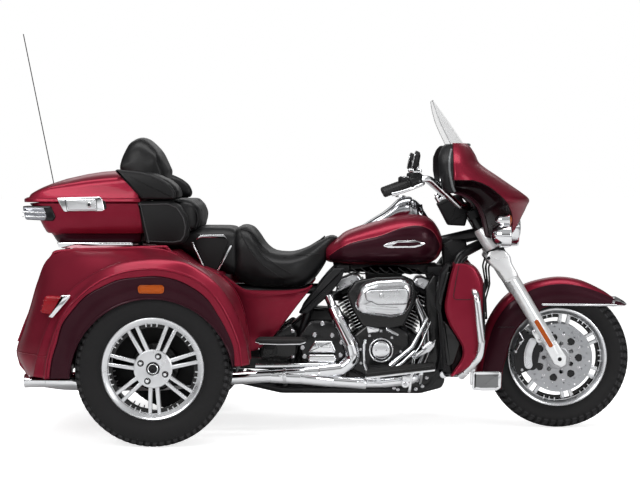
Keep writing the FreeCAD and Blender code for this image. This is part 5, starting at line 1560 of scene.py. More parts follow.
    def brakes(self) -> None:
        """Bean-shaped insert, bolts and pipe fitting on each caliper."""
        dress("front_brake_calipers", GLOSS_BLACK)
        arc, cap = np.radians(np.linspace(148, 193, 16)), np.linspace(0, math.pi, 9)[1:-1]
        middle = 131.0
        ends = arc_points(AXLE, middle, arc[[0, -1]])
        beans, fittings, mounts = [], [], []
        for side in (-1, 1):
            for width, reach, low in ((17.0, 8, 90), (11.5, 5, 97)):
                outline = np.concatenate([arc_points(AXLE, middle + width, arc), arc_points(ends[1], width,
                    arc[-1] + cap), arc_points(AXLE, middle - width, arc[::-1]), arc_points(ends[0], width,
                    arc[0] + math.pi + cap)])
                beans.append(plate(outline, side * low, side * (low + reach), 2.0))
            pipe = [(851, side * 96, 416), (870, side * 97, 382), (856, side * 97, 368),
                (838, side * 95, 334)]
            fittings.append(tube(pipe, 3.2, 8, sides=8))
            places = [(856, side * 92.0, 368), (837, side * 92.0, 332), (864, side * 88.0, 254)]
            fittings.append(studs(places, (0, side, 0), 6.5, 7, 12))
            wing = np.radians(np.linspace(141, 203, 30))
            bow = np.concatenate([arc_points(AXLE, r, turn_way) for r, turn_way in ((190, wing),
                (120, wing[::-1]))])
            mounts.append(plate(resampled(bow, 90, closed=True), side * 79, side * 88, 3))
        steered("caliper_mounts", mounts, GLOSS_BLACK)
        steered("caliper_inserts", beans, SILVER)
        steered("caliper_fittings", fittings, BOLT_STEEL)


@dataclass
class Fairing:
    """Fork-mounted fairing with a scooped side, inner panel with dials, windshield and lamps."""

    rear: float = 557.0
    power: float = 2.3
    rows: Points = ((812, 828, 132), (850, 848, 180), (891, 864, 228), (915, 872, 262), (950, 886, 318),
        (980, 897, 366), (1008, 866, 388), (1034, 828, 398), (1060, 790, 401), (1085, 753, 400),
        (1112, 712, 393), (1138, 680, 382), (1168, 666, 355), (1190, 653, 328), (1206, 642, 304),
        (1214, 633, 288))
    arc: Points = ((560, 1066), (633, 1065), (697, 1043), (756, 1000), (796, 956), (818, 900), (819, 840),
        (812, 812))
    rim: Points = ((560, 1012), (596, 1004), (628, 986), (655, 958), (676, 915), (690, 868), (702, 830),
        (742, 812))
    rim_y: tuple[float, ...] = (-384, -378, -366, -344, -304, -250, -196, -134)
    top: float = 1214.0
    foot: float = 812.0
    lamp_z: float = 862.0
    lamp_r: float = 84.0

    def at(self, theta: Array, z: Array, inset: Array | float = 0.0) -> Array:
        """Surface point: x = rear + length sin(theta)^(2/p), y = -half cos(theta)^(2/p), at height z.

        Args: p is the power; theta is 0 at the right side and a half turn at the left; inset pulls
        the surface in.
        Returns: points (..., 3).
        """
        rows = spline(self.rows, 120)
        length = np.interp(z, rows[:, 0], rows[:, 1]) - inset - self.rear
        half = np.interp(z, rows[:, 0], rows[:, 2]) - inset
        x = self.rear + length * np.abs(np.sin(theta)) ** (2 / self.power)
        y = -half * bowed(np.cos(theta), 2 / self.power)
        return np.stack([x, y, np.broadcast_to(z, x.shape)], -1)

    def lowest(self, theta: float) -> float:
        """Height at which a column meets the scoop's arc, or the bottom edge.

        Args: theta is the column's angle.
        Returns: the height.
        """
        arc = spline(self.arc, 160)
        for z in np.linspace(1065, self.foot, 254):
            x = self.at(np.array([theta]), np.array([z]))[0, 0]
            if x < np.interp(z, arc[::-1, 1], arc[::-1, 0]):
                return float(z)
        return self.foot

    def build(self) -> None:
        """Make the fairing and what it carries."""
        self.shell()
        self.dash()
        self.glass()
        self.lamps()

    def shell(self) -> None:
        """Outer shell down to the scoop, its rolled top, the scoop and the rim below it; the scoop's maroon
        is darkened as painted shade.
        """
        theta = np.concatenate([np.linspace(0, 0.2, 6), np.linspace(0.2, math.pi / 2, 54)[1:]])
        low = np.array([self.lowest(t) for t in theta])
        theta = np.concatenate([theta, math.pi - theta[-2::-1]])
        low = np.concatenate([low, low[-2::-1]])
        share = np.linspace(0, 1, 46)[:, None]
        z = low[None] * (1 - share) + self.top * share
        grid = [*self.at(np.broadcast_to(theta, z.shape), z)]
        grid.insert(0, self.at(theta, low + 0.5, 9.0))
        for rise, inset in ((3, 3.0), (4, 8.0), (3, 15.0), (-8, 19.0)):
            grid.append(self.at(theta, np.full(theta.shape, self.top + rise), inset))
        shape = sheet(grid)
        walled(steered("fairing_skin", self.bored(shape, self.lamp_z, self.lamp_r), RED, ("fairing_outer",),
            sharp=50), 3.0)
        arc = spline(self.arc, 60)
        edge = []
        for x, height in arc:
            best = min(np.linspace(0, math.pi / 2, 180), key=lambda t: abs(self.at(np.array([t]),
                np.array([height]), 5.0)[0, 0] - x))
            edge.append(self.at(np.array([best]), np.array([height]), 5.0)[0])
        upper = resampled(edge, 60)
        lower = resampled(np.column_stack([np.array(self.rim)[:, 0], self.rim_y, np.array(self.rim)[:, 1]]),
            60)
        lower = spline(lower[::6], 60)
        # The scoop's maroon is far darker than the rim's: the paint is the same, the extra dark is painted
        # shade in the recess.
        for name, first, last, finish in (("fairing_scoop", 0.0, 0.9, SCOOP_SHADE), ("fairing_rim", 0.9, 1.0,
                MAROON)):
            t = np.linspace(first, last, 20)[:, None, None]
            face = upper[None] * (1 - t) + lower[None] * t
            face[..., 1] += 4 * t[..., 0] * (1 - t[..., 0]) * 52
            walled(steered(name, both(sheet(face)), finish, sharp=60), 2.5)
        bead = tube(lower, 4.0, sides=8)
        steered("fairing_rim_bead", both(bead), MAROON)

    @staticmethod
    def bored(shape: Shape, height: float, radius: float) -> Shape:
        """Cut a round hole in the front: points inside move out to the circle, faces inside go.

        Args: height is the hole's middle and radius its size.
        Returns: the shape with its hole.
        """
        verts = shape.verts.copy()
        away = np.hypot(verts[:, 1], verts[:, 2] - height)
        inside = (away < radius) & (verts[:, 0] > 700)
        faces = [face for face in shape.faces if not all(inside[i] for i in face)]
        grow = np.where(inside, radius / np.maximum(away, 1.0), 1.0)
        verts[:, 1] *= grow
        verts[:, 2] = height + (verts[:, 2] - height) * grow
        used = sorted({i for face in faces for i in face})
        place = {old: new for new, old in enumerate(used)}
        return Shape(verts[used], [[place[i] for i in face] for face in faces])

    def dash(self) -> None:
        """Black inner panel: bulged rims at the sides, dials and speakers facing the rider."""
        rows = spline(self.rows, 120)
        grid = []
        for z in np.linspace(1012, 1211, 30):
            half = np.interp(z, rows[:, 0], rows[:, 2]) - 5
            share = np.linspace(-1, 1, 64)
            back = np.interp(z, [1005, 1030, 1104, 1161, 1195, 1214], [540, 519, 505, 504, 518, 536])
            bulge = np.exp(-((np.abs(share) - 0.93) / 0.10) ** 2)
            x = 556 - (556 - back) * bulge + 8 * np.cos(share * math.pi)
            x = np.where(np.abs(share) > 0.93, back + (562 - back) * ((np.abs(share) - 0.93) / 0.07) ** 2, x)
            grid.append(np.stack([x, share * half, np.full(64, z)], -1))
        walled(steered("fairing_inner_skin", sheet(grid), SATIN_BLACK, ("fairing_inner",), sharp=60), 3.0)
        trims = []
        for side in (-1, 1):
            line = [(550, 1190), (541, 1150), (541, 1100), (552, 1040), (562, 1018)]
            halves = [np.interp(z, rows[:, 0], rows[:, 2]) for _, z in line]
            path = [(x, side * (half + 0.5), z) for (x, z), half in zip(line, halves)]
            trims.append(tube(spline(path, 30), 5.5, sides=10))
        steered("fairing_side_trim", trims, SILVER_GREY)
        rims, faces, hands, cones = [], [], [], []
        for y, z, r in ((-62, 1128, 42), (62, 1128, 42), (-150, 1134, 26), (150, 1134, 26), (-148, 1074, 24),
                (148, 1074, 24)):
            x = 540.0
            rims.append(spun(rounded([(-12, r + 4), (8, r + 4), (8, r), (-9, r - 2)], 1.5, 2), (x, y, z), "x",
                36, True))
            faces.append(rod((x + 2, y, z), (x + 6, y, z), r + 1, 0.5, 36))
            hands.append(tube([(x, y, z), (x, y + r * 0.5, z + r * 0.55)], [2.0, 0.8], sides=6))
            hands.append(rod((x - 2, y, z), (x + 2, y, z), 5, 1, 16))
            ticks = np.radians(np.linspace(-40, 220, 11))
            hands.append(studs([(x + 1.8, y + (r - 6) * math.cos(t), z + (r - 6) * math.sin(t))
                for t in ticks], (-1, 0, 0), 1.6, 0.6, 6))
        screen = block((536, 552), (-74, 74), (1030, 1078), 4)
        for side in (-1, 1):
            centre = (532, side * 262, 1090)
            rims.append(spun(rounded([(-6, 58), (10, 58), (10, 50), (-4, 50)], 2, 2), centre, "x", 44, True))
            for k in range(-4, 5):
                reach = math.sqrt(52**2 - (k * 11.0) ** 2)
                cones.append(rod((531, centre[1] - reach, 1090 + k * 11),
                    (531, centre[1] + reach, 1090 + k * 11), 2.2, 0.5, 8))
            cones.append(rod((538, centre[1], 1090), (544, centre[1], 1090), 54, 1, 40))
        steered("dial_rims", rims, CHROME)
        steered("dial_faces", faces, DIAL)
        steered("dial_hands", hands, SATIN_CHROME)
        steered("speaker_bars", cones, SATIN_BLACK)
        steered("dash_screen", screen, GLOSS_BLACK)

    def glass(self) -> None:
        """Bowed windshield, a spline through five bows, with a grey cord on its edge that paints the line of
        light the clear edge shows, and its fixing strip.
        """
        grid = []
        for z, middle, side, half in ((1196, 633, 560, 258), (1300, 562, 510, 236), (1362, 517, 489, 188),
                (1390, 496, 482, 132), (1402, 487, 478, 92)):
            y = np.linspace(-1, 1, 48)
            grid.append(np.stack([side + (middle - side) * (1 - y * y), y * half, np.full(48, float(z))], -1))
        pane = spline(grid, 36)
        walled(steered("windshield_glass", sheet(pane), SCREEN, ("windshield",), sharp=60), 4.0)
        edge = np.concatenate([pane[:, 0], pane[-1, 1:-1], pane[::-1, -1]])
        # Grey cord on the glass edge: a painted highlight for the line of light the clear edge shows.
        steered("windshield_painted_edge_line", tube(edge, 0.9, sides=8), SILVER_GREY)
        strip = [(side, y) for side, y in zip(572 + 66 * (1 - np.linspace(-1, 1, 40) ** 2),
            np.linspace(-250, 250, 40))]
        steered("windshield_strip", tube([(x + 3, y, 1213) for x, y in strip], 6.0, sides=10), GLOSS_BLACK)

    def lamps(self) -> None:
        """Headlamp in its ring, spot lamps, signals and their bar."""
        centre = (0.0, 0.0, 862.0)
        ring = spun(rounded([(800, 74), (800, 83.4), (846, 83.4), (853, 80), (851, 74), (838, 72)], 2, 3),
            centre, "x", 72, True)
        bowl = spun(spline([(838, 73), (822, 70), (806, 52), (800, 24), (800, 1)], 24), centre, "x", 60)
        lens = spun(spline([(840, 73), (850, 60), (860, 34), (864, 1)], 18), centre, "x", 60)
        steered("headlamp_ring", ring, CHROME, ("headlamp",))
        steered("headlamp_bowl", bowl, CHROME)
        walled(steered("headlamp_lens", lens, LAMP_GLASS), 2.5)
        shells, glasses, ambers, arms = [], [], [], []
        for side in (-1, 1):
            y = side * 245.0
            cup = spline([(722, 1), (724, 18), (736, 36), (760, 45), (786, 47.5), (799, 47.5)], 26)
            shells.append(spun(np.concatenate([cup, [(803, 45), (801, 42), (788, 41), (770, 30), (764, 1)]]),
                (0.0, y, 833.0), "x", 52))
            glasses.append(spun(spline([(797, 42.5), (803, 30), (807, 1)], 12), (0.0, y, 833.0), "x", 44))
            shell = spline([(736, 1), (738, 9), (750, 19), (770, 24), (796, 25)], 20)
            shells.append(spun(np.concatenate([shell, [(798, 23), (794, 22), (790, 1)]]), (0.0, y, 898.0),
                "x", 40))
            ambers.append(spun(spline([(795, 22.5), (803, 17), (808, 1)], 10), (0.0, y, 898.0), "x", 36))
            arms.append(tube([(758, y, 792), (762, y, 850), (766, y, 892)], 10, sides=16))
            arms.append(rod((756, y - 18, 791), (756, y + 18, 791), 7, 2))
            arms.append(tube([(752, y, 800), (770, side * 190, 792), (794, side * 130, 790),
                (800, side * 40, 792)], [13, 13, 12, 10], sides=16))
            arms.append(block((716, 800), (side * 76, side * 92), (783, 810), 4))
        arms.append(block((768, 812), (-60, 60), (780, 800), 6))
        steered("lamp_shells", shells + arms, CHROME, ("lamp_bar",))
        steered("spot_glass", glasses, LAMP_GLASS)
        steered("signal_glass", ambers, AMBER_LENS)


@dataclass
class Controls:
    """Handlebar, grips, levers, switch housings and mirrors."""

    bar: Points = ((636, 0, 949), (590, 215, 955), (452, 385, 1078), (276, 432, 1012))

    def build(self) -> None:
        """Make the bar and everything clamped to it, on both sides."""
        right = np.array(self.bar, float) * [1, -1, 1]
        whole = np.concatenate([right[::-1], np.array(self.bar, float)[1:]])
        steered("handlebar_tube", tube(whole, 13, 60, sides=18, steps=10), CHROME, ("handlebar",))
        bend, tip = right[2], right[3]
        way = (tip - bend) / np.linalg.norm(tip - bend)
        grips, black, bright, glass, chrome = [], [], [], [], []
        start = tip - way * 104
        grips.append(rod(tuple(start), tuple(tip + way * 8), 16.6, 4, 30))
        for k in range(9):
            at = start + way * (8 + 11 * k)
            grips.append(rod(tuple(at), tuple(at + way * 6), 17.4, 1.5, 30))
        grips.append(rod(tuple(start - way * 4), tuple(start + way * 3), 20.5, 2, 30))
        black.append(rod(tuple(tip - way * 163), tuple(tip - way * 110), 23, 5, 28))
        x, y, z = bend + (tip - bend) * 0.28
        black.append(block((x - 22, x + 26), (y - 16, y + 22), (z + 4, z + 34), 7))
        black.append(block((x - 60, x - 14), (y - 12, y + 16), (z - 12, z + 16), 6))
        for k in range(3):
            bright.append(block((x - 52 + 15 * k, x - 44 + 15 * k), (y - 13, y + 5), (z + 15, z + 19), 1.5))
        chrome.append(block((x - 16, x + 24), (y - 18, y + 20), (z + 34, z + 52), 6))
        bright.append(studs([(x - 8, y - 10, z + 52), (x + 16, y + 12, z + 52)], (0, 0, 1), 3.5, 2, 12))
        lever = np.array([(x + 12, y - 8, z), (x + 28, y - 40, z - 8), (x - 8, y - 70, z - 24),
            (x - 60, y - 84, z - 42), (x - 100, y - 90, z - 52)])
        chrome.append(tube(spline(lever, 30), [9, 8, 7, 6.5, 6.5, 8], sides=14))
        stem = np.array([(x + 6, y, z + 48), (x + 8, y - 2, z + 72), (x + 2, y - 24, z + 90),
            (x, y - 52, z + 92)])
        chrome.append(tube(spline(stem, 24), 6, sides=12))
        angle = circle(56)
        shell, rounds = [], ((-13, 0.25), (-12, 0.6), (-6, 0.92), (4, 1.0), (9, 1.0), (11, 0.97))
        for depth, size in rounds:
            flat = np.stack([-66 * size * bowed(np.cos(angle), 0.72), 38 * size * bowed(np.sin(angle), 0.8)],
                1)
            shell.append(lift(flat, -depth, "x"))
        cup = solid(shell).moved(x, y - 74, z + 86)
        black.append(cup.turned((x, y - 74, z + 86), (0, 1, 0), 12))
        flat = np.stack([-62 * bowed(np.cos(angle), 0.72), 34 * bowed(np.sin(angle), 0.8)], 1)
        pane = plate(flat, -12.6, -10.6, 0.5, axis="x").moved(x, y - 74, z + 86)
        glass.append(pane.turned((x, y - 74, z + 86), (0, 1, 0), 12))
        for name, shapes, finish, stands in (("grip_rubbers", grips, RUBBER, ("grips",)),
                ("switch_housings", black, SATIN_BLACK, ("hand_controls",)), ("switch_buttons", bright,
                SATIN_CHROME, ()), ("levers", chrome, CHROME, ()), ("mirror_panes", glass, MIRROR, ())):
            steered(name, both(shapes), finish, stands)
        clamp = [block((612, 646), (-50, 50), (930, 968), 8)]
        steered("bar_clamp", clamp, GLOSS_BLACK)


# ---- tank, seats and panels ----------------------------------------------------------------------
@dataclass
class Hull:
    """Closed body through sections (station, low, high, half width) along X.

    A section is y = half |cos a|^(2/n), z = middle + reach |sin a|^(2/n), with their signs and n the
    power.
    """

    rows: Points
    power: float = 2.6
    flank: float = 0.985
    brink: float = 0.99

    def shape(self, count: int = 90, sides: int = 72) -> Shape:
        """The hull's surface.

        Args: count sections, each of sides points.
        Returns: the closed shape.
        """
        a = circle(sides)
        grid = []
        for x, low, high, half in spline(self.rows, count):
            y = half * bowed(np.cos(a), 2 / self.power)
            z = (low + high) / 2 + (high - low) / 2 * bowed(np.sin(a), 2 / self.power)
            grid.append(np.stack([np.full(sides, x), y, z], 1))
        return solid(grid)

    def side(self, x: Array, z: Array) -> Array:
        """Half width at a station and height.

        Args: x and z are arrays of one length.
        Returns: half widths.
        """
        rows = spline(self.rows, 200)
        low, high, half = (np.interp(x, rows[:, 0], rows[:, k]) for k in (1, 2, 3))
        t = np.clip(np.abs(2 * z - low - high) / (high - low), 0, self.flank)
        return half * (1 - t**self.power) ** (1 / self.power)

    def crown(self, x: float, y: float) -> float:
        """Height of the upper surface at a station and offset.

        Args: x and y are the place in plan.
        Returns: the height.
        """
        rows = spline(self.rows, 200)
        low, high, half = (np.interp(x, rows[:, 0], rows[:, k]) for k in (1, 2, 3))
        rise = (1 - min(abs(y) / half, self.brink)**self.power) ** (1 / self.power)
        return (low + high + (high - low) * rise) / 2

    def line(self, points: Points, radius: float, out: float = 0.0, count: int = 50) -> Shape:
        """Cord that lies on both sides of the hull along side-view points.

        Args: points are (x, z); out lifts the cord off the surface; count is its points.
        Returns: both cords as one shape.
        """
        flat = spline(points, count)
        path = np.stack([flat[:, 0], -self.side(flat[:, 0], flat[:, 1]) - out, flat[:, 1]], 1)
        return both(tube(path, radius, sides=8))


@dataclass
class Tank:
    """Two-tone fuel tank with its console."""

    hull: Hull = field(default_factory=lambda: Hull([(26, 728, 768, 84), (34, 713, 786, 120),
        (76, 706, 815, 148), (120, 701, 846, 166), (240, 699, 888, 184), (345, 699, 915, 190),
        (436, 701, 914, 183), (480, 711, 893, 163), (506, 730, 860, 132), (519, 752, 832, 96),
        (525, 772, 812, 50)], 2.7))
    upper: Points = ((44, 745), (84, 773), (131, 796), (190, 813), (257, 829), (336, 859), (405, 872),
        (457, 862), (488, 838), (510, 795))
    lower: Points = ((44, 722), (84, 719), (145, 716), (210, 714), (286, 712), (340, 712), (400, 713),
        (450, 718), (488, 736), (510, 780))

    def build(self) -> None:
        """Make the tank, its side panels, the console and the dark pieces round them."""
        made("tank_body", self.hull.shape(110, 84), RED, stands=("fuel_tank",), sharp=60)
        top, low = (spline(line, 70) for line in (self.upper, self.lower))
        t = np.linspace(0, 1, 24)[:, None, None]
        flat = top[None] * (1 - t) + low[None] * t
        y = -self.hull.side(flat[..., 0], flat[..., 1]) - 0.9
        panel = sheet(np.stack([flat[..., 0], y, flat[..., 1]], -1))
        walled(made("tank_panels", both(panel), MAROON, sharp=60), 1.6, 0.0)
        edge = np.concatenate([self.upper, self.lower[-2::-1]])
        made("tank_lines", self.hull.line([tuple(p) for p in edge[:10]], 1.5, 1.0, 80), THREAD_RED)
        spear = rounded([(264, 786), (292, 800), (330, 808), (404, 811), (456, 797), (428, 785), (404, 779),
            (296, 778)], 5)
        spear = plate(resampled(spear, 70, closed=True), -4, 0, 1.5)
        spear.verts[:, 1] -= self.hull.side(spear.verts[:, 0], spear.verts[:, 2]) - 0.5
        inner = plate(resampled(offset(rounded([(300, 784), (400, 785), (430, 796), (400, 804), (330, 802)],
            4), 1), 50, closed=True), -5.5, 0, 1.0)
        inner.verts[:, 1] -= self.hull.side(inner.verts[:, 0], inner.verts[:, 2]) - 0.5
        made("tank_spears", both(spear), CHROME)
        made("tank_spear_fields", both(inner), MAROON)
        cap = Hull([(90, 782, 806, 22), (98, 774, 815, 38), (176, 800, 866, 46), (232, 840, 902, 52),
            (268, 862, 924, 56), (304, 880, 952, 60), (334, 890, 980, 62), (362, 895, 991, 60),
            (388, 900, 992, 52), (396, 905, 986, 42)], 2.5)
        made("console_cap", cap.shape(90, 60), SHADED_CHROME, stands=("tank_console",), sharp=60)
        front = Hull([(378, 880, 986, 50), (400, 870, 981, 50), (424, 860, 963, 47), (446, 850, 934, 43),
            (468, 838, 900, 38), (484, 832, 874, 26)], 2.9)
        made("console_front", front.shape(60, 48), SHADED_CHROME, sharp=60)
        slots = [front.line([(x, 892), (x - 4, 925), (x - 8, 958)], 4.5, -1.5, 14) for x in (404, 424, 444)]
        made("console_slots", slots, GLOSS_BLACK)
        ribs = [front.line([(x, 905), (x - 1, 940), (x - 2, 970)], 2.6, 0.6, 14) for x in (392, 400)]
        ribs += [rod((346, 0, 989), (346, 0, 995), 24, 2, 32), rod((346, 0, 994), (346, 0, 997), 18, 1, 32)]
        made("console_trim", ribs, CHROME)
        strap = [Hull([(400, 868, 983, 30), (424, 856, 965.5, 27), (446, 846, 936.5, 23)], 2.9).shape(24, 36)]
        made("console_strap", strap, LEATHER)
        neck = plate([(522, 790), (566, 812), (628, 798), (636, 730), (600, 690), (530, 690)], -58, 58, 12,
            12)
        made("neck_cover", neck, SATIN_BLACK)
        under = [plate([(60, 672), (90, 704), (500, 706), (516, 650), (440, 664), (330, 690), (230, 690),
            (110, 664)], -66, 66, 8, 8), plate([(200, 600), (350, 600), (356, 690), (192, 690)], -60, 60, 10,
            10), block((455, 530), (-92, 92), (640, 700), 10), block((70, 130), (-96, 96), (668, 704), 8)]
        made("induction_block", under, SATIN_BLACK)
        wires = [tube(spline([(96 + 40 * k, -100, 690), (120 + 40 * k, -108, 672), (150 + 40 * k, -100, 664),
            (176 + 40 * k, -84, 676)], 16), 3.2, sides=8) for k in range(9)]
        made("under_tank_looms", both(wires), RUBBER)
        lower_dash = plate([(500, 962), (550, 990), (600, 1002), (640, 930), (622, 866), (548, 870)], -56, 56,
            10, 8)
        steered("lower_dash", lower_dash, SATIN_BLACK)
        knob = [rod((520, 0, 966), (504, 0, 994), 15, 3, 28), rod((505, 0, 992), (499, 0, 1003), 9, 2, 20),
            block((520, 560), (-40, 40), (975, 992), 5)]
        steered("ignition_switch", knob, CHROME)


@dataclass
class Seats:
    """Rider's and passenger's seats in stitched leather."""

    rider: Hull = field(default_factory=lambda: Hull([(-356, 668, 838, 160), (-352, 645, 858, 176),
        (-336, 630, 874, 188), (-310, 620, 875, 196), (-284, 614, 860, 202), (-262, 612, 828, 207),
        (-240, 611, 790, 211), (-214, 611, 764, 213), (-185, 611, 751, 214), (-127, 611, 747, 208),
        (-83, 614, 757, 194), (-39, 630, 777, 166), (10, 694, 814, 120), (44, 764, 831, 84),
        (66, 792, 827, 58), (76, 804, 818, 26)], 3.4))
    pillion: Hull = field(default_factory=lambda: Hull([(-700, 786, 850, 180), (-690, 778, 858, 194),
        (-600, 772, 862, 204), (-540, 742, 862, 207), (-470, 700, 862, 206), (-420, 680, 862, 202),
        (-380, 660, 861, 194), (-352, 652, 856, 184), (-344, 660, 846, 170)], 4.2))

    def build(self) -> None:
        """Swell both pads, then lay their seams, piping and trims on them."""
        Upholstery("rider_cushion", self.rider.shape(70, 72), Rides.CHASSIS, ("rider_seat",), 8.0,
            7.0).build()
        Upholstery("pillion_cushion", self.pillion.shape(60, 72), Rides.CHASSIS, ("pillion_seat",), 8.0,
            6.0).build()
        seams = [self.rider.line([(-332, 846), (-292, 770), (-240, 712), (-185, 672), (-150, 652)], 2.2, 1.5),
            self.rider.line([(-268, 800), (-236, 752), (-200, 722), (-150, 690), (-112, 668)], 2.0, 1.5),
            self.rider.line([(-150, 736), (-100, 744), (-50, 752), (6, 748)], 1.8, 1.5)]
        rim = [(x, y) for x, y in zip((-330, -280, -226, -160, -90, -30, 20), (150, 158, 150, 136, 110, 76,
            44))]
        for side in (-1, 1):
            path = [(x, side * y, self.rider.crown(x, y)) for x, y in rim]
            seams.append(tube(spline(path, 60), 2.5, sides=8))
        for hull, x in ((self.rider, -252), (self.pillion, -620), (self.pillion, -520), (self.pillion, -430)):
            path = [(x, y, hull.crown(x, y)) for y in np.linspace(-150, 150, 24)]
            seams.append(tube(path, 2.5, sides=8))
        made("seat_seams", seams, THREAD)
        bars = [(((-519, 812), (-500, 833), (-400, 835), (-385, 817), (-397, 822), (-492, 822)), 2.0),
            (((-535, 802), (-529, 804), (-476, 686), (-480, 682)), 1.0), (((-372, 790), (-364, 788),
            (-421, 683), (-426, 685)), 1.0)]
        trims = []
        for flat, edge in bars:
            shape = plate(list(flat), -4, 2, edge, 1.5)
            shape.verts[:, 1] -= 214.0
            trims.append(shape)
        made("seat_trims", both(trims), CHROME)
        insert = plate([(-524, 806), (-502, 826), (-398, 828), (-378, 808), (-428, 688), (-474, 688)], -4, 4,
            2, 6)
        insert.verts[:, 1] -= 210.0
        made("seat_side_inserts", both(insert), POD_CLOTH)


@dataclass
class Panels:
    """Painted and black panels between the wheels, with boards, guard and pedals."""

    def build(self) -> None:
        """Make the panels and fittings."""
        self.painted()
        self.lowers()
        self.boards()

    def painted(self) -> None:
        """Side panels, frame covers and the black covers over the pivots."""
        upper = [(-474, 702), (-430, 684), (-380, 654), (-334, 618), (-296, 602), (-200, 599), (-110, 602),
            (-55, 610), (-26, 624)]
        lower = [(-386, 346), (-336, 346), (-292, 348), (-256, 356), (-222, 384), (-185, 417), (-140, 475),
            (-85, 548), (-29, 618)]
        top, low = (spline(line, 60) for line in (upper, lower))
        grid = []
        for t, y in ((0.0, 246), (0.0, 262), (0.012, 267), (0.05, 267), (0.1, 262), (0.2, 254), (0.4, 249),
                (0.6, 247), (0.8, 247), (0.97, 244), (1.0, 238), (1.0, 226)):
            flat = top * (1 - t) + low * t
            grid.append(lift(flat, -y))
        walled(made("side_panel_skins", both(sheet(grid)), RED, stands=("side_panels",), sharp=45), 3.0)
        cover = [(112, 694), (60, 692), (24, 655), (-76, 522), (-88, 500), (-48, 499), (38, 573), (94, 642)]
        made("frame_cover_shells", both(plate(cover, -192, -148, 9, [8, 14, 24, 14, 8, 12, 26, 20])),
            SATIN_BLACK, stands=("frame_covers",), sharp=50)
        pivot = [plate([(-252, 318), (-214, 300), (-140, 300), (-96, 330), (-92, 420), (-120, 462),
            (-190, 412), (-250, 388)], -214, -176, 8, 20), rod((-205, -220, 346), (-205, -212, 346), 30, 4,
            40), rod((-205, -224, 346), (-205, -218, 346), 18, 3, 30)]
        ahead = plate([(438, 300), (474, 264), (526, 266), (512, 470), (524, 640), (486, 668), (446, 600),
            (456, 450)], -112, -20, 10, 14)
        made("front_covers", both(ahead), BARREL_BLACK)
        made("pivot_covers", both(pivot), BARREL_BLACK)
        made("pivot_bolts", both(studs([(-186, -214, 388), (-110, -214, 430), (-110, -214, 320)], (0, -1, 0),
            8, 6, 12)), BOLT_STEEL)
        creases = tube([(-60, -192.5, 512), (20, -192.5, 590), (84, -192.5, 664), (98, -192.5, 688)], 1.6, 20,
            sides=6)
        made("frame_cover_creases", both(creases), GLOSS_BLACK)

    def lowers(self) -> None:
        """Painted lower fairings, their doors, grilles, black housings and the chrome guard."""
        ahead = [(612, 722), (650, 708), (672, 676), (686, 633), (686, 560), (683, 480), (680, 399),
            (668, 346), (630, 300), (597, 279), (556, 258)]
        behind = [(564, 722), (552, 690), (541, 650), (529, 590), (523, 546), (530, 500), (546, 466),
            (576, 420), (597, 382), (600, 335), (548, 257)]
        front, rear = (spline(resampled(line, 15), 70) for line in (ahead, behind))
        grid = []
        for t, y in ((0.0, 206), (0.0, 372), (0.03, 385), (0.1, 390), (0.3, 392), (0.6, 393), (0.82, 391),
                (0.92, 385), (0.985, 366), (1.0, 340), (0.99, 206)):
            grid.append(lift(rear * (1 - t) + front * t, -y))
        crown = spline(grid, 44)
        walled(made("lower_skins", both(sheet(crown)), RED, stands=("lower_fairings",), sharp=60), 3.0)
        top = plate([(566, 712), (610, 716), (650, 702), (668, 676), (560, 676)], -384, -210, 6,
            [4, 10, 16, 4, 4])
        made("lower_tops", both(top), RED)
        seam = tube(lift(rounded([(580, 714), (567, 650), (558, 592), (560, 578), (572, 575), (622, 575),
            (650, 584)], 6, 4, False), -392.6), 1.5, sides=6)
        lock = rod((640, -394.5, 600), (640, -390, 600), 7, 1, 20)
        made("lower_door_seams", both([seam, lock]), FRAME_BLACK)
        inner = [(536, 719), (507, 678), (482, 543), (500, 508), (517, 274), (556, 262), (600, 332),
            (588, 384), (538, 466), (520, 524), (524, 566), (556, 716)]
        housing = plate(inner, -352, -206, 12, [10, 24, 24, 20, 12, 8, 40, 60, 60, 40, 40, 10])
        made("radiator_housings", both(housing), SATIN_BLACK, stands=("radiators",), sharp=50)
        trim = [plate([(548, 690), (530, 684), (494, 560), (512, 540), (524, 600)], -362, -340, 6, 12),
            plate([(512, 500), (560, 446), (590, 392), (560, 300), (530, 300)], -374, -340, 10, 24)]
        made("radiator_trims", both(trim), BARREL_BLACK)
        bars = [rod((687 - 0.00025 * (z - 520) ** 2, -368, z), (687 - 0.00025 * (z - 520) ** 2, -226, z), 4.5,
            1, 8) for z in range(420, 630, 15)]
        bars.append(tube([(684, y, z) for y, z in rounded([(-374, 408), (-220, 408), (-220, 636),
            (-374, 636)], 16)], 5, sides=8, closed=True))
        made("radiator_grilles", both(bars), SATIN_BLACK)
        guard = [(548, -126, 600), (600, -260, 612), (648, -412, 612), (671, -412, 400), (664, -412, 340),
            (600, -330, 262), (540, -200, 250), (524, -136, 262)]
        made("guard_tubes", both(tube(guard, 15, 50, sides=20, steps=10)), CHROME, stands=("engine_guard",))
        clamps = [rod((590, -318, 252), (612, -346, 276), 18, 3), rod((530, -176, 243), (522, -140, 252), 19,
            3)]
        made("guard_clamps", both(clamps), CHROME)

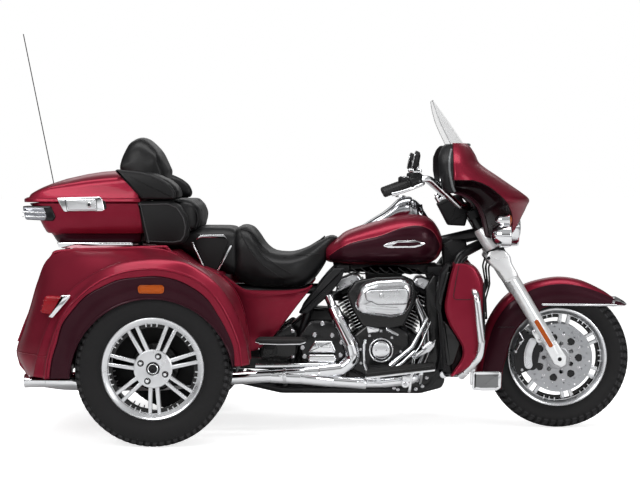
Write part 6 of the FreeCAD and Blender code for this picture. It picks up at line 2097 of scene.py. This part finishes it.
    def boards(self) -> None:
        """Footboards with ribbed rubber, pivots, brake pedal and shifter."""
        slope = 34 / 290
        tops = plate([(196, 257), (484, 291), (487, 305), (199, 271)], -398, -272, 5, 5)
        pans = plate([(194, 246), (482, 280), (485, 290), (196, 256)], -396, -274, 3, 3)
        ribs = [tube([(204, y, 272.5), (480, y, 272.5 + 276 * slope)], 3.0, sides=8)
            for y in range(-386, -280, 13)]
        rods = [rod((361, -386, 227), (361, -300, 227), 17, 3, 30), rod((430, -150, 196), (430, -292, 262), 9,
            2, 14), rod((250, -150, 190), (250, -292, 240), 9, 2, 14)]
        arm = plate([(346, 226), (376, 226), (388, 262), (350, 258)], -382, -366, 3, 5)
        pins = studs([(361, -386, 227)], (0, -1, 0), 9, 5, 6)
        for name, shapes, finish, stands in (("board_rubbers", [tops] + ribs, RUBBER, ("rider_boards",)),
                ("board_pans", [pans, arm] + rods, CHROME, ()), ("board_pins", [pins], BOLT_STEEL, ())):
            made(name, both(shapes), finish, stands=stands)
        bow = [(-257, 396), (-257, 406), (-240, 410), (-66, 410), (-49, 406), (-49, 396), (-70, 388),
            (-236, 388)]
        pad = plate(bow, -400, -282, 5, [4, 5, 8, 8, 5, 4, 14, 14])
        lip = tube([(-256, -398, 399), (-236, -403, 392), (-153, -404, 390), (-70, -403, 392),
            (-50, -398, 399)], 2.6, sides=8)
        treads = [tube([(-244, y, 410), (-62, y, 410)], 2.6, sides=8) for y in range(-388, -290, 14)]
        hanger = plate([(-236, 400), (-166, 400), (-182, 356), (-222, 356)], -280, -264, 4, 8)
        made("pillion_pads", both([pad] + treads), RUBBER, stands=("pillion_boards",))
        made("pillion_lips", both(lip), CHROME)
        made("pillion_hangers", both(hanger), SATIN_BLACK)
        pedal = plate([(490, 402), (483, 375), (464, 352), (400, 322), (408, 342), (450, 371), (473, 389)],
            -318, -280, 3, [2, 10, 20, 2, 8, 20, 4])
        foot = block((428, 480), (-338, -272), (372, 386), 5).turned((454, 0, 378), (0, 1, 0), -33)
        lever = tube([(380, -140, 178), (380, -256, 178), (398, -262, 320), (420, -300, 336)], 6.5, 20,
            sides=12)
        toe = tube([(360, 288, 322), (410, 296, 342), (452, 318, 372)], 7, 20, sides=12)
        heel = tube([(360, 288, 322), (300, 296, 336), (252, 318, 362)], 7, 20, sides=12)
        made("brake_wing", pedal, SILVER)
        made("pedals", [foot, lever, toe, heel, rod((360, 266, 322), (360, 300, 322), 14, 2)], CHROME,
            stands=("foot_controls",))
        pegs = [rod((452, 300, 372), (452, 348, 372), 14, 3), rod((252, 300, 362), (252, 348, 362), 14, 3)]
        made("shifter_pegs", pegs, RUBBER)


# ---- engine --------------------------------------------------------------------------------------
@dataclass
class Engine:
    """Air-cooled V-twin with its covers, air cleaner and exhaust."""

    crank: Point = (275.0, 0.0, 300.0)
    vee: float = 24.0
    fin_places: tuple[float, ...] = tuple(np.arange(166.0, 322.0, 14.2))

    def build(self) -> None:
        """Make the whole power unit."""
        self.case()
        for side in (-1, 1):
            self.cylinder(side)
        self.covers()
        self.cleaner()
        self.exhaust()

    def case(self) -> None:
        """Crankcase, gearbox, cam chest, primary cover and their screws."""
        dark = [plate([(112, 205), (430, 205), (470, 300), (430, 392), (362, 446), (188, 446), (112, 392)],
            -104, 104, 12, [30, 50, 60, 40, 30, 30, 30]), plate([(-134, 240), (125, 240), (125, 470),
            (60, 512), (-40, 516), (-130, 440)], -104, 104, 12, [30, 4, 20, 24, 30, 30]),
            plate([(-64, 262), (122, 262), (132, 420), (80, 470), (-40, 470), (-92, 400)], -198, -100, 12,
            [26, 14, 24, 26, 30, 40]), plate([(132, 262), (210, 222), (332, 222), (398, 300), (382, 420),
            (300, 466), (200, 456), (132, 400)], -190, -100, 14, [30, 40, 40, 40, 30, 40, 30, 24]),
            plate([(54, 194), (424, 194), (424, 214), (54, 214)], -106, 106, 6, 6),
            plate([(4, 160), (437, 160), (520, 182), (538, 222), (480, 262), (330, 258), (300, 206),
            (4, 206)], -146, -118, 8, [8, 40, 30, 24, 20, 20, 20, 8])]
        made("crankcase", dark, BARREL_BLACK, stands=("engine_case",), sharp=50)
        drive = plate([(-105, 290), (-60, 225), (330, 203), (420, 300), (330, 410), (-60, 385)], 106, 262, 18,
            [80, 60, 80, 100, 80, 60])
        derby = [rod((250, 258, 306), (250, 267, 306), 74, 4, 60), rod((-20, 258, 306), (-20, 265, 306), 40,
            4, 40)]
        made("primary_shell", drive, BARREL_BLACK, stands=("primary_cover",), sharp=50)
        made("primary_discs", derby, CHROME)
        edge = resampled(rounded([(-98, 290), (-56, 232), (328, 212), (410, 300), (326, 402), (-56, 378)],
            [70, 50, 70, 90, 70, 50]), 14, closed=True)
        screws = [studs(lift(edge, 261.5), (0, 1, 0), 6, 4, 6), studs([(x, -146, z) for x,
            z in ((389, 225), (416, 214), (432, 226), (456, 226), (318, 182), (334, 176), (410, 178),
            (438, 190), (374, 208))], (0, -1, 0), 8, 6, 12), studs([(x, -198, z) for x,
            z in ((-18, 412), (57, 410), (-69, 358), (-60, 321), (92, 326), (15, 460), (96, 380))],
            (0, -1, 0), 10, 8, 12), studs([(x, -190, z) for x, z in ((214, 408), (262, 428), (308, 400),
            (176, 350), (178, 292), (346, 340), (330, 262), (232, 250))], (0, -1, 0), 6.5, 5, 12)]
        made("case_screws", screws, BOLT_STEEL)

    def cylinder(self, side: int) -> None:
        """One cylinder: fins turned about the crank, with bright edges, head and rocker box.

        Args: side is 1 for the front cylinder and -1 for the rear one.
        """
        tag = "front" if side > 0 else "rear"
        dark, edges, bright = [], [], []
        for index, d in enumerate(self.fin_places):
            inner = min(78.0, d * math.tan(math.radians(self.vee)) + 2)
            low, high = (-inner, 78.0) if side > 0 else (-78.0, inner)
            head = 6.0 if index > 7 else 0.0
            flat = rounded([(low - head * (side < 0), -74), (high + head * (side > 0), -74),
                (high + head * (side > 0), 74), (low - head * (side < 0), 74)], 26, 4)
            shape = plate(flat, d - 1.9, d + 1.9, 1.0, axis="z").moved(self.crank[0], 0, self.crank[2])
            dark.append(shape)
            line = lift(flat, d, "z") + np.array([self.crank[0], 0, self.crank[2]])
            edges.append(tube(line, 1.5, sides=6, closed=True))
        dark.append(rod((self.crank[0], 0, self.crank[2] + 80), (self.crank[0], 0, self.crank[2] + 330), 62,
            3, 40))
        base = block((self.crank[0] - 74, self.crank[0] + 74), (-76, 76),
            (self.crank[2] + 318, self.crank[2] + 338), 6)
        bright.append(base)
        low, high = self.crank[2] + 338, self.crank[2] + 386
        start, end = (self.crank[0] + x for x in ((-22, 86) if side > 0 else (-66, 52)))
        box = plate([(start, low), (end, low), (end - 6, high - 12), (end - 26, high), (start + 26, high),
            (start + 6, high - 12)], -80, 80, 8, [4, 4, 12, 12, 12, 12])
        lids = [box, plate([(start - 6, low + 4), (end + 6, low + 4), (end + 6, low + 12),
            (start - 6, low + 12)], -85, 85, 3, 3)]
        screws = [studs([(x, -86, low + 20) for x in np.linspace(start + 14, end - 14, 4)], (0, -1, 0), 5, 4,
            6)]
        rods = [tube([(self.crank[0] + x * 0.5 - side * 8, -150, self.crank[2] + 150),
            (self.crank[0] + x, -84, self.crank[2] + 322)], 8.5, sides=16) for x in (-18, 18)]
        for name, shapes, finish, stands, sharp in (("barrel", dark + rods, BARREL_BLACK,
                ("cylinders",) if side > 0 else (), 40), ("fin_edges", edges, SILVER, (), 60),
                ("head", bright, SATIN_BLACK, (), 40), ("rocker_box", lids, SILVER,
                ("rocker_covers",) if side > 0 else (), 40), ("rocker_screws", screws, BOLT_STEEL, (), 40)):
            shape = joined(shapes).turned(self.crank, (0, 1, 0), side * self.vee)
            made(f"{tag}_{name}", shape, finish, stands=stands, sharp=sharp)

    def covers(self) -> None:
        """Cam cover with its screws, lifter blocks, gearbox covers and oil pipe."""
        centre = (263.0, -190.0, 348.0)
        ring = spun(rounded([(0, 54), (-14, 53), (-19, 50), (-19, 46), (-12, 44), (0, 43)], 2.5, 3), centre,
            "y", 64, True)
        disc = spun(spline([(-12, 39), (-17, 37), (-19, 30), (-20.5, 1)], 18), centre, "y", 56)
        made("cam_ring", [ring, disc], POLISHED, stands=("cam_cover",))
        well = rod((263, -190, 348), (263, -203, 348), 42, 1, 48)
        made("cam_well", well, BARREL_BLACK)
        screws = studs(ring_places((263, -208, 348), 48, [18, 90, 162, 234, 306]), (0, -1, 0), 4.5, 3, 12)
        made("cam_screws", [screws, studs(ring_places((263, -209, 348), 22, [0, 180]), (0, -1, 0), 3.5, 2,
            12)], BOLT_STEEL)
        blocks = [plate([(199, 450), (257, 440), (252, 424), (206, 417)], -206, -170, 5, 5),
            plate([(281, 446), (339, 416), (334, 405), (283, 430)], -206, -170, 5, 5)]
        gear = [plate([(-17, 388), (57, 388), (74, 348), (70, 338), (-42, 338), (-44, 346)], -222, -196, 7,
            [4, 4, 10, 4, 4, 10]), plate([(-43, 331), (71, 331), (76, 312), (71, 293), (-43, 293),
            (-47, 312)], -226, -196, 9, 12)]
        gear += [plate([(-12, z), (52, z), (54, z - 3), (-14, z - 3)], -224, -212, 1, 1)
            for z in (381, 372, 363)]
        made("gearbox_covers", gear, POLISHED)
        oil = tube([(196, -198, 392), (190, -200, 372), (189, -200, 330), (193, -200, 290), (203, -198, 262)],
            8, sides=16)
        made("lifter_blocks", blocks + [oil], CHROME)

    def cleaner(self) -> None:
        """Air cleaner: chrome cover with a raised field, over a black backing plate."""
        outline = [(160, 548), (178, 606), (200, 626), (245, 640), (345, 646), (372, 636), (388, 606),
            (384, 578), (366, 528), (344, 505), (300, 500), (190, 514), (166, 530)]
        corners = [20, 30, 20, 40, 20, 16, 20, 30, 20, 20, 30, 20, 16]
        flat = offset(resampled(rounded(outline, corners), 130, closed=True), -9)
        rings = []
        for depth, inset in ((196, 0), (264, 0), (276, 1.5), (286, 6), (293, 14), (297, 26), (299, 40)):
            rings.append(lift(offset(flat, inset), -depth))
        cover = solid(rings)
        field_line = resampled(rounded([(196, 596), (214, 606), (366, 611), (374, 590), (368, 552),
            (250, 549), (222, 562), (204, 566)], [8, 14, 8, 20, 8, 30, 20, 8]), 110, closed=True)
        raised = plate(field_line, -303, -288, 4)
        lower = plate(resampled(rounded([(192, 544), (216, 536), (340, 528), (350, 520), (334, 510),
            (206, 520)], [8, 20, 8, 6, 10, 10]), 80, closed=True), -301, -286, 3)
        made("cleaner_cover", cover, SATIN_CHROME, stands=("air_cleaner",), sharp=50)
        made("cleaner_fields", [raised, lower], SILVER)
        groove = tube(lift(offset(field_line, -3), -298.5), 1.4, sides=6, closed=True)
        made("cleaner_groove", groove, FRAME_BLACK)
        boss = rod((262, -302, 584), (262, -306, 584), 9, 1.5, 30)
        made("cleaner_bolt", boss, SATIN_CHROME)
        back = plate([(116, 586), (150, 636), (240, 656), (356, 660), (402, 640), (416, 580), (402, 536),
            (358, 446), (318, 436), (232, 436), (184, 446), (142, 514)], -198, -120, 12,
            [20, 30, 30, 30, 30, 30, 40, 20, 20, 20, 20, 40])
        made("cleaner_back", back, BARREL_BLACK)

    def exhaust(self) -> None:
        """Headers under heat shields, pipes, mufflers, clamps and mouths, and the brake linkage."""
        bright, shields, dark = [], [], []
        port = [(120, -40, 560), (84, -60, 566), (52, -120, 572), (44, -176, 566)]
        rear = [(74, -212, 492), (134, -226, 374), (148, -226, 312), (84, -232, 262), (-150, -284, 256)]
        front = [(404, -72, 560), (404, -112, 560), (446, -128, 470), (450, -150, 330), (400, -224, 228),
            (280, -228, 214), (60, -236, 222), (-150, -284, 244)]
        bright += [tube(rear, 21, 45, sides=22, steps=10), tube(front, 21, 45, sides=22, steps=10)]
        dark.append(tube(port, 21, 30, sides=22, steps=8))
        shields.append(tube([(40, -186, 572), (60, -206, 528), (80, -216, 486), (134, -234, 374),
            (148, -234, 312), (96, -240, 272), (0, -250, 262), (-60, -262, 260)], [18, 26, 28, 29, 29, 28, 28,
            24], 46, sides=28, steps=8))
        shields.append(tube([(266, -234, 210), (200, -240, 212), (60, -242, 222), (-80, -268, 238),
            (-200, -296, 246)], [16, 24, 26, 27, 27], 30, sides=26))
        shields.append(tube([(40, -236, 288), (-60, -262, 290), (-160, -288, 290), (-262, -302, 290)], 9, 20,
            sides=16))
        for twin in (-1, 1):
            pipe = [(-145, 284 * twin, 250), (-240, 300 * twin, 246), (-420, 320 * twin, 236),
                (-500, 340 * twin, 232)]
            can = [(-480, 335 * twin, 232), (-820, 370 * twin, 232), (-1120, 426 * twin, 240)]
            bright.append(tube(pipe, 27, 90, sides=24))
            bright.append(tube(spline(can, 24), [20, 34, 39, 39, 39, 39, 38, 37, 28], sides=30))
            end = spun([(0, 26), (-70, 27.5), (-86, 29), (-88, 27), (-84, 24.5), (-20, 23)],
                (-1116, 426.0 * twin, 240.0), "x", 40, True)
            bright.append(end)
            plug = rod((-1140, 426 * twin, 240), (-1138, 426 * twin, 240), 23.5, 0.3, 30)
            dark.append(plug)
        cross = [(-180, -290, 247), (-205, -160, 233), (-205, 160, 233), (-180, 290, 247)]
        bright.append(tube(cross, 20, 50, sides=18))
        clamps = []
        for x, y, z, r in ((-140, -284, 249, 29), (38, -240, 262, 28), (-470, -334, 232, 30),
                (-470, 334, 232, 30)):
            clamps.append(rod((x - 7, y, z), (x + 7, y, z), r + 2, 1.5, 30))
        linkage = [tube([(457, -236, 486), (392, -240, 366), (300, -244, 286)], 9, sides=14),
            tube([(402, -246, 348), (350, -248, 300), (316, -250, 276)], 6, sides=12),
            tube([(470, -230, 470), (428, -236, 372), (392, -240, 322)], 4, sides=10)]
        made("exhaust_pipes", bright, CHROME, stands=("exhaust",), sharp=50)
        made("heat_shields", shields, CHROME, sharp=50)
        made("exhaust_clamps", clamps, SATIN_CHROME)
        made("exhaust_mouths", dark, FRAME_BLACK)
        made("brake_linkage", linkage, CHROME)


BUILDERS = (Wheels, RearBody, TourBox, Fork, Fairing, Controls, Tank, Seats, Panels, Engine)


# ---- stage ---------------------------------------------------------------------------------------
@dataclass
class Studio:
    """Pale floor and backdrop, soft lamps and the camera."""

    eye: Point = (0.219, -8.1, 1.114)
    aim: Point = (0.012, 0.0, 0.804)
    lens_mm: float = 105.75
    floor_m: float = 60.0
    floor_glow: float = 0.78
    bands: Points = ((0.0, 0.26), (0.49, 0.30), (0.505, 0.90), (0.55, 1.0), (0.575, 0.08), (0.64, 0.07),
        (0.68, 0.42), (0.80, 0.47), (1.0, 0.42))

    def camera(self) -> None:
        """Camera from the right-hand side."""
        data = bpy.data.cameras.new("camera")
        data.lens = self.lens_mm
        data.sensor_width = 36.0
        data.clip_end = 200.0
        item = bpy.data.objects.new("camera", data)
        item.location = self.eye
        item.rotation_euler = (Vector(self.aim) - Vector(self.eye)).to_track_quat("-Z", "Y").to_euler()
        bpy.context.scene.collection.objects.link(item)
        bpy.context.scene.camera = item

    def floor(self) -> None:
        """Floor whose colour reads as white to the camera and keeps the shadow."""
        material = bpy.data.materials.new("studio_floor")
        material.use_nodes = True
        tree = material.node_tree
        tree.nodes.clear()
        seen = add_node(tree, "LightPath", {}).outputs["Is Camera Ray"]
        share = add_node(tree, "Math", {0: seen, 1: self.floor_glow}, operation="MULTIPLY")
        paint = add_node(tree, "BsdfDiffuse", {"Color": (0.82, 0.82, 0.82, 1.0)})
        glow = add_node(tree, "Emission", {"Strength": share.outputs[0]})
        both_shades = add_node(tree, "AddShader", {0: paint.outputs[0], 1: glow.outputs[0]})
        add_node(tree, "OutputMaterial", {"Surface": both_shades.outputs[0]})
        mesh = bpy.data.meshes.new("studio_floor")
        size = self.floor_m
        mesh.from_pydata([(-size, -size, 0), (size, -size, 0), (size, size, 0), (-size, size, 0)], [],
            [(0, 1, 2, 3)])
        mesh.materials.append(material)
        item = bpy.data.objects.new("studio_floor", mesh)
        bpy.context.scene.collection.objects.link(item)

    def world(self) -> None:
        """White to the camera and in glass; metal sees a pale room with a darker band at eye level."""
        world = bpy.data.worlds.new("studio")
        bpy.context.scene.world = world
        world.use_nodes = True
        tree = world.node_tree
        tree.nodes.clear()
        where = add_node(tree, "TexCoord", {}).outputs["Generated"]
        split = add_node(tree, "SeparateXYZ", {0: where}).outputs
        height = add_node(tree, "MapRange", {"Value": split["Z"], "From Min": -1.0})
        ramp = add_node(tree, "ValToRGB", {"Fac": height.outputs["Result"]})
        marks = ramp.color_ramp.elements
        marks[1].position = 1.0
        for place, value in self.bands:
            mark = marks[0] if place == 0.0 else marks[-1] if place == 1.0 else marks.new(place)
            mark.color = (value, value, value, 1)
        behind = add_node(tree, "MapRange", {"Value": split["Y"], "From Min": -0.15, "From Max": 0.35,
            "To Min": 1.0, "To Max": 0.3})
        shade = add_node(tree, "Background", {"Color": ramp.outputs["Color"],
            "Strength": behind.outputs["Result"]})
        white = add_node(tree, "Background", {"Color": (1.0, 1.0, 1.0, 1.0)})
        seen = add_node(tree, "LightPath", {}).outputs
        either = add_node(tree, "Math", {0: seen["Is Camera Ray"], 1: seen["Is Transmission Ray"]},
            operation="MAXIMUM")
        mix = add_node(tree, "MixShader", {0: either.outputs[0], 1: shade.outputs[0], 2: white.outputs[0]})
        add_node(tree, "OutputWorld", {"Surface": mix.outputs[0]})

    def lamp(self, name: str, place: Point, aim: Point, size: tuple[float, float], watts: float) -> None:
        """Soft rectangular lamp.

        Args: place and aim are in metres, size is its width and height, watts its power.
        """
        data = bpy.data.lights.new(name, "AREA")
        data.shape = "RECTANGLE"
        data.size, data.size_y = size
        data.energy = watts
        item = bpy.data.objects.new(name, data)
        item.location = place
        item.rotation_euler = (Vector(aim) - Vector(place)).to_track_quat("-Z", "Y").to_euler()
        bpy.context.scene.collection.objects.link(item)

    def build(self) -> None:
        """Set the whole studio."""
        self.camera()
        self.floor()
        self.world()
        for lamp in (("overhead", (0.0, -0.6, 4.2), (0.0, 0.0, 0.5), (5.0, 1.6), 120.0),
                ("key", (-2.5, -5.5, 3.4), (0.0, 0.0, 0.6), (2.6, 1.8), 120.0), ("fill", (3.6, -4.6, 2.2),
                (0.2, 0.0, 0.6), (1.6, 2.2), 60.0), ("back", (0.0, 5.0, 3.2), (0.0, 0.0, 0.7), (5.0, 1.6),
                36.0)):
            self.lamp(*lamp)
        bpy.context.scene.view_settings.view_transform = "Standard"


PLAIN = {FRAME_BLACK: ("frame", "rear_axle", "swing_frame", "aerial"),}


def main() -> None:
    """Build the studio and every sub-assembly."""
    logging.basicConfig(level=logging.INFO, format="%(name)s %(message)s")
    Studio().build()
    for finish, nodes in PLAIN.items():
        for node in nodes:
            dress(node, finish)
    for part in BUILDERS:
        part().build()


if __name__ == "__main__":
    main()
